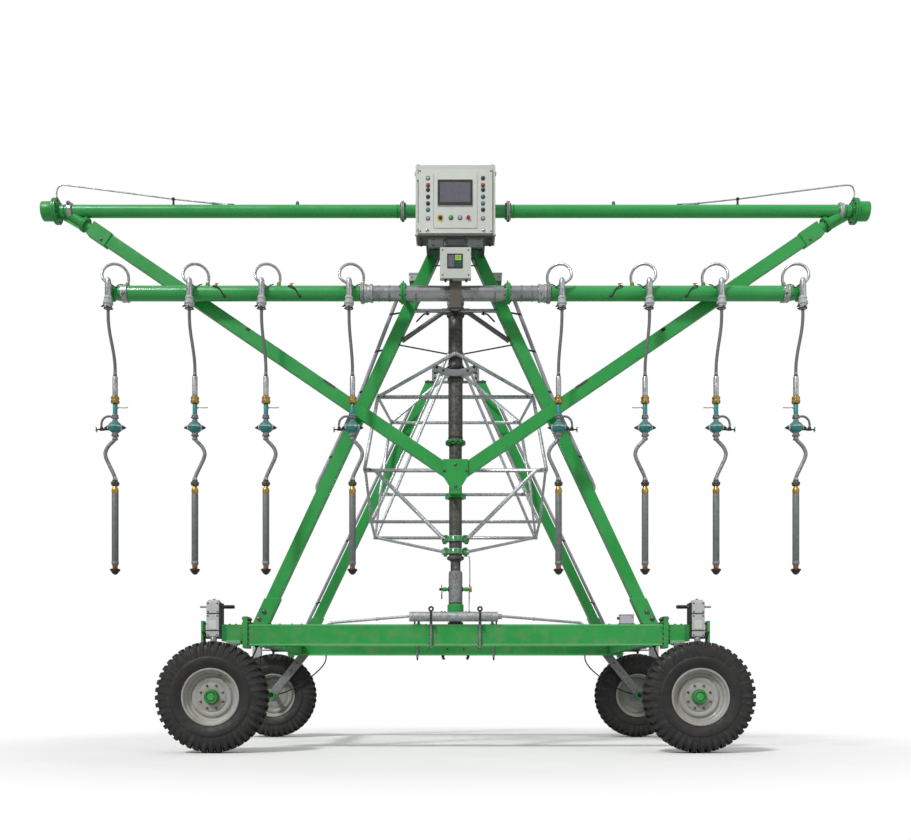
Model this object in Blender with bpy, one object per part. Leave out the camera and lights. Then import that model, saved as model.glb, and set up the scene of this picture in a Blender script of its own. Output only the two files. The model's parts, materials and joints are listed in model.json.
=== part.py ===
"""Lateral move irrigator: a four-wheeled two-frame cart that carries two spray booms over the crop.

Metres, +Z up, +X to the right of someone who faces the control cabinet, +Y towards the rear.
The origin lies on the ground, midway between the front and the rear frame.
"""

import math

import bmesh
import bpy
from mathutils import Matrix, Vector

# Clearance between two pieces that touch.
GAP = 0.0003

# Running gear.
TYRE_RADIUS = 0.625
TYRE_WIDTH = 0.32
TYRE_WALL = 0.03
BEAD_RADIUS = 0.305
WHEEL_FACETS = 24
TREAD_PHASE = 0.5
WHEEL_Y = 1.97
RIM_WALL = 0.012
RIM_FLANGE = 0.018
HUB_RADIUS = 0.08
DISC_THICKNESS = 0.014
AXLE_RADIUS = 0.035
GEARBOX_SIZE = 0.18
GEARBOX_DEPTH = 0.11
STRUT_WIDTH = 0.12
STRUT_THICKNESS = 0.055

# Cart base.
FRAME_Y = 1.6
BEAM_DEPTH = 0.2
BEAM_BOTTOM = 1.214
BEAM_HEIGHT = 0.244
BEAM_HALF = 2.385
BEAM_WALL = 0.008
FLANGE_THICKNESS = 0.055
FLANGE_OVERHANG = 0.03
FLANGE_HEAD = 0.09
STUB_LENGTH = 0.25
STUB_RISE = 0.054
STUB_END = BEAM_HALF + FLANGE_THICKNESS + STUB_LENGTH
WHEEL_X = STUB_END + 0.03
STRUT_HEAD_X = BEAM_HALF - 0.265
FRONT_STRUT_WIDTH = 0.1
FRONT_STRUT_HEAD = 0.1  # from the end flange to the middle of the strut's head plate
FRONT_STRUT_LEAN = 0.02  # from the wheel's middle to the foot of the front strut
HEAD_PLATE_HALF = 0.08
HEAD_PLATE_THICKNESS = 0.035
CROSS_X = BEAM_HALF - 0.085
CROSS_WIDTH = 0.12
CROSS_HEIGHT = 0.2

# Frame legs: where each centre line starts on its beam and ends at its head.
LEG_DEPTH = 0.14
LEG_WALL = 0.008
FRONT_FOOT_X = BEAM_HALF - 0.137
FRONT_HEAD_X = 0.226
FRONT_HEAD_Z = 5.77
FRONT_LEG_WIDTH = 0.138
REAR_FOOT_X = BEAM_HALF - 0.225
REAR_HEAD_X = 0.37
REAR_HEAD_Z = 5.21
REAR_LEG_WIDTH = 0.125
SHOE_HEIGHT = 0.3
SHOE_WALL = 0.012

# Booms and their water pipes.
UPPER_Y = -1.78
UPPER_Z = 6.157
UPPER_RADIUS = 0.0705
UPPER_HALF = 4.7
LOWER_Y = -1.95
LOWER_Z = 5.155
LOWER_RADIUS = 0.084
LOWER_HALF = 3.86
LOWER_ROOT = 1.063
MANIFOLD_HALF = 0.923
PIPE_WALL = 0.006
PIPE_SIDES = 10
CAP_RADIUS = 0.106
CAP_LENGTH = 0.14
END_FLANGE_RADIUS = 0.1425
END_FLANGE_INSET = 0.18
END_RING_RADIUS = 0.085
END_RING_INSET = 0.346
MIDDLE_FLANGE_RADIUS = 0.12
MIDDLE_FLANGE_X = 0.575
NUB_X = 1.8
STAY_WIRE_RADIUS = 0.01
STAY_HEIGHT = 0.303
STAY_POST_X = 3.214
STAY_POST_HEIGHT = 0.14
ROOT_FLANGE_RADIUS = 0.125
ROOT_CLAMP_RADIUS = 0.1
TIP_RING_RADIUS = 0.1
TIP_RING_INSET = 0.19
TIP_RING_WIDTH = 0.07
HANGER_FLANGE_RADIUS = 0.13
INLET_RADIUS = 0.065
INLET_FLANGE_RADIUS = 0.1
INLET_FLANGE = 0.03

# Gooseneck outlets: a loop over the boom that feeds the nozzle fitting in front of it.
NECK_RADIUS = 0.145
NECK_TUBE_RADIUS = 0.014
NECK_RISE = 0.162
NECK_SHIFT = 0.075
NECK_START = -30.0
NECK_END = 195.0
NECK_STEPS = 8
OUTLET_RADIUS = 0.026
OUTLET_HEIGHT = 0.05
ELBOW_RADIUS = 0.035
NOZZLE_RADIUS = 0.045
NOZZLE_RING_RADIUS = 0.055
NOZZLE_RING_RISE = 0.05
NOZZLE_RING_WIDTH = 0.035
NOZZLE_LENGTH = 0.143
ELBOW_LENGTH = 0.18
ELBOW_TIP = 0.025
ELBOW_TIP_RADIUS = 0.02
# Diagonal braces between the upper boom and the gusset.
BRACE_HEAD_X = 4.343
BRACE_HEAD_Z = 6.09
BRACE_FOOT_X = 0.05
BRACE_FOOT_Z = 3.163
BRACE_WIDTH = 0.142
BRACE_DEPTH = 0.1
BRACE_WALL = 0.006
BRACE_JOINT = 0.15
BRACE_STUB_RADIUS = 0.055
BRACE_FLANGE_RADIUS = 0.088
BRACE_FLANGE = 0.02
BRACE_SLEEVE = 0.34

# Centre column.
COLUMN_Y = -1.56
COLUMN_RADIUS = 0.084
COLUMN_PIPE_RADIUS = 0.075
COLUMN_SIDES = 12
NECK_BORE_RADIUS = 0.05
STEP = 0.001  # the run over which a lathe form changes from one radius to the next
COLUMN_FOOT_RADIUS = 0.09
COLUMN_FOOT_HEIGHT = 0.03
COLLAR_RISE = 0.1467  # this and the next rises are above the column's foot
COLLAR_RADIUS = 0.095
SLEEVE_RISE = 0.2527
SLEEVE_RADIUS = 0.081
VALVE_RISE = 0.4137
VALVE_REACH = 0.19
VALVE_RADIUS = 0.025
VALVE_KNOB_RADIUS = 0.04
VALVE_KNOB_LENGTH = 0.04
COLUMN_NECK_RISE = 0.6227
COLUMN_NECK_RADIUS = 0.06
RING_RISE = 0.7427
RING_RADIUS = 0.11
RING_HEIGHT = 0.053
TOOTHED_RISE = 2.0827
TOOTHED_RADIUS = 0.12
TOOTHED_HEIGHT = 0.059
GUSSET_HALF = 0.142
GUSSET_BOTTOM = 3.0
GUSSET_TOP = 3.32
GUSSET_THICKNESS = 0.02
GUSSET_CLAMP = 0.07
RISER_Y = -1.75
RISER_RADIUS = 0.035
RISER_FOOT_Z = 5.27

# Span pipe and the truss that hangs under it.
SPAN_RADIUS = 0.075
SPAN_FRONT_Y = -1.36
SPAN_LEAD = 0.08
SPAN_LEVEL_Y = 1.45
SPAN_REST_Z = 5.44
SPAN_FLANGE_RADIUS = 0.13
SPAN_ROOT_FLANGE_RADIUS = 0.11
TRUSS_RADIUS = 0.024
TRUSS_ROD_RADIUS = 0.014
TRUSS_SIDES = 6
HANGER_HALF = 0.02
TRUSS_HALF = 1.109
TRUSS_UPPER_HALF = 0.946
TRUSS_FRONT_Y = -1.1
TRUSS_REAR_Y = 1.4
FRONT_LOW_BAR_Z = 3.351
FRONT_HIGH_BAR_Z = 4.236
REAR_LOW_BAR_Z = 3.537
REAR_HIGH_BAR_Z = 4.58
KEEL_STATIONS = ((-0.22, 2.877), (0.41, 2.762))
FRONT_CLAMP_Z = 2.455
KEEL_CLAMP_Z = 2.31
FRONT_APEX_Z = 4.57
STRUT_ROOT_X = 0.97
CLAMP_EAR_X = 0.13

# Control cabinet.
CABINET_HALF = 0.44
CABINET_BOTTOM = 5.7253
CABINET_HEIGHT = 0.77
CABINET_FRONT = -2.15
CABINET_BACK = -1.8703
CABINET_WALL = 0.016
CABINET_RIM = 0.06
DOOR_HALF = 0.407
DOOR_BOTTOM = 5.736
DOOR_HEIGHT = 0.705
DOOR_THICKNESS = 0.02
PANEL_HALF = 0.237
PANEL_BOTTOM = 5.79
PANEL_TOP = 6.386
PANEL_RISE = 0.008
KNOB_Z = 5.901
SWITCH_X = -0.167
STOP_X = 0.141
KNOB_RADIUS = 0.022
KNOB_LENGTH = 0.02
SWITCH_GRIP = 0.01
STOP_TRAVEL = 0.006
STOP_STEM_RADIUS = 0.011
STOP_STEM_INSET = 0.002  # how far the stem stands in its pocket at rest
STEM_CLEARANCE = 0.0005
STEM_SIDES = 10
METER_HALF = 0.171
METER_BOTTOM = 5.24
METER_HEIGHT = 0.34
METER_DEPTH = 0.08
METER_BACK = -2.09

# The span's coupling reaches as far behind the origin as the switch grip does in front of it.
SPAN_END_Y = -CABINET_FRONT + DOOR_THICKNESS + PANEL_RISE + KNOB_LENGTH + SWITCH_GRIP + 2 * GAP

# Drive boxes on the front beam's ends.
DRIVE_WIDTH = 0.158
DRIVE_DEPTH = 0.16
DRIVE_BOTTOM = 1.309
DRIVE_TOP = 1.725
DRIVE_SHAFT_RADIUS = 0.025
LEVER_Z = 1.663
LEVER_RADIUS = 0.012
LEVER_GRIP_RADIUS = 0.022
LEVER_GRIP_LENGTH = 0.13
LEVER_STUB = 0.09
LEVER_TRAVEL = 0.05

# Drops: hose, sprayer body and weighted foot, one under each outlet of the lower boom.
DROP_X = (1.18, 2.15, 2.95, 3.85)
DROP_BOW = (0.038, 0.049, 0.062, 0.078)
DROP_Y = LOWER_Y - 0.15
DROP_SIDES = 6
HOSE_DIAMETER = 0.035
HOSE_TOP = LOWER_Z - 0.228
# The hose's top end is a shallow cone, so that it can swing under the flat face of its fitting.
HOSE_TIP = 0.002
HOSE_TIP_SHARE = 0.1
HOSE_LENGTH_DOWN = 0.737
HOSE_SIDES_RESOLUTION = 2
# Fractions of the hose's drop and of its sideways bow, from the boom down to the sprayer.
HOSE_ROUTE = (
    (0.0, 0.0),
    (0.07, 0.0),
    (0.14, 0.01),
    (0.21, 0.05),
    (0.28, 0.12),
    (0.36, 0.23),
    (0.43, 0.35),
    (0.5, 0.48),
    (0.57, 0.61),
    (0.64, 0.73),
    (0.72, 0.85),
    (0.79, 0.93),
    (0.86, 0.98),
    (0.93, 1.0),
    (1.0, 1.0),
)
# The sprayer body, as distances below the hose's end, each with its radius.
SPRAYER_UPPER = (
    (0.0, 0.024),
    (0.011, 0.024),
    (0.012, 0.03),
    (0.226, 0.03),
    (0.227, 0.05),
    (0.314, 0.05),
    (0.315, 0.026),
    (0.437, 0.026),
    (0.438, 0.04),
    (0.503, 0.04),
    (0.519, 0.083),
    (0.609, 0.083),
    (0.629, 0.035),
    (0.699, 0.0225),
)
SPRAYER_LOWER = (
    (1.157, 0.0225),
    (1.158, 0.045),
    (1.309, 0.045),
    (1.31, 0.038),
    (2.1, 0.038),
    (2.101, 0.026),
    (2.136, 0.026),
    (2.137, 0.055),
    (2.209, 0.059),
)
SPRAYER_BEND = 0.11
SPRAYER_BEND_STEPS = 6
SIDE_NOZZLE_DROP = 0.564
SIDE_NOZZLE_REACH = 0.12
SIDE_NOZZLE_RADIUS = 0.018
SHUT_OFF_DROP = 0.36
SHUT_OFF_LENGTH = 0.14
SHUT_OFF_WIDTH = 0.024
SHUT_OFF_THICKNESS = 0.014
# The drops whose sprayer body has a shut-off lever.
LEVER_DROPS = (1, 2, 3, 6, 7, 8)


def clear_scene():
    """Start from an empty scene."""
    for item in list(bpy.data.objects):
        bpy.data.objects.remove(item, do_unlink=True)


def finish(name, colour, roughness, metallic):
    """A painted, plated or moulded surface."""
    material = bpy.data.materials.new(name)
    material.use_nodes = True
    shader = material.node_tree.nodes["Principled BSDF"]
    shader.inputs["Base Color"].default_value = (*colour, 1.0)
    shader.inputs["Roughness"].default_value = roughness
    shader.inputs["Metallic"].default_value = metallic
    return material


def loft(loops, closed=False):
    """A closed body whose skin runs through loops of equally many points."""
    mesh = bmesh.new()
    rings = [[mesh.verts.new(point) for point in loop] for loop in loops]
    pairs = list(zip(rings, rings[1:]))
    if closed:
        pairs.append((rings[-1], rings[0]))
    for first, second in pairs:
        for index in range(len(first)):
            after = (index + 1) % len(first)
            mesh.faces.new((first[index], first[after], second[after], second[index]))
    if not closed:
        mesh.faces.new(rings[0])
        mesh.faces.new(rings[-1])
    bmesh.ops.recalc_face_normals(mesh, faces=mesh.faces)
    return mesh


def box(x, y, z):
    """A block between two values on each axis."""
    corners = ((x[0], y[0]), (x[1], y[0]), (x[1], y[1]), (x[0], y[1]))
    return loft([[Vector((a, b, level)) for a, b in corners] for level in z])


def circle(centre, turn, radius, sides, phase=0.5):
    """Points round a centre in the plane that the rotation turns the XY plane to."""
    points = []
    for index in range(sides):
        angle = (index + phase) * math.tau / sides
        points.append(centre + turn @ Vector((radius * math.cos(angle), radius * math.sin(angle), 0.0)))
    return points


def turned(origin, direction, profile, sides=PIPE_SIDES, closed=False, phase=0.5):
    """A lathe form: the profile lists distances along the direction, each with its radius."""
    origin = Vector(origin)
    direction = Vector(direction).normalized()
    turn = direction.to_track_quat("Z", "Y")
    loops = [circle(origin + direction * along, turn, radius, sides, phase) for along, radius in profile]
    return loft(loops, closed)


def rod(start, end, radius, sides=PIPE_SIDES):
    """A plain round bar."""
    run = Vector(end) - Vector(start)
    return turned(start, run, ((0.0, radius), (run.length, radius)), sides)


def swept(points, radii, sides):
    """A round tube through points, each with its own radius, kept free of twist."""
    points = [Vector(point) for point in points]
    runs = [(after - before).normalized() for before, after in zip(points, points[1:])]
    tangents = [runs[0]]
    for before, after in zip(runs, runs[1:]):
        tangents.append((before + after).normalized())
    tangents.append(runs[-1])
    turn = tangents[0].to_track_quat("Z", "Y")
    loops = []
    previous = tangents[0]
    for point, tangent, radius in zip(points, tangents, radii):
        turn = previous.rotation_difference(tangent) @ turn
        previous = tangent
        loops.append(circle(point, turn, radius, sides))
    return loft(loops)


def bar(start, end, width, depth_low, depth_high, wall=0.0):
    """A straight bar in the XZ plane with square ends, between two Y values, hollow if it has a wall."""
    start = Vector(start)
    end = Vector(end)
    across = Vector((end.y - start.y, start.x - end.x)).normalized()

    def section(centre, inset):
        half = across * (width / 2 - inset)
        low = depth_low + inset
        high = depth_high - inset
        ends = (centre - half, centre + half)
        return [
            Vector((ends[0].x, low, ends[0].y)),
            Vector((ends[1].x, low, ends[1].y)),
            Vector((ends[1].x, high, ends[1].y)),
            Vector((ends[0].x, high, ends[0].y)),
        ]

    loops = [section(start, 0.0), section(end, 0.0)]
    if wall:
        loops += [section(end, wall), section(start, wall)]
    return loft(loops, closed=bool(wall))


def leaning_tube(foot, head, width, depth_low, depth_high, wall):
    """A hollow leg in the XZ plane whose two ends are cut level."""
    foot = Vector(foot)
    head = Vector(head)
    lean = (head - foot).length / abs(head.y - foot.y)

    def section(centre, inset):
        half = (width / 2 - inset) * lean
        low = depth_low + inset
        high = depth_high - inset
        corners = ((-half, low), (half, low), (half, high), (-half, high))
        return [Vector((centre.x + a, b, centre.y)) for a, b in corners]

    loops = [section(foot, 0.0), section(head, 0.0), section(head, wall), section(foot, wall)]
    return loft(loops, closed=True)


def mesh_object(name, mesh):
    """Put a body into the scene under its name."""
    data = bpy.data.meshes.new(name)
    mesh.to_mesh(data)
    mesh.free()
    item = bpy.data.objects.new(name, data)
    bpy.context.scene.collection.objects.link(item)
    return item


def combine(item, bodies, operation):
    """Join bodies to an object, or cut them from it, and keep the resulting mesh."""
    if not bodies:
        return
    tools = bpy.data.collections.new("tools")
    helpers = [mesh_object("tool", body) for body in bodies]
    for helper in helpers:
        tools.objects.link(helper)
    step = item.modifiers.new(operation.lower(), "BOOLEAN")
    step.operation = operation
    step.operand_type = "COLLECTION"
    step.collection = tools
    step.solver = "EXACT"
    graph = bpy.context.evaluated_depsgraph_get()
    result = bpy.data.meshes.new_from_object(item.evaluated_get(graph))
    item.modifiers.remove(step)
    old = item.data
    item.data = result
    bpy.data.meshes.remove(old)
    for helper in helpers:
        data = helper.data
        bpy.data.objects.remove(helper, do_unlink=True)
        bpy.data.meshes.remove(data)
    bpy.data.collections.remove(tools)


def assemble(name, material, bodies, cuts=(), pivot=(0.0, 0.0, 0.0)):
    """One named piece: the union of overlapping bodies less the cuts, with its origin at the pivot."""
    item = mesh_object(name, bodies[0])
    combine(item, bodies[1:], "UNION")
    combine(item, list(cuts), "DIFFERENCE")
    item.data.name = name
    item.data.transform(Matrix.Translation(-Vector(pivot)))
    item.location = pivot
    item.data.materials.clear()
    item.data.materials.append(material)
    item.data.shade_smooth()
    item.data.set_sharp_from_angle(angle=math.radians(32.0))
    return item


def side_name(side):
    """The word for a side, as seen by someone who faces the cabinet."""
    return "left" if side < 0 else "right"


def base_beam(name, place, material):
    """A rectangular beam with a flange and a stub tube at each end."""
    low = place * FRAME_Y - BEAM_DEPTH / 2
    high = place * FRAME_Y + BEAM_DEPTH / 2
    top = BEAM_BOTTOM + BEAM_HEIGHT
    flange_end = BEAM_HALF + FLANGE_THICKNESS
    stub_end = STUB_END
    stub_low = BEAM_BOTTOM + STUB_RISE
    bodies = [box((-BEAM_HALF - 0.01, BEAM_HALF + 0.01), (low, high), (BEAM_BOTTOM, top))]
    for side in (-1, 1):
        flange_x = sorted((side * BEAM_HALF, side * flange_end))
        stub_x = sorted((side * (flange_end - 0.01), side * stub_end))
        flange_y = (low - 0.02, high + 0.02)
        bodies.append(box(flange_x, flange_y, (BEAM_BOTTOM - FLANGE_OVERHANG, top + FLANGE_HEAD)))
        bodies.append(box(stub_x, (low + 0.015, high - 0.015), (stub_low, top - 0.002)))
    inside_y = (low + 0.03, high - 0.03)
    cuts = [
        box((-BEAM_HALF, BEAM_HALF), (low + BEAM_WALL, high - BEAM_WALL), (BEAM_BOTTOM + BEAM_WALL, top - BEAM_WALL)),
        box((-stub_end - 1.0, stub_end + 1.0), inside_y, (stub_low + BEAM_WALL, top - 0.016)),
    ]
    assemble(name, material, bodies, cuts)


def cross_beam(side, material):
    """The rail that ties the front beam to the rear beam."""
    reach = FRAME_Y - BEAM_DEPTH / 2 - GAP
    x = (side * CROSS_X - CROSS_WIDTH / 2, side * CROSS_X + CROSS_WIDTH / 2)
    z = (BEAM_BOTTOM + 0.02, BEAM_BOTTOM + 0.02 + CROSS_HEIGHT)
    wall = BEAM_WALL
    cut = box((x[0] + wall, x[1] - wall), (-reach - 1.0, reach + 1.0), (z[0] + wall, z[1] - wall))
    assemble(f"cross_beam_{side_name(side)}", material, [box(x, (-reach, reach), z)], [cut])


def frame_leg(place, side, material):
    """A leaning leg with a thicker shoe at its foot."""
    front = place < 0
    foot_x = FRONT_FOOT_X if front else REAR_FOOT_X
    head = (FRONT_HEAD_X, FRONT_HEAD_Z) if front else (REAR_HEAD_X, REAR_HEAD_Z)
    width = FRONT_LEG_WIDTH if front else REAR_LEG_WIDTH
    foot_z = BEAM_BOTTOM + BEAM_HEIGHT + GAP
    depth = (place * FRAME_Y - LEG_DEPTH / 2, place * FRAME_Y + LEG_DEPTH / 2)
    shoe_x = foot_x + (head[0] - foot_x) * SHOE_HEIGHT / (head[1] - foot_z)
    foot = (side * foot_x, foot_z)
    shoe_head = (side * shoe_x, foot_z + SHOE_HEIGHT)
    wide = width + 2 * SHOE_WALL
    deep = (depth[0] - SHOE_WALL, depth[1] + SHOE_WALL)
    bodies = [
        leaning_tube(foot, (side * head[0], head[1]), width, *depth, LEG_WALL),
        leaning_tube(foot, shoe_head, wide, *deep, SHOE_WALL + LEG_WALL / 2),
    ]
    row = "front" if front else "rear"
    assemble(f"leg_{row}_{side_name(side)}", material, bodies)


def gusset_plate(material):
    """The plate that gathers both braces and clamps them to the centre column."""
    front = UPPER_Y - BRACE_DEPTH / 2 - GAP
    back = front - GUSSET_THICKNESS
    clamp_z = (GUSSET_BOTTOM - GUSSET_CLAMP, BRACE_FOOT_Z - BRACE_WIDTH / 2 * 1.3)
    column_face = COLUMN_Y - COLUMN_PIPE_RADIUS
    low = 0.05
    outline = (
        (-low, GUSSET_BOTTOM - 0.02),
        (low, GUSSET_BOTTOM - 0.02),
        (GUSSET_HALF, GUSSET_BOTTOM + 0.13),
        (GUSSET_HALF, GUSSET_TOP),
        (-GUSSET_HALF, GUSSET_TOP),
        (-GUSSET_HALF, GUSSET_BOTTOM + 0.13),
    )
    plate = loft([[Vector((x, y, z)) for x, z in outline] for y in (back, front)])
    block = box((-0.06, 0.06), (back + 0.005, column_face + 0.03), clamp_z)
    collar = turned(
        (0.0, COLUMN_Y, clamp_z[0] - 0.005), (0, 0, 1), ((0.0, 0.125), (0.045, 0.125)), COLUMN_SIDES
    )
    bore = turned(
        (0.0, COLUMN_Y, clamp_z[0] - 1.0), (0, 0, 1), ((0.0, COLUMN_RADIUS + GAP), (2.0, COLUMN_RADIUS + GAP)),
        COLUMN_SIDES,
    )
    assemble("gusset_plate", material, [plate, block, collar], [bore])


def brace_axis(side):
    """Where a brace's centre line starts at the boom, and which way it runs, in X and Z."""
    start = Vector((side * BRACE_HEAD_X, BRACE_HEAD_Z))
    end = Vector((side * BRACE_FOOT_X, BRACE_FOOT_Z))
    return start, (end - start).normalized(), (end - start).length


def diagonal_brace(side, material):
    """A hollow brace with a flanged stub at the boom and a pad where it passes the front leg."""
    start, run, length = brace_axis(side)
    joint = start + run * (BRACE_JOINT + GAP)
    body_start = joint + run * 0.09
    sleeve_end = joint + run * BRACE_SLEEVE
    foot = start + run * length
    low = UPPER_Y - BRACE_DEPTH / 2
    high = UPPER_Y + BRACE_DEPTH / 2
    axis = Vector((run.x, 0.0, run.y))
    at = Vector((joint.x, UPPER_Y, joint.y))
    stub = ((0.0, BRACE_FLANGE_RADIUS), (BRACE_FLANGE, BRACE_FLANGE_RADIUS))
    stub += ((BRACE_FLANGE + 0.001, BRACE_STUB_RADIUS), (0.12, BRACE_STUB_RADIUS))
    lean = (FRONT_FOOT_X - FRONT_HEAD_X) / (FRONT_HEAD_Z - BEAM_BOTTOM - BEAM_HEIGHT)
    slope = (BRACE_HEAD_Z - BRACE_FOOT_Z) / (BRACE_HEAD_X - BRACE_FOOT_X)
    offset = FRONT_HEAD_X + lean * (FRONT_HEAD_Z - BRACE_FOOT_Z) + lean * slope * BRACE_FOOT_X
    cross_x = offset / (1.0 + lean * slope)
    cross_z = BRACE_FOOT_Z + slope * (cross_x - BRACE_FOOT_X)
    leg_face = -FRAME_Y - LEG_DEPTH / 2 - GAP
    pad = box(
        (side * cross_x - 0.07, side * cross_x + 0.07), (high - 0.02, leg_face), (cross_z - 0.06, cross_z + 0.06)
    )
    boom_cross = (BRACE_HEAD_Z - LOWER_Z) / slope
    boom_x = side * (BRACE_HEAD_X - boom_cross)
    seat = LOWER_Y + LOWER_RADIUS - 0.01
    boom_pad = box((boom_x - 0.05, boom_x + 0.05), (seat, low + 0.02), (LOWER_Z - 0.05, LOWER_Z + 0.05))
    pipe = rod((boom_x - 1.0, LOWER_Y, LOWER_Z), (boom_x + 1.0, LOWER_Y, LOWER_Z), LOWER_RADIUS + GAP)
    bodies = [
        bar(body_start, foot, BRACE_WIDTH, low, high, BRACE_WALL),
        bar(body_start, sleeve_end, BRACE_WIDTH + 0.024, low - 0.012, high + 0.012),
        turned(at, axis, stub, 10),
        pad,
        boom_pad,
    ]
    assemble(f"brace_{side_name(side)}", material, bodies, [pipe])


def upper_boom(material):
    """The high boom: one pipe with end caps, flanges, brace stubs, stay wires and a riser at its middle."""
    bore = UPPER_RADIUS - PIPE_WALL
    centre = Vector((0.0, UPPER_Y, UPPER_Z))
    cap = UPPER_HALF - CAP_LENGTH
    half_profile = ((0.0, UPPER_RADIUS), (cap - 0.001, UPPER_RADIUS), (cap, CAP_RADIUS), (UPPER_HALF, CAP_RADIUS))
    profile = [(-along, radius) for along, radius in half_profile[:0:-1]] + list(half_profile[1:])
    bodies = [turned(centre, (1, 0, 0), profile)]
    rings = (
        (UPPER_HALF - END_FLANGE_INSET, 0.045, END_FLANGE_RADIUS),
        (UPPER_HALF - END_RING_INSET, 0.056, END_RING_RADIUS),
        (MIDDLE_FLANGE_X, 0.05, MIDDLE_FLANGE_RADIUS),
    )
    pipe_top = UPPER_Z + UPPER_RADIUS
    for side in (-1, 1):
        for reach, width, radius in rings:
            start = (side * reach, UPPER_Y, UPPER_Z)
            end = (side * (reach + width), UPPER_Y, UPPER_Z)
            bodies.append(rod(start, end, radius))
        nub = (side * NUB_X, UPPER_Y, pipe_top - 0.01)
        bodies.append(rod(nub, (nub[0], nub[1], nub[2] + 0.05), 0.02, 8))
        start, run, _ = brace_axis(side)
        joint = start + run * BRACE_JOINT
        lead = (UPPER_Z - start.y) / -run.y
        above = start - run * lead
        axis = Vector((run.x, 0.0, run.y))
        length = (joint - above).length
        stub = ((0.0, BRACE_STUB_RADIUS), (length - BRACE_FLANGE - 0.001, BRACE_STUB_RADIUS))
        stub += ((length - BRACE_FLANGE, BRACE_FLANGE_RADIUS), (length, BRACE_FLANGE_RADIUS))
        bodies.append(turned((above.x, UPPER_Y, above.y), axis, stub, 10))
        bodies += stay_wire(side)
    riser_foot = RISER_FOOT_Z + GAP
    riser = ((riser_foot, 0.06), (riser_foot + 0.029, 0.06), (riser_foot + 0.03, RISER_RADIUS))
    riser += ((UPPER_Z, RISER_RADIUS),)
    bodies.append(turned((0.0, RISER_Y, 0.0), (0, 0, 1), riser, 10))
    cuts = [
        rod((-UPPER_HALF + 0.02, UPPER_Y, UPPER_Z), (UPPER_HALF - 0.02, UPPER_Y, UPPER_Z), bore),
        rod((0.0, RISER_Y, UPPER_Z), (0.0, RISER_Y, RISER_FOOT_Z - 1.0), RISER_RADIUS - PIPE_WALL, 10),
    ]
    assemble("upper_boom", material, bodies, cuts)


def stay_wire(side):
    """The wire from the boom's end flange over a stand-off post to its anchor, with that post."""
    end = UPPER_HALF - END_FLANGE_INSET + 0.025
    pipe_top = UPPER_Z + UPPER_RADIUS
    post_top = UPPER_Z + STAY_POST_HEIGHT
    anchor = STAY_POST_X - 0.654
    wire = (
        (side * end, UPPER_Y, UPPER_Z + END_FLANGE_RADIUS - 0.02),
        (side * (end + 0.002), UPPER_Y, UPPER_Z + STAY_HEIGHT - 0.04),
        (side * (end - 0.089), UPPER_Y, UPPER_Z + STAY_HEIGHT),
        (side * STAY_POST_X, UPPER_Y, post_top),
        (side * (STAY_POST_X + 2 * anchor) / 3, UPPER_Y, (post_top + 2 * pipe_top) / 3),
        (side * anchor, UPPER_Y, pipe_top - 0.006),
    )
    thin = STAY_WIRE_RADIUS
    post = (side * STAY_POST_X, UPPER_Y, pipe_top - 0.01)
    return [
        swept(wire, (thin, thin, thin, thin, thin * 1.3, thin * 1.3), 6),
        rod(post, (post[0], post[1], post_top), thin * 1.2, 6),
    ]


def gooseneck(side, place):
    """The thin outlet loop, its elbow and the nozzle fitting in front of the boom."""
    x = side * place
    loop_x = x - side * NECK_SHIFT
    loop_z = LOWER_Z + NECK_RISE
    elbow_top = HOSE_TOP + NOZZLE_LENGTH + ELBOW_LENGTH
    pipe_top = LOWER_Z + LOWER_RADIUS
    points = [(x, DROP_Y, elbow_top - 0.06)]
    for step in range(NECK_STEPS):
        share = step / (NECK_STEPS - 1)
        angle = math.radians(NECK_START + (NECK_END - NECK_START) * share)
        across = loop_x + side * NECK_RADIUS * math.cos(angle)
        points.append((across, DROP_Y + share * (LOWER_Y - DROP_Y), loop_z + NECK_RADIUS * math.sin(angle)))
    outlet_x = points[-1][0]
    points.append((outlet_x, LOWER_Y, pipe_top - 0.008))
    ring = HOSE_TOP + NOZZLE_RING_RISE
    ring_top = ring + NOZZLE_RING_WIDTH
    nozzle_top = HOSE_TOP + NOZZLE_LENGTH
    elbow = (
        (HOSE_TOP, NOZZLE_RADIUS),
        (ring, NOZZLE_RADIUS),
        (ring + 0.001, NOZZLE_RING_RADIUS),
        (ring_top, NOZZLE_RING_RADIUS),
        (ring_top + 0.001, NOZZLE_RADIUS),
        (nozzle_top, NOZZLE_RADIUS),
        (nozzle_top + 0.001, ELBOW_RADIUS),
        (elbow_top, ELBOW_RADIUS),
        (elbow_top + ELBOW_TIP, ELBOW_TIP_RADIUS),
    )
    outlet = (outlet_x, LOWER_Y, pipe_top - 0.02)
    lug = ((x - 0.04, x + 0.04), (DROP_Y + 0.01, LOWER_Y - LOWER_RADIUS + 0.034), (LOWER_Z - 0.02, LOWER_Z + 0.04))
    return [
        swept(points, [NECK_TUBE_RADIUS] * len(points), 6),
        turned((x, DROP_Y, 0.0), (0, 0, 1), elbow, DROP_SIDES),
        box(*lug),
        rod(outlet, (outlet[0], outlet[1], outlet[2] + OUTLET_HEIGHT), OUTLET_RADIUS, 8),
    ]


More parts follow.
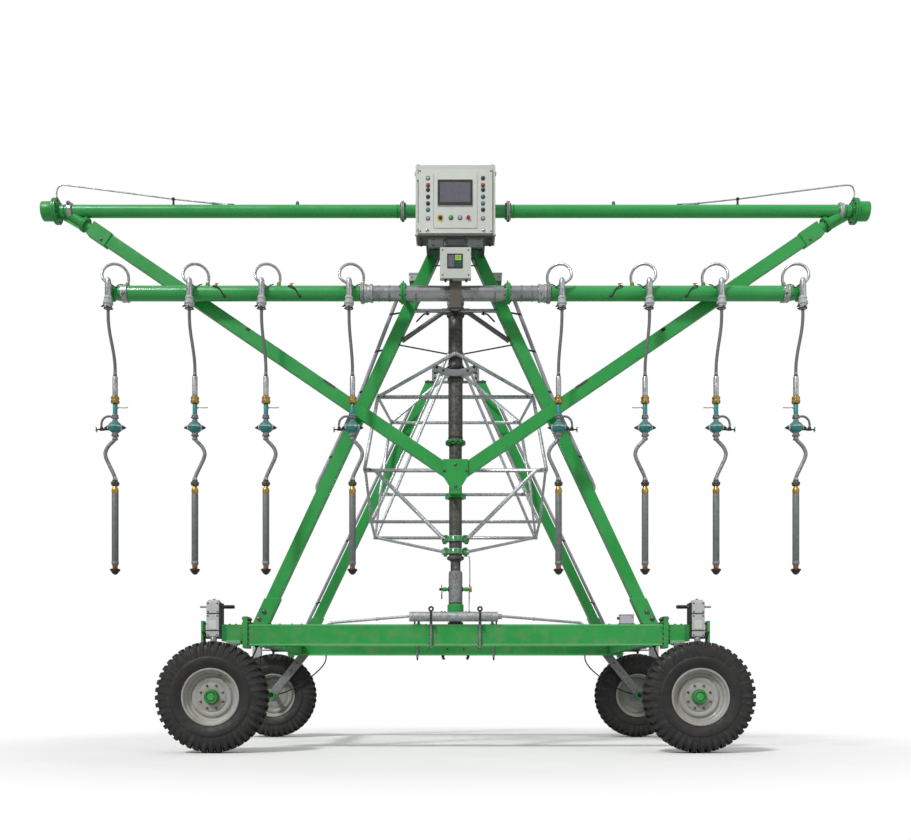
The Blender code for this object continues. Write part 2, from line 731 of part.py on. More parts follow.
def lower_boom(side, material):
    """Half of the low boom, with its flange, its tapered end and an outlet over each drop."""
    centre = Vector((0.0, LOWER_Y, LOWER_Z))
    ring = LOWER_HALF - TIP_RING_INSET
    profile = (
        (MANIFOLD_HALF + GAP, ROOT_CLAMP_RADIUS),
        (LOWER_ROOT - 0.04, ROOT_CLAMP_RADIUS),
        (LOWER_ROOT - 0.039, ROOT_FLANGE_RADIUS),
        (LOWER_ROOT, ROOT_FLANGE_RADIUS),
        (LOWER_ROOT + 0.001, LOWER_RADIUS),
        (ring, LOWER_RADIUS),
        (ring + 0.001, TIP_RING_RADIUS),
        (ring + TIP_RING_WIDTH, TIP_RING_RADIUS),
        (ring + TIP_RING_WIDTH + 0.001, LOWER_RADIUS),
        (LOWER_HALF - 0.03, LOWER_RADIUS),
        (LOWER_HALF + 0.02, LOWER_RADIUS * 0.7),
    )
    bodies = [turned(centre, (side, 0, 0), profile)]
    for place in DROP_X:
        bodies += gooseneck(side, place)
    start = (side * (MANIFOLD_HALF - 0.1), LOWER_Y, LOWER_Z)
    end = (side * (LOWER_HALF - 0.06), LOWER_Y, LOWER_Z)
    assemble(f"lower_boom_{side_name(side)}", material, bodies, [rod(start, end, LOWER_RADIUS - PIPE_WALL)])


def centre_manifold(material):
    """The galvanised middle of the low boom, hung on both front legs by its clamps."""
    centre = Vector((0.0, LOWER_Y, LOWER_Z))
    half = MANIFOLD_HALF
    ring = ((-half, LOWER_RADIUS), (half, LOWER_RADIUS))
    bodies = [turned(centre, (1, 0, 0), ring)]
    lean = (FRONT_FOOT_X - FRONT_HEAD_X) / (FRONT_HEAD_Z - BEAM_BOTTOM - BEAM_HEIGHT)
    hanger = FRONT_HEAD_X + lean * (FRONT_HEAD_Z - LOWER_Z)
    leg_face = -FRAME_Y - LEG_DEPTH / 2 - GAP
    for side in (-1, 1):
        x = side * hanger
        flange = ((-0.028, HANGER_FLANGE_RADIUS), (0.028, HANGER_FLANGE_RADIUS))
        bodies.append(turned((x, LOWER_Y, LOWER_Z), (1, 0, 0), flange))
        bodies.append(box((x - 0.03, x + 0.03), (LOWER_Y + 0.05, leg_face), (LOWER_Z - 0.06, LOWER_Z + 0.06)))
    inlet_y = COLUMN_Y - COLUMN_RADIUS - 0.05
    bodies.append(rod((0.0, LOWER_Y, LOWER_Z), (0.0, inlet_y, LOWER_Z), INLET_RADIUS))
    bodies.append(rod((0.0, inlet_y - INLET_FLANGE, LOWER_Z), (0.0, inlet_y, LOWER_Z), INLET_FLANGE_RADIUS))
    boss = rod((0.0, RISER_Y, LOWER_Z), (0.0, RISER_Y, RISER_FOOT_Z), 0.05, 10)
    bodies.append(boss)
    cuts = [
        rod((-half - 1.0, LOWER_Y, LOWER_Z), (half + 1.0, LOWER_Y, LOWER_Z), LOWER_RADIUS - PIPE_WALL),
        rod((0.0, LOWER_Y, LOWER_Z), (0.0, inlet_y + 1.0, LOWER_Z), INLET_RADIUS - PIPE_WALL),
    ]
    assemble("centre_manifold", material, bodies, cuts)


def centre_column(material):
    """The standpipe on the front beam, with its valve, flanges and the tee that feeds boom and span."""
    foot = BEAM_BOTTOM + BEAM_HEIGHT + GAP
    pipe = COLUMN_PIPE_RADIUS
    top = LOWER_Z + 0.1
    profile = (
        (foot, COLUMN_FOOT_RADIUS),
        (foot + COLUMN_FOOT_HEIGHT, COLUMN_FOOT_RADIUS),
        (foot + COLUMN_FOOT_HEIGHT + STEP, pipe),
        (foot + COLLAR_RISE - STEP, pipe),
        (foot + COLLAR_RISE, COLLAR_RADIUS),
        (foot + SLEEVE_RISE - STEP, COLLAR_RADIUS),
        (foot + SLEEVE_RISE, SLEEVE_RADIUS),
        (foot + COLUMN_NECK_RISE - STEP, SLEEVE_RADIUS),
        (foot + COLUMN_NECK_RISE, COLUMN_NECK_RADIUS),
        (foot + RING_RISE - STEP, COLUMN_NECK_RADIUS),
        (foot + RING_RISE, RING_RADIUS),
        (foot + RING_RISE + RING_HEIGHT, RING_RADIUS),
        (foot + RING_RISE + RING_HEIGHT + STEP, pipe),
        (foot + TOOTHED_RISE - STEP, pipe),
        (foot + TOOTHED_RISE, TOOTHED_RADIUS),
        (foot + TOOTHED_RISE + TOOTHED_HEIGHT, TOOTHED_RADIUS),
        (foot + TOOTHED_RISE + TOOTHED_HEIGHT + STEP, COLUMN_RADIUS),
        (top - 0.03, COLUMN_RADIUS),
        (top, 0.05),
    )
    inlet_y = COLUMN_Y - COLUMN_RADIUS - 0.05 + GAP
    outlet_y = SPAN_FRONT_Y - GAP
    valve_z = foot + VALVE_RISE
    knob = VALVE_REACH - VALVE_KNOB_LENGTH
    bodies = [
        turned((0.0, COLUMN_Y, 0.0), (0, 0, 1), profile, COLUMN_SIDES),
        rod((0.0, COLUMN_Y, LOWER_Z), (0.0, inlet_y, LOWER_Z), INLET_RADIUS),
        rod((0.0, inlet_y + INLET_FLANGE, LOWER_Z), (0.0, inlet_y, LOWER_Z), INLET_FLANGE_RADIUS),
        rod((0.0, COLUMN_Y, LOWER_Z), (0.0, outlet_y, LOWER_Z), INLET_RADIUS),
        rod((0.0, outlet_y - INLET_FLANGE, LOWER_Z), (0.0, outlet_y, LOWER_Z), SPAN_ROOT_FLANGE_RADIUS),
        rod((-knob, COLUMN_Y, valve_z), (knob, COLUMN_Y, valve_z), VALVE_RADIUS, 8),
        rod((-VALVE_REACH, COLUMN_Y, valve_z), (-knob, COLUMN_Y, valve_z), VALVE_KNOB_RADIUS, 8),
        rod((knob, COLUMN_Y, valve_z), (VALVE_REACH, COLUMN_Y, valve_z), VALVE_KNOB_RADIUS, 8),
    ]
    cuts = [
        rod((0.0, COLUMN_Y, foot + 0.08), (0.0, COLUMN_Y, LOWER_Z), NECK_BORE_RADIUS, COLUMN_SIDES),
        rod((0.0, inlet_y - 1.0, LOWER_Z), (0.0, outlet_y + 1.0, LOWER_Z), NECK_BORE_RADIUS),
    ]
    assemble("centre_column", material, bodies, cuts)


def span_height(y):
    """Height of the span pipe's axis, which climbs from the column and runs level over the rear saddle."""
    start = SPAN_FRONT_Y + SPAN_LEAD
    climb = min(1.0, (y - start) / (SPAN_LEVEL_Y - start))
    return LOWER_Z + (SPAN_REST_Z - LOWER_Z) * climb


def hanger_top(y):
    """Height of a truss hanger that meets the flat underside of the climbing span pipe."""
    start = SPAN_FRONT_Y + SPAN_LEAD
    slope = (SPAN_REST_Z - LOWER_Z) / (SPAN_LEVEL_Y - start)
    return span_height(y) - SPAN_RADIUS * math.hypot(1.0, slope) - slope * HANGER_HALF - GAP


def span_pipe(material):
    """The water pipe from the column back through the rear saddle to the coupling of the next span."""
    end_z = span_height(SPAN_LEVEL_Y)
    path = (
        (0.0, SPAN_FRONT_Y, LOWER_Z),
        (0.0, SPAN_FRONT_Y + 0.03, LOWER_Z),
        (0.0, SPAN_FRONT_Y + 0.031, LOWER_Z),
        (0.0, SPAN_FRONT_Y + SPAN_LEAD, LOWER_Z),
        (0.0, SPAN_LEVEL_Y, end_z),
        (0.0, SPAN_END_Y - 0.031, end_z),
        (0.0, SPAN_END_Y - 0.03, end_z),
        (0.0, SPAN_END_Y, end_z),
    )
    radii = (SPAN_ROOT_FLANGE_RADIUS,) * 2 + (SPAN_RADIUS,) * 4 + (SPAN_FLANGE_RADIUS,) * 2
    bore = (path[0], path[3], path[4], (0.0, SPAN_END_Y + 1.0, end_z))
    bore = ((0.0, SPAN_FRONT_Y - 1.0, LOWER_Z),) + bore[1:]
    cut = swept(bore, [SPAN_RADIUS - PIPE_WALL] * len(bore), PIPE_SIDES)
    assemble("span_pipe", material, [swept(path, radii, PIPE_SIDES)], [cut])


def rear_saddle(material):
    """The curved cradle that carries the span pipe on the heads of the rear legs."""
    rest = SPAN_REST_Z - SPAN_RADIUS - GAP
    reach = 0.36
    rise = 0.24
    thickness = 0.022
    depth = (FRAME_Y - 0.1, FRAME_Y + 0.1)
    loops = []
    steps = 10
    for step in range(steps + 1):
        x = reach * (2 * step / steps - 1)
        z = rest + rise * (x / reach) ** 2
        loops.append(
            [
                Vector((x, depth[0], z - thickness)),
                Vector((x, depth[1], z - thickness)),
                Vector((x, depth[1], z)),
                Vector((x, depth[0], z)),
            ]
        )
    bodies = [loft(loops)]
    for side in (-1, 1):
        x = sorted((side * 0.3, side * 0.345))
        bodies.append(box(x, (depth[0] + 0.04, depth[1] - 0.04), (REAR_HEAD_Z + 0.012, rest + 0.195)))
        foot = sorted((side * 0.28, side * 0.45))
        bodies.append(box(foot, (depth[0] + 0.03, depth[1] - 0.03), (REAR_HEAD_Z + GAP, REAR_HEAD_Z + 0.015)))
    tie = (REAR_HEAD_Z + 0.005, REAR_HEAD_Z + 0.035)
    bodies.append(box((-0.44, 0.44), (FRAME_Y - 0.02, FRAME_Y + 0.02), tie))
    assemble("rear_saddle", material, bodies)


def column_clamp(z):
    """A two-eared ring round the column, and the bore that clears it."""
    at = (0.0, COLUMN_Y, z - 0.03)
    ring = turned(at, (0, 0, 1), ((0.0, 0.1), (0.06, 0.1)), COLUMN_SIDES)
    ears = box((-0.16, 0.16), (COLUMN_Y + 0.015, COLUMN_Y + 0.06), (z - 0.03, z + 0.03))
    hole = ((-0.5, COLUMN_PIPE_RADIUS + GAP), (0.5, COLUMN_PIPE_RADIUS + GAP))
    return [ring, ears], turned((0.0, COLUMN_Y, z), (0, 0, 1), hole, COLUMN_SIDES)


def truss_front(material):
    """The front set of the truss: cross bars, posts, struts to the column and the two upper rails."""
    y = TRUSS_FRONT_Y
    low = FRONT_LOW_BAR_Z
    high = FRONT_HIGH_BAR_Z
    apex = (0.0, COLUMN_Y - COLUMN_RADIUS - 0.056, FRONT_APEX_Z)
    clamp, hole = column_clamp(FRONT_CLAMP_Z)
    bodies = [rod((-TRUSS_HALF, y, low), (TRUSS_HALF, y, low), TRUSS_RADIUS, TRUSS_SIDES)]
    bodies.append(rod((-TRUSS_UPPER_HALF, y, high), (TRUSS_UPPER_HALF, y, high), TRUSS_RADIUS, TRUSS_SIDES))
    bodies += clamp
    for side in (-1, 1):
        corner = (side * (TRUSS_UPPER_HALF - 0.01), y, high)
        foot = (side * (TRUSS_HALF - 0.01), y, low)
        rear_end = (side * (TRUSS_UPPER_HALF - 0.02), TRUSS_REAR_Y - TRUSS_RADIUS - 0.003, REAR_HIGH_BAR_Z)
        bodies.append(rod(corner, foot, TRUSS_RADIUS * 0.9, TRUSS_SIDES))
        ear = (side * CLAMP_EAR_X, COLUMN_Y + 0.04, FRONT_CLAMP_Z)
        bodies.append(rod((side * STRUT_ROOT_X, y, low), ear, TRUSS_RADIUS, TRUSS_SIDES))
        bodies.append(rod(corner, apex, TRUSS_RADIUS, TRUSS_SIDES))
        bodies.append(rod(corner, rear_end, TRUSS_ROD_RADIUS * 1.3, TRUSS_SIDES))
    assemble("truss_front", material, bodies, [hole])


def truss_rear(material):
    """The rear set of the truss, between the span pipe and the lower rails."""
    y = TRUSS_REAR_Y
    low = REAR_LOW_BAR_Z
    high = REAR_HIGH_BAR_Z
    top = hanger_top(y)
    apex_z = top - TRUSS_RADIUS
    bodies = [rod((-TRUSS_HALF, y, low), (TRUSS_HALF, y, low), TRUSS_RADIUS, TRUSS_SIDES)]
    bodies.append(rod((-TRUSS_UPPER_HALF, y, high), (TRUSS_UPPER_HALF, y, high), TRUSS_RADIUS, TRUSS_SIDES))
    bodies.append(box((-0.09, 0.09), (y - HANGER_HALF, y + HANGER_HALF), (apex_z - 0.03, top)))
    for side in (-1, 1):
        corner = (side * (TRUSS_UPPER_HALF - 0.01), y, high)
        bodies.append(rod(corner, (side * (TRUSS_HALF - 0.01), y, low), TRUSS_RADIUS * 0.9, TRUSS_SIDES))
        bodies.append(rod(corner, (side * 0.05, y, apex_z - 0.01), TRUSS_RADIUS, TRUSS_SIDES))
    assemble("truss_rear", material, bodies)


def truss_keel(material):
    """The sagging lower rails with the two middle sets of the truss."""
    clamp, hole = column_clamp(KEEL_CLAMP_Z)
    bodies = []
    front_end = (TRUSS_FRONT_Y + TRUSS_RADIUS + 0.003, FRONT_LOW_BAR_Z - 0.01)
    rear_end = (TRUSS_REAR_Y - TRUSS_RADIUS - 0.003, REAR_LOW_BAR_Z - 0.01)
    for side in (-1, 1):
        rail = [(side * TRUSS_HALF * 0.98, *place) for place in (front_end, *KEEL_STATIONS, rear_end)]
        bodies.append(swept(rail, [TRUSS_ROD_RADIUS * 1.3] * len(rail), TRUSS_SIDES))
        stay = (side * TRUSS_HALF * 0.96, *KEEL_STATIONS[1])
        ear = (side * CLAMP_EAR_X, COLUMN_Y + 0.04, KEEL_CLAMP_Z)
        bodies.append(rod(stay, ear, TRUSS_ROD_RADIUS * 1.3, TRUSS_SIDES))
    bodies += clamp
    for y, z in KEEL_STATIONS:
        top = hanger_top(y)
        bodies.append(rod((-TRUSS_HALF, y, z), (TRUSS_HALF, y, z), TRUSS_RADIUS * 0.9, TRUSS_SIDES))
        bodies.append(box((-0.08, 0.08), (y - HANGER_HALF, y + HANGER_HALF), (top - 0.07, top)))
        for side in (-1, 1):
            foot = (side * TRUSS_HALF * 0.97, y, z)
            bodies.append(rod(foot, (side * 0.045, y, top - 0.05), TRUSS_RADIUS * 0.8, TRUSS_SIDES))
    assemble("truss_keel", material, bodies, [hole])


def cabinet_bracket(material):
    """The stand between the front legs: it carries the cabinet, the meter box and the upper boom."""
    shelf = (CABINET_BOTTOM - GAP - 0.06, CABINET_BOTTOM - GAP)
    leg_face = -FRAME_Y - LEG_DEPTH / 2 - GAP
    front = CABINET_FRONT + 0.03
    post_back = LOWER_Y - LOWER_RADIUS - GAP
    bodies = [
        box((-0.33, 0.33), (front, -1.9), shelf),
        box((-0.31, 0.31), (front - 0.004, front + 0.03), (shelf[0] - 0.07, shelf[1] - 0.002)),
        box((-0.066, 0.066), (METER_BACK, post_back), (LOWER_Z - 0.21, shelf[0] + 0.02)),
    ]
    for side in (-1, 1):
        arm = sorted((side * 0.245, side * 0.329))
        post = sorted((side * 0.25, side * 0.3))
        bodies.append(box(arm, (-1.95, leg_face), (shelf[0] + 0.001, shelf[1] - 0.001)))
        boom_seat = UPPER_Z - UPPER_RADIUS - GAP
        bodies.append(box(post, (UPPER_Y - 0.05, UPPER_Y + 0.05), (shelf[0] + 0.02, boom_seat)))
    assemble("cabinet_bracket", material, bodies)


def spreader_tube(material):
    """The tube on top of the front beam, with its brackets, clamp rods and stays."""
    y = -FRAME_Y - 0.12
    beam_top = BEAM_BOTTOM + BEAM_HEIGHT + GAP
    z = beam_top + 0.086
    bodies = [rod((-0.53, y, z), (0.53, y, z), 0.057)]
    for side in (-1, 1):
        foot = sorted((side * 0.4, side * 0.45))
        bodies.append(box(foot, (y - 0.01, y + 0.09), (beam_top, z)))
        ring_x = side * 0.28
        bodies.append(rod((ring_x - 0.018, y, z), (ring_x + 0.018, y, z), 0.075))
        bodies.append(rod((ring_x, y, z + 0.1), (ring_x, y, BEAM_BOTTOM - 0.07), 0.012, 6))
        stay_end = (side * 1.33, y + 0.07, beam_top + 0.014)
        bodies.append(rod((side * 0.5, y, z + 0.02), stay_end, 0.012, 6))
        pad = sorted((side * 1.29, side * 1.35))
        bodies.append(box(pad, (y + 0.04, y + 0.1), (beam_top, beam_top + 0.02)))
    assemble("spreader_tube", material, bodies)


def cabinet_case(material):
    """The open-fronted steel case of the control cabinet, with the rim that the door closes on."""
    top = CABINET_BOTTOM + CABINET_HEIGHT
    wall = CABINET_WALL
    shell = box((-CABINET_HALF, CABINET_HALF), (CABINET_FRONT, CABINET_BACK), (CABINET_BOTTOM, top))
    inside = box(
        (-CABINET_HALF + wall, CABINET_HALF - wall),
        (CABINET_FRONT + wall, CABINET_BACK - wall),
        (CABINET_BOTTOM + wall, top - wall),
    )
    mouth = box(
        (-CABINET_HALF + CABINET_RIM, CABINET_HALF - CABINET_RIM),
        (CABINET_FRONT - 1.0, CABINET_FRONT + 0.1),
        (CABINET_BOTTOM + CABINET_RIM, top - CABINET_RIM - 0.02),
    )
    lug = [
        box((-0.03, 0.03), (CABINET_FRONT + 0.05, CABINET_FRONT + 0.08), (top - 0.01, top + 0.025)),
        box((-CABINET_HALF - 0.012, CABINET_HALF + 0.012), (CABINET_FRONT + 0.03, CABINET_FRONT + 0.06), (6.41, 6.44)),
    ]
    assemble("cabinet_case", material, [shell, *lug], [inside, mouth])


def cabinet_door(material):
    """The hinged door with its raised panel, screen bezel and lamp rows."""
    back = CABINET_FRONT - GAP
    face = back - DOOR_THICKNESS
    top = DOOR_BOTTOM + DOOR_HEIGHT
    raised = face - PANEL_RISE
    hinge = (-DOOR_HALF - 0.014, (back + face) / 2, 0.0)
    bodies = [
        box((-DOOR_HALF, DOOR_HALF), (face, back), (DOOR_BOTTOM, top)),
        box((-PANEL_HALF, PANEL_HALF), (raised, face + 0.004), (PANEL_BOTTOM, PANEL_TOP)),
        box((-0.2, 0.19), (raised - 0.01, raised + 0.004), (6.03, 6.32)),
    ]
    for low in (DOOR_BOTTOM + 0.04, top - 0.12):
        knuckle = (hinge[0], hinge[1], low)
        bodies.append(rod(knuckle, (hinge[0], hinge[1], low + 0.08), DOOR_THICKNESS / 2 - 0.0006, 8))
        bodies.append(box((hinge[0], -DOOR_HALF + 0.01), (face + 0.005, back - 0.005), (low + 0.01, low + 0.07)))
    pocket_end = raised + STOP_STEM_INSET + STOP_TRAVEL + GAP
    pocket_radius = STOP_STEM_RADIUS + STEM_CLEARANCE
    pocket = rod((STOP_X, pocket_end, KNOB_Z), (STOP_X, raised - GAP, KNOB_Z), pocket_radius, STEM_SIDES)
    assemble("cabinet_door", material, bodies, [pocket], pivot=hinge)


def panel_face():
    """Where the door's raised panel ends, in Y."""
    return CABINET_FRONT - GAP - DOOR_THICKNESS - PANEL_RISE


def panel_knobs(dark, red):
    """The rotary main switch and the stop button on the door's panel."""
    seat = panel_face() - GAP
    knob = ((0.0, KNOB_RADIUS), (KNOB_LENGTH * 0.8, KNOB_RADIUS), (KNOB_LENGTH, KNOB_RADIUS * 0.8))
    disc = turned((SWITCH_X, seat, KNOB_Z), (0, -1, 0), knob, 12)
    grip = box(
        (SWITCH_X - 0.006, SWITCH_X + 0.006),
        (seat - KNOB_LENGTH - SWITCH_GRIP, seat - KNOB_LENGTH * 0.6),
        (KNOB_Z - KNOB_RADIUS * 0.9, KNOB_Z + KNOB_RADIUS * 0.9),
    )
    assemble("main_switch", dark, [disc, grip], pivot=(SWITCH_X, seat, KNOB_Z))
    lift = STOP_TRAVEL
    stop = ((lift, KNOB_RADIUS), (lift + KNOB_LENGTH * 0.6, KNOB_RADIUS), (lift + KNOB_LENGTH, KNOB_RADIUS * 0.7))
    stem_end = panel_face() + STOP_STEM_INSET
    stem_top = seat - lift - 0.005
    stem = rod((STOP_X, stem_end, KNOB_Z), (STOP_X, stem_top, KNOB_Z), STOP_STEM_RADIUS, STEM_SIDES)
    head = turned((STOP_X, seat, KNOB_Z), (0, -1, 0), stop, 12)
    assemble("stop_button", red, [stem, head], pivot=(STOP_X, seat, KNOB_Z))


def meter_box(material):
    """The small box under the cabinet, with its window recess."""
    front = METER_BACK - GAP - METER_DEPTH
    z = (METER_BOTTOM, METER_BOTTOM + METER_HEIGHT)
    body = box((-METER_HALF, METER_HALF), (front, METER_BACK - GAP), z)
    window = box((-0.083, 0.083), (front - 1.0, front + 0.012), (METER_BOTTOM + 0.105, METER_BOTTOM + 0.265))
    assemble("meter_box", material, [body], [window])


def wheel_places():
    """The four corners: the frame's end, the side, and the words for both."""
    for place in (-1, 1):
        row = "front" if place < 0 else "rear"
        for side in (-1, 1):
            yield place, side, f"{row}_{side_name(side)}"


def wheels(rubber, steel):
    """Four tyres on their rims, each pair sharing one mesh and turning about its axle."""
    half = TYRE_WIDTH / 2
    seat = half * 0.73
    vertex = 1.0 / math.cos(math.pi / WHEEL_FACETS)
    tread = TYRE_RADIUS * vertex
    crown = tread - TYRE_WALL
    bead_top = BEAD_RADIUS + RIM_FLANGE + 0.004
    tyre_profile = (
        (-seat, BEAD_RADIUS),
        (-seat, bead_top),
        (-half, 0.45),
        (-half * 0.92, tread - 0.045),
        (-half * 0.6, tread),
        (half * 0.6, tread),
        (half * 0.92, tread - 0.045),
        (half, 0.45),
        (seat, bead_top),
        (seat, BEAD_RADIUS),
        (seat - 0.04, BEAD_RADIUS),
        (half * 0.7, crown),
        (-half * 0.7, crown),
        (-seat + 0.04, BEAD_RADIUS),
    )
    bore = AXLE_RADIUS + GAP
    barrel = BEAD_RADIUS - GAP
    flange = barrel + RIM_FLANGE
    rim_profile = (
        (-0.09, bore),
        (-0.09, HUB_RADIUS),
        (0.02, HUB_RADIUS),
        (0.02, barrel - RIM_WALL),
        (-seat - RIM_FLANGE, barrel - RIM_WALL),
        (-seat - RIM_FLANGE, flange),
        (-seat - GAP, flange),
        (-seat - GAP, barrel),
        (seat + GAP, barrel),
        (seat + GAP, flange),
        (seat + RIM_FLANGE, flange),
        (seat + RIM_FLANGE, barrel - RIM_WALL),
        (0.02 + DISC_THICKNESS, barrel - RIM_WALL),
        (0.02 + DISC_THICKNESS, HUB_RADIUS),
        (0.09, HUB_RADIUS),
        (0.09, bore),
    )
    tyre = assemble(
        "tyre_front_left", rubber, [turned((0, 0, 0), (0, -1, 0), tyre_profile, WHEEL_FACETS, True, TREAD_PHASE)]
    )
    rim = assemble(
        "rim_front_left", steel, [turned((0, 0, 0), (0, -1, 0), rim_profile, WHEEL_FACETS, True, TREAD_PHASE)]
    )
    for place, side, words in wheel_places():
        for first, stem in ((tyre, "tyre"), (rim, "rim")):
            item = first
            if (place, side) != (-1, -1):
                item = bpy.data.objects.new(f"{stem}_{words}", first.data)
                bpy.context.scene.collection.objects.link(item)
            item.location = (side * WHEEL_X, place * WHEEL_Y, TYRE_RADIUS)
            item.rotation_euler = (0.0, 0.0, 0.0 if place < 0 else math.pi)


def wheel_strut(place, side, words, material):
    """The strut from the beam's end to the wheel gearbox, with the axle that the rim turns on.

    The front ones hang from a plate under the stub, the rear ones lean from the beam's face.
    """
    beam_face = FRAME_Y + BEAM_DEPTH / 2 + GAP
    near = (beam_face, beam_face + STRUT_THICKNESS)
    strut_y = sorted((place * near[0], place * near[1]))
    hub = (side * WHEEL_X, TYRE_RADIUS)
    gear_y = sorted((place * (WHEEL_Y - TYRE_WIDTH / 2 - 0.02), place * (WHEEL_Y - TYRE_WIDTH / 2 - 0.02 - GEARBOX_DEPTH)))
    half = GEARBOX_SIZE / 2
    at = Vector((hub[0], place * (WHEEL_Y - TYRE_WIDTH / 2 - 0.03), hub[1]))
    outward = Vector((0.0, place, 0.0))
    reach = WHEEL_Y + 0.1 - abs(at.y)
    inner = at - outward * (GEARBOX_DEPTH + 0.015)
    bodies = [
        box((hub[0] - half, hub[0] + half), gear_y, (hub[1] - half, hub[1] + half)),
        rod(at, at + outward * reach, AXLE_RADIUS),
        rod(inner, at, 0.06, 10),
    ]
    if place < 0:
        head_x = BEAM_HALF + FLANGE_THICKNESS + FRONT_STRUT_HEAD
        plate_top = BEAM_BOTTOM + STUB_RISE - GAP
        plate_z = (plate_top - HEAD_PLATE_THICKNESS, plate_top)
        foot = (side * (WHEEL_X - FRONT_STRUT_LEAN), TYRE_RADIUS)
        bodies.append(bar((side * head_x, plate_z[0] + 0.01), foot, FRONT_STRUT_WIDTH, *strut_y))
        plate_x = sorted((side * (head_x - HEAD_PLATE_HALF), side * (head_x + HEAD_PLATE_HALF)))
        bodies.append(box(plate_x, (-near[1], -FRAME_Y + 0.07), plate_z))
    else:
        head_z = BEAM_BOTTOM + BEAM_HEIGHT * 0.7
        bodies.append(bar((side * STRUT_HEAD_X, head_z), hub, STRUT_WIDTH, *strut_y))
    assemble(f"wheel_strut_{words}", material, bodies)


def drive_box(side, material):
    """The upright gear box on the front beam's stub, with its shaft down to the wheel gearbox."""
    inner = STUB_END + GAP
    x = sorted((side * inner, side * (inner + DRIVE_WIDTH)))
    y = (-FRAME_Y - 0.1, -FRAME_Y - 0.1 + DRIVE_DEPTH)
    shaft_x = side * (WHEEL_X + 0.055)
    shaft_y = -FRAME_Y - 0.1
    gear_top = TYRE_RADIUS + GEARBOX_SIZE / 2 + GAP
    plate = sorted((side * (inner + DRIVE_WIDTH + 0.045), side * (inner + DRIVE_WIDTH + 0.07)))
    arm = sorted((side * (inner + DRIVE_WIDTH - 0.01), side * (inner + DRIVE_WIDTH + 0.06)))
    bodies = [
        box(x, y, (DRIVE_BOTTOM, DRIVE_TOP)),
        box((x[0] + 0.012, x[1] - 0.012), (y[0] + 0.012, y[1] - 0.012), (DRIVE_TOP - 0.01, DRIVE_TOP + 0.02)),
        rod((shaft_x, shaft_y, DRIVE_BOTTOM + 0.02), (shaft_x, shaft_y, gear_top), DRIVE_SHAFT_RADIUS, 8),
        box(plate, (y[0] + 0.02, y[1] - 0.02), (1.24, 1.503)),
        box(arm, (y[0] + 0.05, y[1] - 0.05), (1.33, 1.37)),
    ]
    hole = rod((x[0] - 1.0, -FRAME_Y - 0.02, LEVER_Z), (x[1] + 1.0, -FRAME_Y - 0.02, LEVER_Z), LEVER_RADIUS + GAP, 8)
    assemble(f"drive_box_{side_name(side)}", material, bodies, [hole])


def drive_lever(side, material):
    """The push-pull rod through the drive box, with its grip on the inner side."""
    inner = STUB_END + GAP
    outer = inner + DRIVE_WIDTH
    y = -FRAME_Y - 0.02
    grip_end = inner - LEVER_TRAVEL + 0.03 - LEVER_GRIP_LENGTH
    profile = (
        (grip_end, LEVER_GRIP_RADIUS * 0.8),
        (grip_end + 0.015, LEVER_GRIP_RADIUS),
        (grip_end + LEVER_GRIP_LENGTH, LEVER_GRIP_RADIUS),
        (grip_end + LEVER_GRIP_LENGTH + 0.001, LEVER_RADIUS),
        (outer + LEVER_TRAVEL + 0.01, LEVER_RADIUS),
        (outer + LEVER_TRAVEL + 0.011, LEVER_GRIP_RADIUS),
        (outer + LEVER_STUB, LEVER_GRIP_RADIUS),
    )
    body = turned((0.0, y, LEVER_Z), (side, 0, 0), profile, 8)
    assemble(f"drive_lever_{side_name(side)}", material, [body], pivot=(side * inner, y, LEVER_Z))


def drops():
    """The eight drops from left to right: number, side, place along the boom, bow and bulge direction."""
    order = [(-1, index) for index in (3, 2, 1, 0)] + [(1, index) for index in (0, 1, 2, 3)]
    bulges = (-1, 1, 1, 1, -1, -1, 1, 1)
    for number, ((side, index), bulge) in enumerate(zip(order, bulges), start=1):
        yield number, side, side * DROP_X[index], DROP_BOW[index], bulge


def drop_hose(number, side, x, bow, material):
    """The hose from the boom's elbow down to the sprayer body."""
    route = [(0.0, 0.0), (HOSE_TIP / HOSE_LENGTH_DOWN, 0.0), *HOSE_ROUTE[2::2]]
    curve = bpy.data.curves.new(f"drop_hose_{number}", "CURVE")
    curve.dimensions = "3D"
    curve.bevel_depth = HOSE_DIAMETER / 2
    curve.bevel_resolution = HOSE_SIDES_RESOLUTION
    curve.use_fill_caps = True
    spline = curve.splines.new("POLY")
    spline.points.add(len(route) - 1)
    for point, (down, sideways) in zip(spline.points, route):
        point.co = (-side * bow * sideways, 0.0, -GAP - down * HOSE_LENGTH_DOWN, 1.0)
    spline.points[0].radius = HOSE_TIP_SHARE
    curve.materials.append(material)
    item = bpy.data.objects.new(f"drop_hose_{number}", curve)
    item.location = (x, DROP_Y, HOSE_TOP)
    bpy.context.scene.collection.objects.link(item)


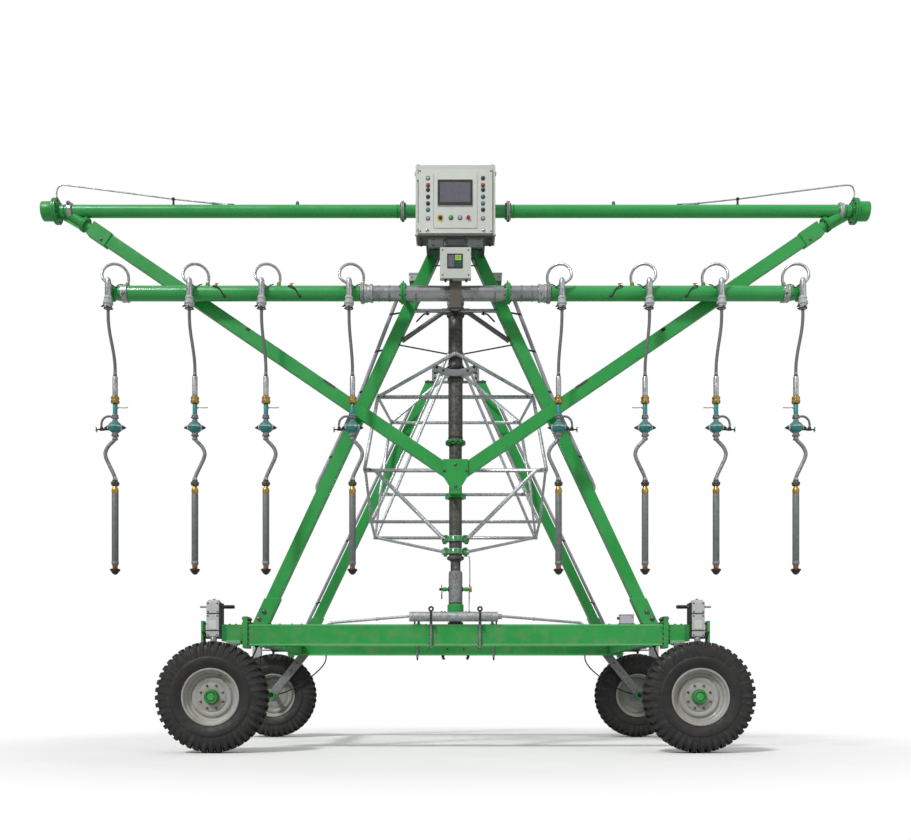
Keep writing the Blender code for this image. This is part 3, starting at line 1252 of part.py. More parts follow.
def sprayer_drop(number, side, x, bow, bulge, material):
    """The sprayer body on the hose's end, its curved pipe and its weighted foot."""
    centre = x - side * bow
    top = HOSE_TOP - 2 * GAP - HOSE_LENGTH_DOWN
    bend_top = SPRAYER_UPPER[-1][0]
    bend_bottom = SPRAYER_LOWER[0][0] - 0.02
    bend_radius = SPRAYER_LOWER[0][1]
    points = [(centre, DROP_Y, top - below) for below, _ in SPRAYER_UPPER]
    radii = [radius for _, radius in SPRAYER_UPPER]
    for step in range(1, SPRAYER_BEND_STEPS + 1):
        share = step / (SPRAYER_BEND_STEPS + 1)
        z = top - bend_top - (bend_bottom - bend_top) * share
        points.append((centre + bulge * SPRAYER_BEND * math.sin(math.pi * share) ** 2, DROP_Y, z))
        radii.append(bend_radius)
    points += [(centre, DROP_Y, top - below) for below, _ in SPRAYER_LOWER]
    radii += [radius for _, radius in SPRAYER_LOWER]
    nozzle_z = top - SIDE_NOZZLE_DROP
    ends = [(centre + reach, DROP_Y, nozzle_z) for reach in (-SIDE_NOZZLE_REACH, SIDE_NOZZLE_REACH)]
    bodies = [swept(points, radii, DROP_SIDES), rod(*ends, SIDE_NOZZLE_RADIUS, 6)]
    if number in LEVER_DROPS:
        lever_x = sorted((centre, centre - side * SHUT_OFF_LENGTH))
        lever_y = (DROP_Y - SHUT_OFF_WIDTH / 2, DROP_Y + SHUT_OFF_WIDTH / 2)
        lever_z = top - SHUT_OFF_DROP
        bodies.append(box(lever_x, lever_y, (lever_z - SHUT_OFF_THICKNESS / 2, lever_z + SHUT_OFF_THICKNESS / 2)))
    assemble(f"sprayer_drop_{number}", material, bodies, pivot=(x, DROP_Y, HOSE_TOP))


def build():
    """Model every piece of the irrigator."""
    clear_scene()
    green = finish("green_paint", (0.03, 0.38, 0.07), 0.38, 0.0)
    zinc = finish("galvanised_steel", (0.42, 0.43, 0.44), 0.45, 0.9)
    dark = finish("dark_steel", (0.16, 0.155, 0.14), 0.5, 0.7)
    rubber = finish("tyre_rubber", (0.03, 0.03, 0.033), 0.8, 0.0)
    rim = finish("rim_paint", (0.55, 0.55, 0.54), 0.45, 0.3)
    pale = finish("cabinet_paint", (0.6, 0.63, 0.59), 0.45, 0.0)
    black = finish("black_plastic", (0.03, 0.03, 0.03), 0.4, 0.0)
    red = finish("red_plastic", (0.45, 0.03, 0.02), 0.35, 0.0)
    hose = finish("hose_rubber", (0.14, 0.15, 0.15), 0.55, 0.0)
    base_beam("base_beam_front", -1, green)
    base_beam("base_beam_rear", 1, green)
    for side in (-1, 1):
        cross_beam(side, green)
        frame_leg(-1, side, green)
        frame_leg(1, side, green)
        diagonal_brace(side, green)
        lower_boom(side, green)
        drive_box(side, pale)
        drive_lever(side, black)
    gusset_plate(green)
    upper_boom(green)
    centre_manifold(zinc)
    centre_column(dark)
    span_pipe(dark)
    rear_saddle(zinc)
    truss_front(zinc)
    truss_rear(zinc)
    truss_keel(zinc)
    cabinet_bracket(dark)
    spreader_tube(zinc)
    cabinet_case(pale)
    cabinet_door(pale)
    panel_knobs(black, red)
    meter_box(pale)
    wheels(rubber, rim)
    for place, side, words in wheel_places():
        wheel_strut(place, side, words, zinc)
    for number, side, x, bow, bulge in drops():
        drop_hose(number, side, x, bow, hose)
        sprayer_drop(number, side, x, bow, bulge, zinc)


build()
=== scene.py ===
"""Looks of the lateral move irrigator: finishes, hoses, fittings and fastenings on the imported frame."""

import json
import math

import bmesh
import bpy
from mathutils import Matrix, Vector


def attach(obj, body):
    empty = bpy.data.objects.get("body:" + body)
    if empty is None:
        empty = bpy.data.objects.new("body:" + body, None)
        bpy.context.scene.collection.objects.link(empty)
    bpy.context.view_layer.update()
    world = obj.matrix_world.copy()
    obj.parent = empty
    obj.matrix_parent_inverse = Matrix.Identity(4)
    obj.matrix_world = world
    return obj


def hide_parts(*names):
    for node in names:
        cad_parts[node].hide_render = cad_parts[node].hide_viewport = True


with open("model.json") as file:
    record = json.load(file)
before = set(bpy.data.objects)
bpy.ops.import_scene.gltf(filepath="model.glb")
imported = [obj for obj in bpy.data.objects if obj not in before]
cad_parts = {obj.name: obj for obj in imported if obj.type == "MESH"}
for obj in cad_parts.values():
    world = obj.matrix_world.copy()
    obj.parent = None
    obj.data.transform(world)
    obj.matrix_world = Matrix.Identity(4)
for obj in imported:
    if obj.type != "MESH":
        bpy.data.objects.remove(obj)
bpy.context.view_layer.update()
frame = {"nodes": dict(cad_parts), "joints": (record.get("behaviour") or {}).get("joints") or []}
nodes = frame["nodes"]
joints = {joint["name"]: joint for joint in frame["joints"]}
LEFT, RIGHT = -1, 1
SIDES = (LEFT, RIGHT)
WORDS = {LEFT: "left", RIGHT: "right"}
X_AXIS, Y_AXIS, UP = Vector((1, 0, 0)), Vector((0, 1, 0)), Vector((0, 0, 1))
OUT = -Y_AXIS  # towards the front
CORNERS = ((-1, -1), (1, -1), (1, 1), (-1, 1))  # the ways to a rectangle's corners, in order round it


def srgb(red, green, blue):
    """A screen colour, 0 to 255 a channel, as the linear colour that a shader takes."""
    values = []
    for channel in (red, green, blue):
        share = channel / 255
        values.append(share / 12.92 if share <= 0.04045 else ((share + 0.055) / 1.055) ** 2.4)
    return (*values, 1.0)


def set_values(node, values):
    """Set a node's inputs by name."""
    for socket, value in values.items():
        node.inputs[socket].default_value = value


class Graph:
    """A node tree that is being wired."""

    def __init__(self, tree):
        self.tree = tree

    def node(self, kind, values=None, **settings):
        made = self.tree.nodes.new(kind)
        for key, value in settings.items():
            setattr(made, key, value)
        set_values(made, values or {})
        return made

    def link(self, source, target):
        self.tree.links.new(source, target)

    def through(self, source, kind, entry, out, values=None, **settings):
        """The output of a new node that a source is led into."""
        made = self.node(kind, values, **settings)
        self.link(source, made.inputs[entry])
        return made.outputs[out]

    def height(self, place):
        """The Z of a place."""
        return self.through(place, "ShaderNodeSeparateXYZ", "Vector", "Z")


class Finish(Graph):
    """A procedural material under construction."""

    def __init__(self, name, roughness=0.5, metallic=0.0, coat=0.0):
        self.material = bpy.data.materials.new(name)
        self.material.use_nodes = True
        super().__init__(self.material.node_tree)
        self.shader = self.tree.nodes["Principled BSDF"]
        set_values(self.shader, {"Roughness": roughness, "Metallic": metallic, "Coat Weight": coat})
        self.place = self.node("ShaderNodeTexCoord").outputs["Object"]

    def noise(self, scale, detail=4.0, stretch=(1.0, 1.0, 1.0), rough=0.55):
        """Clouds over the surface, which may be stretched along an axis."""
        where = self.through(self.place, "ShaderNodeMapping", "Vector", "Vector", {"Scale": stretch})
        values = {"Scale": scale, "Detail": detail, "Roughness": rough}
        return self.through(where, "ShaderNodeTexNoise", "Vector", "Fac", values)

    def ramp(self, source, start, end, low=0.0, high=1.0):
        """A source led smoothly from one value to another between two levels of it."""
        values = {"From Min": start, "From Max": end, "To Min": low, "To Max": high}
        kind = "ShaderNodeMapRange"
        return self.through(source, kind, "Value", "Result", values, interpolation_type="SMOOTHSTEP")

    def times(self, first, second):
        """Two sources multiplied; the second may be a number."""
        made = self.node("ShaderNodeMath", operation="MULTIPLY")
        self.link(first, made.inputs[0])
        if isinstance(second, float):
            made.inputs[1].default_value = second
        else:
            self.link(second, made.inputs[1])
        return made.outputs["Value"]

    def mix(self, share, first, second):
        """Two colours mixed, each a source or a screen colour."""
        made = self.node("ShaderNodeMix", data_type="RGBA")
        self.link(share, made.inputs["Factor"])
        colours = [socket for socket in made.inputs if socket.type == "RGBA"]
        for value, target in zip((first, second), colours):
            if isinstance(value, tuple):
                target.default_value = srgb(*value)
            else:
                self.link(value, target)
        return [socket for socket in made.outputs if socket.type == "RGBA"][0]

    def done(self, colour, rough, grain, strength, distance):
        """Lead colour, roughness and grain into the shader, and hand over the material."""
        values = {"Strength": strength, "Distance": distance}
        normal = self.through(grain, "ShaderNodeBump", "Height", "Normal", values)
        for source, socket in ((colour, "Base Color"), (rough, "Roughness"), (normal, "Normal")):
            self.link(source, self.shader.inputs[socket])
        return self.material


def enamel(name, base, worn, roughness=0.35, dust=0.5, coat=0.15, grain=220.0):
    """Sprayed paint: soft fading, rain streaks, a little grime and soil dust near the ground."""
    made = Finish(name, roughness, coat=coat)
    fade = made.ramp(made.noise(1.7), 0.35, 0.68)
    colour = made.mix(made.times(fade, 0.55), base, worn)
    streaks = made.ramp(made.noise(2.2, 5.0, (9.0, 9.0, 0.6)), 0.56, 0.74)
    colour = made.mix(made.times(streaks, 0.3), colour, worn)
    low = made.ramp(made.height(made.place), 2.4, 0.2)
    soil = made.times(low, made.ramp(made.noise(7.0, 6.0), 0.42, 0.72, 0.0, dust))
    colour = made.mix(soil, colour, (150, 138, 118))
    specks = made.ramp(made.noise(60.0, 3.0), 0.7, 0.78, 0.0, 0.35)
    rough = made.ramp(made.noise(5.0, 5.0), 0.3, 0.75, roughness - 0.07, roughness + 0.16)
    return made.done(made.mix(specks, colour, worn), rough, made.noise(grain, 2.0), 0.12, 0.0006)


def galvanised(name, light, dark, metallic=0.55, roughness=0.42, spangle=55.0):
    """Hot-dip zinc: crystal spangle, cloudy patches and pale run marks."""
    made = Finish(name, roughness, metallic)
    cells = made.through(made.place, "ShaderNodeTexVoronoi", "Vector", "Color", {"Scale": spangle})
    grains = made.node("ShaderNodeSeparateColor")
    made.link(cells, grains.inputs["Color"])
    colour = made.mix(grains.outputs["Red"], dark, light)
    clouds = made.ramp(made.noise(3.2, 6.0), 0.4, 0.7, 0.0, 0.55)
    colour = made.mix(clouds, colour, light)
    runs = made.ramp(made.noise(3.0, 5.0, (8.0, 8.0, 0.7)), 0.6, 0.75, 0.0, 0.35)
    rough = made.ramp(grains.outputs["Green"], 0.0, 1.0, roughness - 0.08, roughness + 0.12)
    return made.done(made.mix(runs, colour, dark), rough, made.noise(90.0, 3.0), 0.15, 0.0008)


def bare_metal(name, base, dark, roughness=0.32, metallic=0.9, scale=35.0):
    """Machined or cast metal with tarnish in patches and fine grain."""
    made = Finish(name, roughness, metallic)
    tarnish = made.ramp(made.noise(scale, 6.0), 0.42, 0.68, 0.0, 0.7)
    rough = made.ramp(made.noise(scale * 2, 4.0), 0.3, 0.7, roughness - 0.08, roughness + 0.18)
    return made.done(made.mix(tarnish, base, dark), rough, made.noise(scale * 12, 2.0), 0.1, 0.0004)


def rubber(name, base, dusty, roughness=0.75, scale=9.0, grain=260.0, share=0.6):
    """Weathered rubber with dust in its pores."""
    made = Finish(name, roughness)
    bloom = made.ramp(made.noise(scale, 7.0, rough=0.65), 0.4, 0.7, 0.0, share)
    rough = made.ramp(made.noise(scale * 3, 4.0), 0.3, 0.7, roughness - 0.1, min(1.0, roughness + 0.12))
    return made.done(made.mix(bloom, base, dusty), rough, made.noise(grain, 3.0), 0.25, 0.001)


def moulding(name, base, worn, roughness=0.38, coat=0.1, scale=25.0):
    """Moulded plastic: even colour, faint mottling and a fine grain."""
    made = Finish(name, roughness, coat=coat)
    colour = made.mix(made.ramp(made.noise(scale, 4.0), 0.4, 0.7, 0.0, 0.5), base, worn)
    rough = made.ramp(made.noise(scale * 4, 3.0), 0.3, 0.7, roughness - 0.05, roughness + 0.1)
    return made.done(colour, rough, made.noise(400.0, 2.0), 0.08, 0.0003)


FINISH = {
    "green": enamel("green_enamel", (34, 154, 66), (54, 166, 82), 0.36),
    "green_dark": enamel("green_enamel_shaded", (24, 122, 52), (36, 138, 66), 0.4),
    # The lighter green enamel below is a painted highlight, used on the beams' lips.
    "green_painted_highlight": enamel("green_enamel_painted_highlight", (78, 186, 104), (104, 196, 124), 0.36),
    "post": enamel("post_enamel", (98, 94, 84), (78, 74, 66), 0.45, 0.3),
    "green_pale": enamel("green_enamel_faded", (120, 178, 130), (160, 196, 160), 0.45),
    "cabinet": enamel("cabinet_powder_coat", (203, 208, 201), (188, 194, 186), 0.42, 0.2),
    "panel": enamel("panel_powder_coat", (212, 217, 210), (196, 202, 194), 0.4, 0.2),
    "drive": enamel("drive_box_enamel", (196, 197, 198), (176, 177, 178), 0.42, 0.35),
    "lilac": enamel("junction_box_enamel", (196, 194, 206), (178, 176, 190), 0.42, 0.3),
    "rim": enamel("rim_enamel", (168, 169, 165), (132, 132, 126), 0.44, 0.75),
    "zinc": galvanised("hot_dip_zinc", (190, 194, 197), (150, 154, 158)),
    "pipe_steel": bare_metal("polished_pipe", (178, 181, 183), (136, 139, 140), 0.2, 0.85, 6.0),
    "pipe_green": enamel("green_pipe_enamel", (40, 160, 76), (56, 170, 88), 0.26, 0.4, 0.4),
    "truss_zinc": galvanised("truss_zinc", (214, 218, 220), (168, 172, 176), 0.65, 0.34),
    "strut_steel": enamel("grey_strut_enamel", (104, 107, 112), (84, 87, 92), 0.34, 0.3),
    "zinc_dull": galvanised("weathered_zinc", (158, 160, 162), (116, 119, 122), 0.5, 0.5),
    "column": galvanised("weathered_steel_pipe", (102, 102, 95), (66, 66, 62), 0.5, 0.5, 30.0),
    "dark": bare_metal("blackened_steel", (60, 60, 60), (34, 34, 35), 0.5, 0.6),
    "bolt": bare_metal("plated_bolt", (120, 122, 122), (60, 62, 62), 0.35, 0.85),
    "steel": bare_metal("bright_steel", (196, 198, 200), (140, 143, 146), 0.3, 0.8),
    "brass": bare_metal("brass", (196, 164, 88), (134, 104, 48), 0.33, 0.85),
    "copper": bare_metal("copper", (186, 118, 78), (120, 70, 44), 0.35, 0.85),
    "teal": moulding("teal_moulding", (38, 132, 132), (62, 150, 146)),
    "nylon": moulding("grey_moulding", (186, 189, 188), (160, 164, 163), 0.45),
    "tube": moulding("drop_tube", (112, 116, 116), (88, 92, 92), 0.45),
    "black": moulding("black_moulding", (34, 35, 36), (54, 55, 56), 0.45),
    "red": moulding("red_moulding", (186, 34, 30), (150, 26, 24), 0.35),
    "yellow": moulding("yellow_moulding", (226, 190, 52), (196, 160, 40), 0.35),
    "slate": enamel("bracket_enamel", (92, 100, 98), (74, 80, 78), 0.42, 0.3),
    "slate_dark": enamel("bracket_enamel_shaded", (58, 66, 66), (44, 50, 50), 0.42, 0.3),
    "screen": moulding("screen_glass", (104, 102, 112), (92, 90, 100), 0.12, 0.6),
    "display": moulding("lit_display", (168, 214, 78), (150, 198, 66), 0.2, 0.4),
    "teal_dark": moulding("dark_teal_keys", (24, 84, 70), (18, 66, 58), 0.25, 0.4),
    "blue": moulding("blue_moulding", (58, 96, 168), (46, 78, 140), 0.35),
    "lamp_green": moulding("green_moulding", (66, 156, 78), (50, 128, 62), 0.3),
    "motor": enamel("motor_enamel", (176, 166, 164), (146, 132, 130), 0.5, 0.4),
    "tyre": rubber("tyre_tread_rubber", (34, 35, 35), (68, 66, 62)),
    "tyre_wall": rubber("tyre_wall_rubber", (32, 32, 33), (60, 56, 48), 0.62, 5.0, 180.0, 0.5),
    "hose": rubber("hose_rubber", (98, 104, 102), (126, 130, 126), 0.5, 20.0, 500.0, 0.4),
    "cable": rubber("cable_sheath", (30, 30, 31), (56, 55, 53), 0.55, 20.0, 400.0, 0.4),
    "grey_cable": rubber("grey_conduit", (162, 160, 172), (180, 178, 186), 0.4, 12.0, 300.0, 0.5)
}
USUAL_SLOTS = {
    "green_paint": ("green", "green_dark", "green_painted_highlight", "green_pale", "pipe_green"),
    "galvanised_steel": ("zinc", "zinc_dull", "pipe_steel", "steel"),
    "dark_steel": ("dark", "bolt", "column", "post", "slate", "slate_dark", "strut_steel"),
    "cabinet_paint": ("drive", "lilac", "motor", "panel", "yellow"),
    "black_plastic": ("black", "cable", "grey_cable", "screen"),
    "fittings": ("brass", "copper", "nylon", "teal", "tube"),
    "rim_paint": ("rim",),
    "tyre_rubber": ("tyre", "tyre_wall"),
    "hose_rubber": ("hose",)
}
SLOT_OF = {finish: slot for slot, finishes in USUAL_SLOTS.items() for finish in finishes}


def span(side, near, far):
    """Two distances from the middle plane as rising X values on one side."""
    return sorted((side * near, side * far))


def about(middle, half):
    """The two values at the same distance below and above a middle one."""
    return (middle - half, middle + half)


def break_edges(item, width, sharp):
    """Bevel the edges that turn by more than an angle in degrees."""
    edge = item.modifiers.new("edge", "BEVEL")
    edge.width = width
    edge.segments = 2
    edge.limit_method = "ANGLE"
    edge.angle_limit = math.radians(sharp)


def circle(count, phase=0.0):
    """Cosine and sine of equal steps round a circle."""
    angles = [(index + phase) * math.tau / count for index in range(count)]
    return [(math.cos(angle), math.sin(angle)) for angle in angles]


def placed(points):
    """Points as vectors."""
    return [Vector(point) for point in points]


def smooth_path(points, steps=4):
    """Points on a smooth curve through the given ones."""
    points = placed(points)
    ends = [2 * points[0] - points[1], *points, 2 * points[-1] - points[-2]]
    path = []
    for index in range(len(points) - 1):
        a, b, c, d = ends[index : index + 4]
        # weights of the square and the cube of the way along the stretch
        bend, swing = 2 * a - 5 * b + 4 * c - d, 3 * b - a - 3 * c + d
        for step in range(steps):
            t = step / steps
            path.append(0.5 * (2 * b + (c - a) * t + bend * t**2 + swing * t**3))
    return [*path, points[-1]]


class Shape:
    """Closed bodies gathered into one piece."""

    def __init__(self):
        self.mesh = bmesh.new()

    def loft(self, rings, closed=False):
        """A skin through rings of equally many points, with flat ends unless it closes on itself."""
        rows = [[self.mesh.verts.new(point) for point in ring] for ring in rings]
        pairs = list(zip(rows, rows[1:]))
        if closed:
            pairs.append((rows[-1], rows[0]))
        made = []
        for first, second in pairs:
            for index in range(len(first)):
                after = (index + 1) % len(first)
                made.append(self.mesh.faces.new((first[index], first[after], second[after], second[index])))
        if not closed:
            made.append(self.mesh.faces.new(rows[0]))
            made.append(self.mesh.faces.new(rows[-1]))
        bmesh.ops.recalc_face_normals(self.mesh, faces=made)
        return self

    def block(self, x, y, z, turn=0.0, pivot=None):
        """A box between two values on each axis, turned by an angle about +Y at the pivot."""
        corners = ((x[0], y[0]), (x[1], y[0]), (x[1], y[1]), (x[0], y[1]))
        rings = [[Vector((a, b, level)) for a, b in corners] for level in z]
        if turn:
            centre = Vector(pivot) if pivot else Vector((sum(x) / 2, sum(y) / 2, sum(z) / 2))
            spin = Matrix.Rotation(turn, 3, "Y")
            rings = [[centre + spin @ (point - centre) for point in ring] for ring in rings]
        return self.loft(rings)

    def prism(self, outline, y):
        """An outline in X and Z between two Y values."""
        return self.loft([[Vector((a, depth, b)) for a, b in outline] for depth in y])

    def turned(self, origin, direction, profile, sides=40, closed=False, phase=0.0):
        """A lathe form: distances along the direction, each with its radius."""
        origin = Vector(origin)
        direction = Vector(direction).normalized()
        turn = direction.to_track_quat("Z", "Y")
        rings = []
        for along, radius in profile:
            flat = [Vector((radius * a, radius * b, 0.0)) for a, b in circle(sides, phase)]
            rings.append([origin + direction * along + turn @ point for point in flat])
        return self.loft(rings, closed)

    def rod(self, start, end, radius, sides=20):
        run = Vector(end) - Vector(start)
        return self.turned(start, run, ((0.0, radius), (run.length, radius)), sides)

    def tube(self, points, radius, sides=14):
        """A round tube through points, free of twist; the radius may be one for each point."""
        points = placed(points)
        radii = radius if isinstance(radius, (list, tuple)) else [radius] * len(points)
        runs = [(after - before).normalized() for before, after in zip(points, points[1:])]
        tangents = [runs[0]] + [(a + b).normalized() for a, b in zip(runs, runs[1:])] + [runs[-1]]
        turn = tangents[0].to_track_quat("Z", "Y")
        previous = tangents[0]
        rings = []
        for point, tangent, size in zip(points, tangents, radii):
            turn = previous.rotation_difference(tangent) @ turn
            previous = tangent
            rings.append([point + turn @ Vector((size * a, size * b, 0.0)) for a, b in circle(sides)])
        return self.loft(rings)

    def bar(self, start, end, width, y):
        """A straight flat bar in the XZ plane with square ends, between two Y values."""
        start, end = Vector((start[0], 0.0, start[1])), Vector((end[0], 0.0, end[1]))
        run = (end - start).normalized()
        across = Vector((-run.z, 0.0, run.x)) * width / 2
        outline = [start - across, start + across, end + across, end - across]
        return self.loft([[point + Vector((0.0, depth, 0.0)) for point in outline] for depth in y])

    def bolt(self, at, direction, size=0.012, washer=True):
        """A hexagon head with its washer; size is half the head's width."""
        if washer:
            self.turned(at, direction, ((-0.002, size * 1.35), (size * 0.18, size * 1.35)), 20)
        profile = ((0.0, size), (size * 0.75, size), (size * 0.85, size * 0.82), (size * 0.95, size * 0.6))
        return self.turned(at, direction, profile, 6)

    def piece(self, name, finish, body="frame", slot=None, bevel=0.0, sharp=38.0, replaces=()):
        """Put the gathered bodies into the scene as one named piece; a slot, its finish's usual one unless
        one is given, is looked up but not stored.
        """
        data = bpy.data.meshes.new(name)
        self.mesh.to_mesh(data)
        self.mesh.free()
        item = bpy.data.objects.new(name, data)
        bpy.context.scene.collection.objects.link(item)
        data.materials.append(FINISH[finish])
        data.shade_smooth()
        if bevel:
            break_edges(item, bevel, sharp)
            item.modifiers.new("shading", "WEIGHTED_NORMAL")
        else:
            data.set_sharp_from_angle(angle=math.radians(sharp))
        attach(item, body)
        if slot is None:
            slot = SLOT_OF[finish]
        if replaces:
            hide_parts(*replaces)
        return item


FOCAL_LENGTH = 40.54  # mm, on a sensor 36 mm wide
EYE = (0.0, -13.47, 0.6975)
HORIZON_ROW = 690.5
FRAME_SIZE = (911, 840)


def set_camera():
    """The photograph's level view, shifted up."""
    data = bpy.data.cameras.new("photo_view")
    data.lens = FOCAL_LENGTH
    data.shift_y = (HORIZON_ROW - FRAME_SIZE[1] / 2) / FRAME_SIZE[0]
    camera = bpy.data.objects.new("photo_view", data)
    bpy.context.scene.collection.objects.link(camera)
    camera.location = EYE
    camera.rotation_euler = (math.radians(90), 0.0, 0.0)
    bpy.context.scene.camera = camera
    bpy.context.scene.view_settings.view_transform = "Standard"


def set_world(low=0.26, high=0.66):
    """A pale sky, brighter overhead, for the object; plain white where the camera sees it."""
    world = bpy.data.worlds.new("studio")
    world.use_nodes = True
    bpy.context.scene.world = world
    graph = Graph(world.node_tree)
    background = graph.tree.nodes["Background"]
    background.inputs["Color"].default_value = (1.0, 1.0, 1.0, 1.0)
    rays = graph.node("ShaderNodeLightPath").outputs
    seen = graph.node("ShaderNodeMath", operation="MAXIMUM")
    graph.link(rays["Is Camera Ray"], seen.inputs[0])
    graph.link(rays["Is Transmission Ray"], seen.inputs[1])
    height = graph.height(graph.node("ShaderNodeTexCoord").outputs["Generated"])
    shades = {"From Min": -0.1, "To Min": low, "To Max": high}
    sky = graph.through(height, "ShaderNodeMapRange", "Value", "Result", shades)
    level = graph.node("ShaderNodeMapRange")
    graph.link(sky, level.inputs["To Min"])
    graph.link(seen.outputs[0], level.inputs["Value"])
    graph.link(level.outputs["Result"], background.inputs["Strength"])


def set_lights():
    """A soft sun from the upper left front, and a wide fill from the right."""
    sun = bpy.data.lights.new("key", "SUN")
    sun.energy = 2.0
    sun.angle = math.radians(9)
    key = bpy.data.objects.new("key", sun)
    key.rotation_euler = Vector((-0.42, -0.62, 0.72)).to_track_quat("Z", "Y").to_euler()
    fill = bpy.data.lights.new("fill", "AREA")
    fill.energy = 200
    fill.size = 9.0
    wide = bpy.data.objects.new("fill", fill)
    wide.location = (11.0, -10.0, 7.0)
    wide.rotation_euler = (wide.location - Vector((0.0, 0.0, 3.0))).to_track_quat("Z", "Y").to_euler()
    for lamp in (key, wide):
        bpy.context.scene.collection.objects.link(lamp)


def make_floor(half=60.0):
    """A pale floor that keeps the shadow near the object and fades to white further off."""
    made = Finish("studio_floor", 0.9)
    rays = made.node("ShaderNodeLightPath")
    shown = made.mix(made.ramp(made.noise(0.8, 3.0), 0.3, 0.7), (247, 247, 246), (244, 244, 244))
    colour = made.mix(rays.outputs["Is Camera Ray"], (176, 177, 174), shown)
    made.link(colour, made.shader.inputs["Base Color"])
    distance = made.through(made.place, "ShaderNodeVectorMath", 0, "Value", operation="LENGTH")
    blend = made.node("ShaderNodeMixShader")
    share = made.times(made.ramp(distance, 4.6, 7.2), rays.outputs["Is Camera Ray"])
    glow = made.node("ShaderNodeEmission").outputs["Emission"]
    for source, entry in ((share, "Fac"), (made.shader.outputs["BSDF"], 1), (glow, 2)):
        made.link(source, blend.inputs[entry])
    made.link(blend.outputs["Shader"], made.tree.nodes["Material Output"].inputs["Surface"])
    data = bpy.data.meshes.new("studio_floor")
    data.from_pydata(
        [(-half, -half, 0), (half, -half, 0), (half, half, 0), (-half, half, 0)], [], [(0, 1, 2, 3)]
    )
    floor = bpy.data.objects.new("studio_floor", data)
    bpy.context.scene.collection.objects.link(floor)
    data.materials.append(made.material)


def keep_node(name, finish, bevel=0.0, sharp=30.0):
    """Show a CAD node with its own finish; its shading is smoothed and its edges broken by modifiers."""
    item = nodes[name]
    item.data.materials.clear()
    item.data.materials.append(FINISH[finish])
    item.data.shade_smooth()
    weld = item.modifiers.new("weld", "WELD")
    weld.merge_threshold = 0.00005
    if bevel:
        break_edges(item, bevel, sharp)
    shading = item.modifiers.new("shading", "WEIGHTED_NORMAL")
    shading.keep_sharp = True


def finish_kept_nodes():
    """The nodes that are shown as their solids are."""
    for name in nodes:
        if name.startswith(("base_beam", "cross_beam", "leg_", "brace_")):
            keep_node(name, "green", 0.004)
    for name in ("truss_front", "truss_rear", "truss_keel"):
        keep_node(name, "truss_zinc")
    # The span pipe takes the blackened steel finish as painted shade: only its shaded underside shows.
    keep_node("span_pipe", "dark")
    keep_node("gusset_plate", "green", 0.002)
    keep_node("cabinet_case", "cabinet", 0.003)
    keep_node("cabinet_door", "panel", 0.003)
    keep_node("meter_box", "cabinet", 0.004)
    keep_node("stop_button", "red", 0.001)


HOSE_DROP = 0.737  # from the ribbed fitting to the connector
HOSE_DIAMETER = 0.035
HOSE_GAP = 0.0003
HOSE_TIP = 0.002  # the hose's top is a shallow cone this high
HOSE_TIP_SHARE = 0.1
BOWS = (0.038, 0.049, 0.062, 0.078)  # sideways reach of each hose, from the middle outwards
# share of the drop, share of the bow
HOSE_ROUTE = (
    (0.0, 0.0), (0.07, 0.0), (0.14, 0.01), (0.21, 0.05), (0.28, 0.12), (0.36, 0.23), (0.43, 0.35),
    (0.5, 0.48), (0.57, 0.61), (0.64, 0.73), (0.72, 0.85), (0.79, 0.93), (0.86, 0.98), (0.93, 1.0),
    (1.0, 1.0)
)
DROPS = range(1, 9)


def outlet_of(drop):
    """Where a drop hose leaves its fitting, which its joint turns about."""
    return Vector(joints[f"drop_sway_{drop}"]["pos_m"])


def side_of(drop):
    """The side of the middle plane that a drop hangs on."""
    return RIGHT if outlet_of(drop).x > 0 else LEFT


def bow_of(drop):
    """How far a drop's hose bows; the two middle drops are 4 and 5."""
    return BOWS[drop - 5] if drop > 4 else BOWS[4 - drop]


def sprayer_axis(drop):
    """The plumb line of a sprayer: the X and Y at which the hose hands over to it."""
    outlet = outlet_of(drop)
    return outlet.x - side_of(drop) * bow_of(drop), outlet.y


def hose_points(drop):
    """The hose's points from its outlet down, before they are smoothed."""
    outlet = outlet_of(drop)
    reach = side_of(drop) * bow_of(drop)
    top = outlet.z - HOSE_GAP
    return [
        Vector((outlet.x - reach * sway, outlet.y, top - down * HOSE_DROP)) for down, sway in HOSE_ROUTE
    ]


def hose(drop):
    """A drop hose as a smooth tube; its open length hangs between fitting and connector."""
    path = smooth_path(hose_points(drop), 6)
    path.insert(1, path[0] - Vector((0.0, 0.0, HOSE_TIP)))
    radii = [HOSE_DIAMETER / 2] * len(path)
    radii[0] *= HOSE_TIP_SHARE
    piece = Shape().tube(path, radii, 24).piece(
        f"hose_{drop}", "hose", f"drop_{drop}", replaces=[f"drop_hose_{drop}"]
    )
    length = sum((after - before).length for before, after in zip(path, path[1:]))
    return piece, path, length


WHEELS = ("front_left", "front_right", "rear_left", "rear_right")
# half of the carcass from bead to crown: distance from the middle plane, radius
TYRE_WALL = (
    (0.117, 0.3055), (0.121, 0.318), (0.128, 0.335), (0.143, 0.36), (0.154, 0.4), (0.1555, 0.43),
    (0.1535, 0.444), (0.15, 0.447), (0.1485, 0.452), (0.15, 0.47), (0.1495, 0.5), (0.145, 0.54),
    (0.133, 0.575), (0.11, 0.59), (0.06, 0.594)
)
CROWN_RADIUS = 0.595
LUGS = 44
LUG_SHARE = 0.6
LUG_SKEW = 0.035
LUG_ROOT = 0.012  # how far a lug is sunk into the carcass
LUG_TOP_SHARE = 0.86  # a lug's width at its top, against its foot
LUG_SPLAY = 0.35  # how far a lug leans outwards on the shoulder, against its height
SHOULDER = 0.14  # the tyre's shoulder begins this far from its middle plane
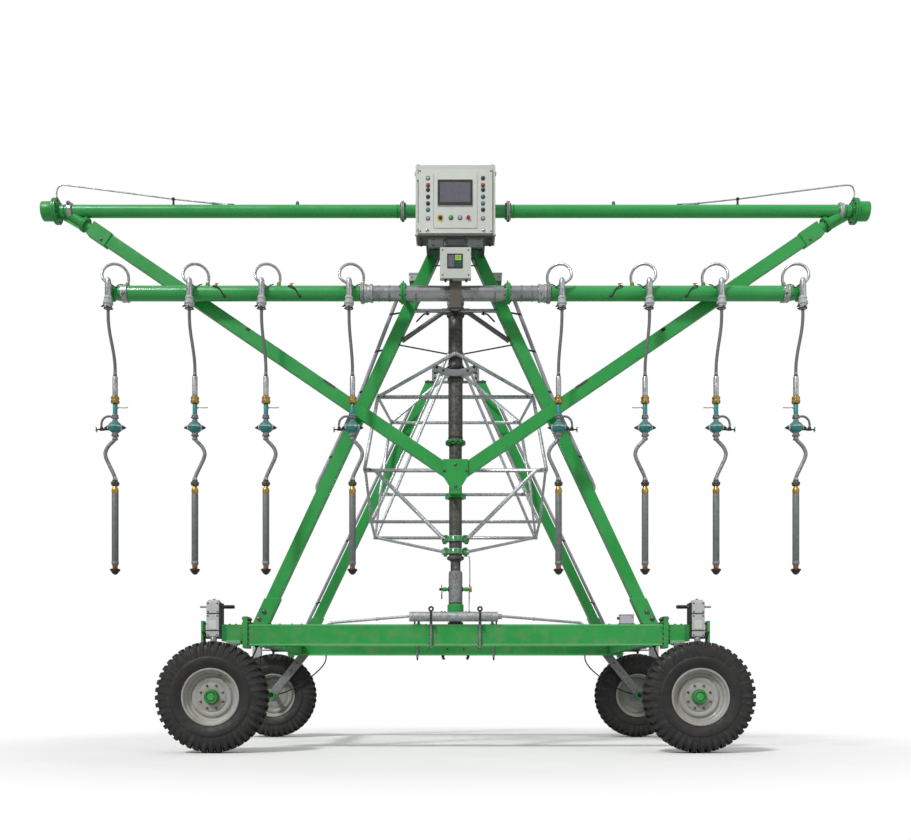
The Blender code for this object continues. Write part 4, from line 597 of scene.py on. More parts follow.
# distance from the middle plane, carcass radius, lug height
LUG_STATIONS = (
    (0.149, 0.455, 0.004), (0.1495, 0.5, 0.008), (0.144, 0.552, 0.019), (0.126, 0.586, 0.029),
    (0.06, 0.594, 0.03), (0.012, 0.595, 0.03)
)
RIM_LIP = (
    (0.118, 0.3235), (0.127, 0.324), (0.1335, 0.3195), (0.1351, 0.311), (0.1325, 0.303), (0.1245, 0.2985)
)
RIM_WELL = ((0.118, 0.2965), (0.098, 0.294), (0.09, 0.287), (0.086, 0.274), (0.07, 0.269), (0.048, 0.267))
RIM_DISC = (
    (0.036, 0.26), (0.03, 0.242), (0.034, 0.23), (0.044, 0.224), (0.052, 0.216), (0.0545, 0.205),
    (0.05, 0.185), (0.044, 0.17), (0.042, 0.16), (0.042, 0.06)
)
RIM_BACK = (
    (0.03, 0.06), (0.03, 0.16), (0.032, 0.172), (0.038, 0.187), (0.0425, 0.205), (0.04, 0.213),
    (0.034, 0.217), (0.022, 0.227), (0.018, 0.242), (0.024, 0.264), (0.03, 0.274), (-0.085, 0.276),
    (-0.095, 0.293)
)
WHEEL_STUDS = 8
STUD_CIRCLE = 0.1345


def wheel_place(word):
    """A wheel's centre, and the direction that its outer face looks in."""
    centre = Vector(joints[f"wheel_spin_{word}"]["pos_m"])
    return centre, Vector((0.0, math.copysign(1.0, centre.y), 0.0))


def around(centre, outward, angle, radius, along):
    """A point on a wheel: angle from straight up, distance from the axle and along it."""
    side = Vector((math.sin(angle), 0.0, math.cos(angle)))
    return centre + side * radius + outward * along


def tyre_lugs(word):
    """Tread bars in two staggered rows, each from the shoulder's lower edge to the middle of the tread."""
    centre, outward = wheel_place(word)
    shape = Shape()
    pitch = math.tau / LUGS
    for row in SIDES:
        for count in range(LUGS):
            rings = []
            for index, (along, radius, height) in enumerate(LUG_STATIONS):
                lean = LUG_SKEW * index / (len(LUG_STATIONS) - 1)
                middle = (count + (0.25 if row == LEFT else 0.75)) * pitch + lean
                half = pitch * LUG_SHARE / 2
                reach = along * row
                root, top = radius - LUG_ROOT, radius + height
                lift = height * LUG_SPLAY * row if along > SHOULDER else 0.0
                upper = half * LUG_TOP_SHARE
                edges = ((-half, root, -lift), (half, root, -lift), (upper, top, lift), (-upper, top, lift))
                rings.append([around(centre, outward, middle + a, b, reach + c) for a, b, c in edges])
            shape.loft(rings)
    return shape.piece(f"tyre_lugs_{word}", "tyre", f"wheel_{word}", bevel=0.003)


def tyre(word):
    """The carcass: beads, bulging walls with a rim guard, and the crown that carries the lugs."""
    centre, outward = wheel_place(word)
    half = [*TYRE_WALL, (0.0, CROWN_RADIUS)]
    profile = half + [(-along, radius) for along, radius in half[-2::-1]]
    shape = Shape().turned(centre, outward, profile, 96, closed=True)
    return shape.piece(
        f"tyre_{word}_carcass", "tyre_wall", f"wheel_{word}", sharp=50.0, replaces=[f"tyre_{word}"]
    )


def rim(word):
    """The dished steel wheel: rolled lips, drop well, disc with its raised ring and pierced centre."""
    centre, outward = wheel_place(word)
    lip_back = [(-along, radius) for along, radius in (*RIM_LIP, RIM_WELL[0])[::-1]]
    bore = ((-0.117, 0.305), (0.117, 0.305))
    profile = (*RIM_LIP, *RIM_WELL, *RIM_DISC, *RIM_BACK, *lip_back, *bore)
    shape = Shape().turned(centre, outward, profile, 72, closed=True)
    return shape.piece(f"rim_{word}_disc", "rim", f"wheel_{word}", sharp=42.0, replaces=[f"rim_{word}"])


def hub(word):
    """Hub flange behind the disc's middle, its wheel nuts, the cap over the bearing and the valve."""
    centre, outward = wheel_place(word)
    body = f"wheel_{word}"
    plate = ((0.0385, 0.12), (0.0385, 0.158), (0.05, 0.158), (0.052, 0.154), (0.052, 0.09))
    Shape().turned(centre, outward, plate, 48).piece(f"hub_plate_{word}", "rim", body)
    nuts = Shape()
    for count in range(WHEEL_STUDS):
        angle = (count + 0.5) * math.tau / WHEEL_STUDS
        seat = around(centre, outward, angle, STUD_CIRCLE, 0.052)
        nuts.bolt(seat, outward, 0.0115)
        nuts.rod(seat, seat + outward * 0.02, 0.006, 10)
    nuts.piece(f"wheel_nuts_{word}", "bolt", body, bevel=0.0006)
    cap = (
        (0.045, 0.088), (0.056, 0.088), (0.058, 0.0755), (0.104, 0.0745), (0.112, 0.07), (0.113, 0.056),
        (0.104, 0.052)
    )
    Shape().turned(centre, outward, cap, 40).piece(f"hub_cap_{word}", "green_dark", body, bevel=0.001)
    nose = ((0.1, 0.047), (0.112, 0.046), (0.117, 0.04), (0.1175, 0.02))
    Shape().turned(centre, outward, nose, 6).piece(f"hub_nose_{word}", "green", body, bevel=0.002)
    stem_foot = around(centre, outward, 0.4, 0.272, 0.06)
    stem_end = around(centre, outward, 0.4, 0.258, 0.1)
    valve = Shape().rod(stem_foot, stem_end, 0.0045, 12)
    valve.rod(stem_end, stem_end + (stem_end - stem_foot).normalized() * 0.012, 0.006, 12)
    valve.piece(f"valve_{word}", "black", body)


def build_wheels():
    for word in WHEELS:
        tyre(word)
        tyre_lugs(word)
        rim(word)
        hub(word)


STRUT_HEAD_X, STRUT_HEAD_Z = 2.12, 1.385
STRUT_NEAR, STRUT_FAR = 1.7003, 1.7553
FRONT_HEAD_X = 2.54
FRONT_PLATE_Z = (1.2327, 1.2677)
GEAR_HALF, GEAR_FACE, GEAR_BACK = 0.09, 1.79, 1.6555
SCREW_REACH = 0.068
# for the rear (1) and front (-1) wheels: the gland's X and Y, its foot, and the cable's points
DRIVE_CABLES = {
    1: (
        1.915, 1.7005, 1.225,
        (
            (1.915, 1.705, 1.24), (1.917, 1.72, 1.17), (1.945, 1.745, 1.1), (2.02, 1.77, 1.01),
            (2.15, 1.783, 0.9), (2.33, 1.786, 0.77), (2.52, 1.784, 0.68), (2.63, 1.77, 0.645)
        )
    ),
    -1: (
        2.3, 1.59, 1.195,
        ((2.3, 1.6, 1.22), (2.32, 1.6, 1.14), (2.42, 1.65, 0.95), (2.54, 1.74, 0.76), (2.63, 1.77, 0.645))
    )
}


def wheel_strut(word):
    """The leaning steel strut with its bolts, the wheel gearbox at its foot and the axle through it."""
    centre, outward = wheel_place(word)
    facing = outward.y
    side = math.copysign(1.0, centre.x)
    y = span(facing, STRUT_NEAR, STRUT_FAR)
    width = 0.12
    head = (side * STRUT_HEAD_X, STRUT_HEAD_Z)
    foot = (centre.x, centre.z)
    if facing < 0:
        width = 0.1
        head = (side * FRONT_HEAD_X, FRONT_PLATE_Z[0] + 0.01)
        foot = (centre.x - side * 0.02, centre.z)
    arm = Shape().bar(head, foot, width, y)
    arm.turned((foot[0], y[0], foot[1]), Y_AXIS, ((0.0, 0.05), (y[1] - y[0], 0.05)), 40)
    arm.piece(f"strut_{word}", "zinc_dull", bevel=0.008, replaces=[f"wheel_strut_{word}"])
    run = (Vector((foot[0], 0.0, foot[1])) - Vector((head[0], 0.0, head[1]))).normalized()
    bolts = Shape()
    for reach in (0.06, 0.13, 0.36, 0.5):
        at = Vector((head[0], 0.0, head[1])) + run * reach
        at.y = facing * (STRUT_FAR if reach < 0.2 else STRUT_NEAR)
        bolts.bolt(at, (0, facing if reach < 0.2 else -facing, 0), 0.013)
    if facing < 0:
        plate_x = span(side, FRONT_HEAD_X - 0.08, FRONT_HEAD_X + 0.08)
        Shape().block(plate_x, (-STRUT_FAR, -1.53), FRONT_PLATE_Z).piece(
            f"strut_plate_{word}", "green_pale", bevel=0.004
        )
        for x in (plate_x[0] + 0.055, plate_x[1] - 0.055):
            for lengthways in (-1.72, -1.56):
                bolts.bolt((x, lengthways, FRONT_PLATE_Z[0]), -UP, 0.0115)
    bolts.piece(f"strut_bolts_{word}", "bolt", bevel=0.0006)
    depth = span(facing, STRUT_FAR + 0.002, GEAR_FACE)
    housing = Shape().block(about(centre.x, GEAR_HALF), depth, about(centre.z, GEAR_HALF))
    housing.piece(f"gearbox_{word}", "zinc_dull", slot="dark_steel", bevel=0.02)
    cover = ((0.0, 0.062), (0.012, 0.062), (0.015, 0.05), (0.0195, 0.05))
    rings = Shape().turned((centre.x, facing * (GEAR_FACE - 0.002), centre.z), outward, cover, 40)
    rings.turned((centre.x, facing * GEAR_FACE, centre.z), outward, ((0.0, 0.035), (0.24, 0.035)), 32)
    rings.piece(f"axle_{word}", "steel", slot="dark_steel")
    eye = (
        (0.0, 0.044), (0.0, 0.058), (0.003, 0.061), (0.03, 0.061), (0.033, 0.056), (0.044, 0.056),
        (0.044, 0.044)
    )
    start = Vector((centre.x, facing * GEAR_BACK, centre.z))
    Shape().turned(start, outward, eye, 40, closed=True).piece(f"gearbox_eye_{word}", "green")
    # The darker green hollow inside the eye is painted shade.
    cup = ((0.022, 0.043), (0.022, 0.03), (0.03, 0.026), (0.044, 0.026), (0.044, 0.043))
    Shape().turned(start, outward, cup, 32, closed=True).piece(f"gearbox_eye_hollow_painted_shade_{word}", "green_dark")
    # The dark rod in the eye's middle is painted shadow that stands for the hole.
    Shape().turned(start, outward, ((0.02, 0.018), (0.044, 0.018)), 24).piece(
        f"gearbox_eye_hole_painted_shadow_{word}", "dark"
    )
    screws = Shape()
    for x in about(centre.x, SCREW_REACH):
        for z in about(centre.z, SCREW_REACH):
            screws.bolt((x, facing * GEAR_FACE, z), outward, 0.008, washer=False)
    screws.piece(f"gearbox_screws_{word}", "bolt")


def drive_cable(word):
    """The thin black cable from the beam down to a wheel gearbox, with its gland."""
    centre, outward = wheel_place(word)
    facing = outward.y
    side = math.copysign(1.0, centre.x)
    gland_x, gland_y, low, sketch = DRIVE_CABLES[round(facing)]
    path = smooth_path([(side * x, facing * y, z) for x, y, z in sketch], 5)
    Shape().tube(path, 0.0095, 12).piece(f"drive_cable_{word}", "cable")
    gland = Vector((side * gland_x, facing * gland_y, 1.25))
    shape = Shape().block(
        about(gland.x, 0.02), sorted((gland.y, gland.y + facing * 0.02)), (low, low + 0.05)
    )
    shape.turned(
        gland + UP * -0.018 + outward * 0.01, -UP, ((0.0, 0.013), (0.012, 0.013), (0.02, 0.011)), 14
    )
    shape.piece(f"cable_gland_{word}", "black", bevel=0.002)


def rear_drive(side):
    """The rear beam's end: the drive motor before the stub and the grey post beside the wheel."""
    word = WORDS[side]
    motor = (
        (0.0, 0.03), (0.003, 0.048), (0.02, 0.052), (0.024, 0.058), (0.05, 0.06), (0.2, 0.06),
        (0.226, 0.058), (0.23, 0.052), (0.3, 0.05), (0.31, 0.03)
    )
    start = Vector((side * 2.47, 1.43, 1.352))
    Shape().turned(start, (side, 0, 0), motor, 40).piece(f"rear_motor_{word}", "motor")
    fins = Shape()
    for count in range(9):
        at = start + X_AXIS * side * (0.07 + count * 0.014)
        fins.turned(
            at, (side, 0, 0), ((-0.002, 0.058), (-0.002, 0.065), (0.002, 0.065), (0.002, 0.058)), 36
        )
    fins.piece(f"rear_motor_fins_{word}", "motor")
    bracket = Shape().block(span(side, 2.51, 2.8), (1.37, 1.5), (1.276, 1.29))
    bracket.block(span(side, 2.53, 2.66), (1.494, 1.516), (1.27, 1.4))
    bracket.turned(
        (side * 2.645, 1.43, 1.28), -UP, ((0.0, 0.03), (0.008, 0.03), (0.01, 0.017), (0.05, 0.017)), 20
    )
    bracket.piece(f"rear_motor_bracket_{word}", "dark", bevel=0.003)
    post_x = span(side, 2.95, 3.085)
    post = Shape().block(post_x, (2.1, 2.2), (0.98, 1.41))
    post.block((post_x[0] + 0.02, post_x[1] - 0.02), (2.115, 2.185), (1.4, 1.425))
    post.piece(f"rear_post_{word}", "drive", bevel=0.008)
    arm = Shape().block(span(side, 2.69, 2.97), (1.57, 1.63), (1.35, 1.41))
    arm.block(span(side, 2.6903, 2.7), (1.54, 1.66), (1.3, 1.44))
    arm.block(span(side, 2.91, 2.97), (1.57, 2.2), (1.35, 1.41))
    arm.piece(f"rear_post_arm_{word}", "green", bevel=0.003)
    trim = Shape().block((post_x[0] - 0.003, post_x[1] + 0.003), (2.097, 2.203), (1.19, 1.2))
    for z in (1.02, 1.32):
        trim.bolt((sum(post_x) / 2, 2.2, z), Y_AXIS, 0.009, washer=False)
    trim.piece(f"rear_post_trim_{word}", "dark", bevel=0.001)


def drive_box(side):
    """The front drive: two-part gear housing, cap, shaft, side bracket and the guard plate beside it."""
    word = WORDS[side]
    x = span(side, 2.712, 2.862)
    y = (-1.7, -1.54)
    split = 1.578
    housing = Shape().block(x, y, (1.31, split - 0.003))
    housing.block(x, y, (split + 0.003, 1.722))
    housing.block((x[0] + 0.014, x[1] - 0.014), (y[0] + 0.014, y[1] - 0.014), (1.71, 1.742))
    housing.piece(f"drive_housing_{word}", "drive", bevel=0.012, replaces=[f"drive_box_{word}"])
    Shape().block((x[0] + 0.005, x[1] - 0.005), (y[0] + 0.005, y[1] - 0.005), about(split, 0.006)).piece(
        f"drive_gasket_{word}", "dark"
    )
    screws = Shape()
    for across in (x[0] + 0.022, x[1] - 0.022):
        for z in (1.335, split - 0.024, split + 0.024, 1.7):
            screws.bolt((across, y[0], z), OUT, 0.0075)
    screws.bolt((sum(x) / 2, (y[0] + y[1]) / 2, 1.742), UP, 0.016)
    screws.piece(f"drive_screws_{word}", "bolt", bevel=0.0005)
    Shape().block((x[0] + 0.03, x[1] - 0.03), (y[0] - 0.0035, y[0] + 0.002), (1.40, 1.5)).piece(
        f"drive_plate_{word}", "panel", bevel=0.002
    )
    foot = (side * 2.775, y[0], 0.0)
    shaft = Shape().turned(foot, UP, ((0.7153, 0.025), (0.9, 0.025), (0.902, 0.034)), 28)
    shaft.turned(foot, UP, ((0.9, 0.034), (0.99, 0.034), (0.992, 0.025), (1.325, 0.025)), 28)
    shaft.turned(foot, UP, ((1.24, 0.036), (1.3, 0.036), (1.31, 0.03)), 28)
    shaft.piece(f"drive_shaft_{word}", "zinc_dull", slot="dark_steel")
    guard_x = span(side, 2.896, 2.926)
    Shape().block(guard_x, (-1.68, -1.56), (1.24, 1.5)).piece(f"drive_guard_{word}", "green", bevel=0.004)
    hook = [(2.84, 1.36), (2.87, 1.352), (2.895, 1.33), (2.902, 1.29), (2.9, 1.262)]
    path = smooth_path([(side * a, y[0] + 0.07, b) for a, b in hook], 4)
    bracket = Shape().tube(path, 0.016, 14)
    bracket.block(span(side, 2.845, 2.895), (-1.655, -1.6), (1.335, 1.365))
    bracket.block(span(side, 2.845, 2.897), (-1.655, -1.6), (1.46, 1.474))
    bracket.piece(f"drive_bracket_{word}", "dark", bevel=0.002)
    tray = Shape().block(span(side, 2.6903, 2.7125), (y[0] + 0.004, y[1]), (1.292, 1.705))
    tray.block(span(side, 2.6903, 2.868), (y[0] + 0.002, y[1]), (1.296, 1.307))
    knee = [(2.852, 1.292), (2.865, 1.292), (2.912, 1.36), (2.912, 1.385), (2.9, 1.372), (2.852, 1.306)]
    tray.prism([(side * a, b) for a, b in knee], (y[0] + 0.004, y[0] + 0.07))
    tray.piece(f"drive_tray_{word}", "dark", bevel=0.002)
    Shape().block((x[0] - 0.004, x[1] + 0.004), (y[0] - 0.004, y[1] + 0.004), (1.382, 1.392)).piece(
        f"drive_band_{word}", "dark"
    )


def drive_lever(side):
    """The pull rod through the drive box: ribbed dark grip inboard, plated stub outboard."""
    word = WORDS[side]
    body = f"lever_{word}"
    axis = (0.0, -1.62, 1.663)
    inner, outer = 2.7, 2.862
    grip_end = inner - 0.15
    profile = [(grip_end, 0.014), (grip_end + 0.006, 0.02)]
    for count in range(9):
        at = grip_end + 0.012 + count * 0.0125
        profile += [(at, 0.022), (at + 0.007, 0.022), (at + 0.009, 0.019), (at + 0.0115, 0.019)]
    profile += [(grip_end + 0.128, 0.021), (grip_end + 0.13, 0.013)]
    Shape().turned(axis, (side, 0, 0), profile, 28).piece(
        f"lever_grip_{word}", "black", body, replaces=[f"drive_lever_{word}"]
    )
    rod = ((grip_end + 0.125, 0.0122), (outer + 0.086, 0.0122), (outer + 0.088, 0.01))
    Shape().turned(axis, (side, 0, 0), rod, 28).piece(f"lever_rod_{word}", "motor", body, slot="dark_steel")
    bush = Shape()
    for face, way in ((inner, -side), (outer, side)):
        at = Vector((side * face, axis[1], axis[2]))
        bush.turned(
            at, (way, 0, 0), ((-0.004, 0.023), (0.005, 0.023), (0.007, 0.016), (0.0085, 0.0128)), 28
        )
    bush.piece(f"lever_bush_{word}", "zinc", slot="dark_steel")


def build_drives():
    for word in WHEELS:
        wheel_strut(word)
        drive_cable(word)
    for side in SIDES:
        rear_drive(side)
        drive_box(side)
        drive_lever(side)


UPPER_Y, UPPER_Z, UPPER_RADIUS = -1.78, 6.157, 0.0705
LOWER_Y, LOWER_Z, LOWER_RADIUS = -1.95, 5.155, 0.084
MANIFOLD_HALF = 0.923
LOWER_ROOT = 1.063
PIPE_SIDES = 56


def disc(shape, centre, axis, radius, thickness, edge=0.003, sides=48):
    """A round plate centred on a point, with broken edges."""
    half = thickness / 2
    profile = ((-half, radius - edge), (-half + edge, radius), (half - edge, radius), (half, radius - edge))
    return shape.turned(centre, axis, profile, sides)


def bolt_circle(shape, centre, axis, radius, thickness, count, size):
    """Bolts through a flange: heads on one face, nuts with their thread ends on the other."""
    axis = Vector(axis).normalized()
    turn = axis.to_track_quat("Z", "Y")
    for a, b in circle(count, 0.5):
        at = Vector(centre) + turn @ Vector((radius * a, radius * b, 0.0))
        shape.bolt(at + axis * thickness / 2, axis, size)
        shape.bolt(at - axis * thickness / 2, -axis, size)
        thread = thickness / 2 + size * 1.7
        shape.rod(at - axis * thread, at, size * 0.5, 10)
    return shape


def flange_joint(name, centre, axis, radius, thickness, finish, count=8, size=0.011, slot="green_paint"):
    """Two plates face to face with a gasket between them, bolted round their rims."""
    axis = Vector(axis).normalized()
    centre = Vector(centre)
    plate = thickness * 0.46
    offset = axis * (thickness - plate) / 2
    plates = Shape()
    disc(plates, centre - offset, axis, radius, plate)
    disc(plates, centre + offset, axis, radius, plate)
    plates.piece(name, finish, slot=slot)
    disc(Shape(), centre, axis, radius * 0.93, thickness * 0.3, 0.0).piece(
        f"{name}_gasket", "black", slot=""
    )
    bolts = bolt_circle(Shape(), centre, axis, radius * 0.8, thickness, count, size)
    bolts.piece(f"{name}_bolts", "bolt", bevel=0.0005)


def band_clamp(name, centre, axis, radius, width, lug_turn):
    """A two-part pipe clamp: rolled band with raised edges, two ears and the bolt between them."""
    centre, axis = Vector(centre), Vector(axis).normalized()
    half = width / 2
    edge = radius * 0.035
    band = (
        (-half, radius - edge), (-half + edge, radius), (-half * 0.55, radius),
        (-half * 0.45, radius - edge), (half * 0.45, radius - edge), (half * 0.55, radius),
        (half - edge, radius), (half, radius - edge)
    )
    shape = Shape().turned(centre, axis, band, 48)
    turn = axis.to_track_quat("Z", "Y")
    out = turn @ Vector((math.cos(lug_turn), math.sin(lug_turn), 0.0))
    across = axis.cross(out)
    bolts = Shape()
    for side in SIDES:
        ear = centre + out * (radius - 0.004) + across * side * 0.011
        ends = (ear, ear + out * 0.034)
        shape.loft([[end + axis * a * half * 0.8 + across * b * 0.004 for a, b in CORNERS] for end in ends])
        bolts.bolt(ear + out * 0.018 + across * side * 0.004, across * side, 0.009)
    middle = centre + out * (radius + 0.014)
    bolts.rod(middle - across * 0.022, middle + across * 0.022, 0.005)
    shape.piece(name, "steel", bevel=0.001)
    bolts.piece(f"{name}_bolt", "bolt")


CAP_START = 4.56
END_FLANGE_X, END_FLANGE_RADIUS = 4.5425, 0.1425
END_RING_X, END_RING_RADIUS = 4.382, 0.09
MIDDLE_FLANGE_X, MIDDLE_FLANGE_RADIUS = 0.6, 0.108
NUB_X = 1.8
RISER_Y, RISER_FOOT_Z = -1.75, 5.27


def upper_boom():
    """The high pipe with its welded seam, end caps, flanges, clamps, plugs and the riser that feeds it."""
    centre = Vector((0.0, UPPER_Y, UPPER_Z))
    pipe = ((-CAP_START, UPPER_RADIUS), (CAP_START, UPPER_RADIUS))
    Shape().turned(centre, X_AXIS, pipe, PIPE_SIDES).piece(
        "upper_boom_pipe", "pipe_green", replaces=["upper_boom"]
    )
    for side, word in WORDS.items():
        out = X_AXIS * side
        cap = (
            (4.556, 0.09), (4.559, 0.104), (4.563, 0.106), (4.69, 0.106), (4.697, 0.103), (4.7, 0.096),
            (4.7, 0.004)
        )
        Shape().turned(centre, out, cap, 56).piece(f"upper_boom_cap_{word}", "green")
        flange_joint(
            f"upper_boom_end_flange_{word}", centre + out * END_FLANGE_X, out, END_FLANGE_RADIUS, 0.045,
            "green"
        )
        flange_joint(
            f"upper_boom_middle_flange_{word}", centre + out * MIDDLE_FLANGE_X, out, MIDDLE_FLANGE_RADIUS,
            0.034, "steel", 6, 0.013
        )
        band_clamp(f"upper_boom_clamp_{word}", centre + out * END_RING_X, out, END_RING_RADIUS, 0.05, 0.6)
        keepers = Shape()
        for way in (UP, -UP):
            keepers.bolt(centre + out * END_RING_X + way * (END_RING_RADIUS - 0.002), way, 0.014)
            keepers.bolt(centre + out * MIDDLE_FLANGE_X + way * (MIDDLE_FLANGE_RADIUS - 0.002), way, 0.014)
        keepers.piece(f"upper_boom_keepers_{word}", "bolt", bevel=0.0005)
        welds = Shape()
        bead = ((-0.006, 0.0), (-0.002, 0.004), (0.003, 0.0035), (0.007, 0.0))
        profile = [(along, UPPER_RADIUS + rise) for along, rise in bead]
        for reach in (0.66, 4.5, 4.44):
            welds.turned(centre + out * reach, out, profile, PIPE_SIDES)
        welds.piece(f"upper_boom_welds_{word}", "green_dark")
        top = centre + out * NUB_X + UP * UPPER_RADIUS
        plug = Shape().turned(top, UP, ((-0.01, 0.022), (0.012, 0.022), (0.013, 0.017), (0.022, 0.017)), 20)
        plug.turned(top, UP, ((0.02, 0.019), (0.034, 0.019), (0.04, 0.015)), 6)
        plug.piece(f"upper_boom_plug_{word}", "green_dark", bevel=0.001)
    riser = (
        (RISER_FOOT_Z, 0.06), (RISER_FOOT_Z + 0.026, 0.06), (RISER_FOOT_Z + 0.03, 0.04),
        (RISER_FOOT_Z + 0.05, 0.0355), (UPPER_Z - 0.04, 0.0355)
    )
    Shape().turned((0.0, RISER_Y, 0.0), UP, riser, 32).piece("riser_pipe", "zinc_dull")


STAY_POST_X, STAY_TOP_Z, STAY_RADIUS = 3.214, 6.46, 0.0085


def stay_wire(side):
    """The bright wire from the end flange over its post, down to a sleeve and anchor on the boom."""
    word = WORDS[side]
    flange_top = UPPER_Z + END_FLANGE_RADIUS
    pipe_top = UPPER_Z + UPPER_RADIUS
    post_top = UPPER_Z + 0.14
    anchor_x = STAY_POST_X - 0.654
    sleeve_x = (STAY_POST_X + 2 * anchor_x) / 3
    sleeve_z = (post_top + 2 * pipe_top) / 3
    sketch = (
        (4.541, flange_top - 0.02), (4.545, flange_top + 0.06), (4.54, STAY_TOP_Z - 0.06),
        (4.515, STAY_TOP_Z - 0.017), (4.456, STAY_TOP_Z - 0.005), (4.3, STAY_TOP_Z - 0.022), (3.7, 6.361),
        (STAY_POST_X, post_top), (sleeve_x, sleeve_z), (anchor_x + 0.03, pipe_top + 0.012),
        (anchor_x, pipe_top - 0.004)
    )
    path = smooth_path([(side * x, UPPER_Y, z) for x, z in sketch], 5)
    Shape().tube(path, STAY_RADIUS, 12).piece(f"stay_wire_{word}", "steel")
    start, end = Vector((side * sleeve_x, UPPER_Y, sleeve_z)), Vector((side * anchor_x, UPPER_Y, pipe_top))
    run = (end - start).normalized()
    length = (end - start).length
    sleeve = (
        (0.0, 0.009), (0.004, 0.0135), (0.03, 0.0135), (0.034, 0.0115), (length - 0.06, 0.0115),
        (length - 0.056, 0.0135), (length - 0.03, 0.0135), (length - 0.026, 0.009)
    )
    Shape().turned(start, run, sleeve, 18).piece(f"stay_sleeve_{word}", "zinc")
    post = Vector((side * STAY_POST_X, UPPER_Y, pipe_top - 0.008))
    head = post + UP * (post_top - post.z)
    fittings = Shape().turned(
        post, UP, ((0.0, 0.02), (0.012, 0.02), (0.014, 0.012), (head.z - post.z, 0.012)), 16
    )
    fittings.turned(
        head + X_AXIS * 0.018, -X_AXIS, ((0.0, 0.012), (0.006, 0.015), (0.03, 0.015), (0.036, 0.012)), 16
    )
    fittings.bolt(head + UP * 0.014, UP, 0.008)
    saddle_x = side * (anchor_x - 0.01)
    fittings.block(about(saddle_x, 0.03), about(UPPER_Y, 0.014), (pipe_top - 0.006, pipe_top + 0.012))
    fittings.bolt((side * 4.541, UPPER_Y, flange_top + 0.004), UP, 0.014)
    fittings.piece(f"stay_fittings_{word}", "dark", bevel=0.001)


BRACE_HEAD, BRACE_FOOT = (4.343, 6.09), (0.05, 3.163)
BRACE_JOINT = 0.15


def brace_line(side):
    """Where a brace's centre line starts at the boom, and the way it runs."""
    start = Vector((side * BRACE_HEAD[0], UPPER_Y, BRACE_HEAD[1]))
    end = Vector((side * BRACE_FOOT[0], UPPER_Y, BRACE_FOOT[1]))
    return start, (end - start).normalized()


def brace_head(side):
    """The stub off the boom, the bolted joint, and the nose that runs into the brace's sleeve."""
    word = WORDS[side]
    start, run = brace_line(side)
    above = start + run * ((UPPER_Z - start.z) / run.z)
    joint = start + run * BRACE_JOINT
    length = (joint - above).length
    stub = Shape().turned(above, run, ((0.03, 0.055), (length, 0.055)), 40)
    rib = run.cross(Y_AXIS)
    for reach in SIDES:
        outline = [above + rib * reach * share for share in (0.05, 0.1)]
        outline += [joint + rib * reach * 0.078, joint - run * 0.02 + rib * reach * 0.05]
        stub.loft([[point + Y_AXIS * depth for point in outline] for depth in (-0.006, 0.006)])
    stub.piece(f"brace_stub_{word}", "green")
    flange_joint(f"brace_joint_{word}", joint, run, 0.088, 0.04, "green", 6, 0.01)
    Shape().turned(joint, run, ((0.012, 0.055), (0.1, 0.055)), 40).piece(f"brace_nose_{word}", "green")


TIP_CLAMP_X, TIP_CLAMP_RADIUS = 3.705, 0.1


def lower_boom(side):
    """Half of the low boom: pale clamp, flange, pipe, silver clamp and the reducer at its tip."""
    word = WORDS[side]
    out = X_AXIS * side
    centre = Vector((0.0, LOWER_Y, LOWER_Z))
    pipe = (
        (LOWER_ROOT - 0.02, LOWER_RADIUS), (3.738, LOWER_RADIUS), (3.75, LOWER_RADIUS - 0.001),
        (3.862, 0.064), (3.876, 0.059), (3.88, 0.05), (3.88, 0.004)
    )
    Shape().turned(centre, out, pipe, PIPE_SIDES).piece(
        f"lower_boom_{word}_pipe", "pipe_green", replaces=[f"lower_boom_{word}"]
    )
    clamp = (
        (MANIFOLD_HALF + 0.002, 0.088), (MANIFOLD_HALF + 0.004, 0.1), (MANIFOLD_HALF + 0.03, 0.1),
        (MANIFOLD_HALF + 0.034, 0.094), (MANIFOLD_HALF + 0.066, 0.094), (MANIFOLD_HALF + 0.07, 0.1),
        (LOWER_ROOT - 0.042, 0.1), (LOWER_ROOT - 0.04, 0.088)
    )
    Shape().turned(centre, out, clamp, PIPE_SIDES).piece(f"lower_boom_root_clamp_{word}", "steel")
    flange_joint(
        f"lower_boom_flange_{word}", centre + out * (LOWER_ROOT - 0.02), out, 0.112, 0.034, "steel"
    )
    band_clamp(
        f"lower_boom_tip_clamp_{word}", centre + out * TIP_CLAMP_X, out, TIP_CLAMP_RADIUS, 0.07, -0.4
    )
    keepers = Shape()
    for turn in (1.2, -1.9):
        offset = Vector((0.0, math.sin(turn), math.cos(turn))) * TIP_CLAMP_RADIUS
        keepers.bolt(centre + out * (TIP_CLAMP_X - 0.014) + offset, offset.normalized(), 0.01)
    keepers.piece(f"lower_boom_tip_bolts_{word}", "bolt")


HANGER_X, HANGER_RADIUS = 0.586, 0.116
INLET_Y = -1.694


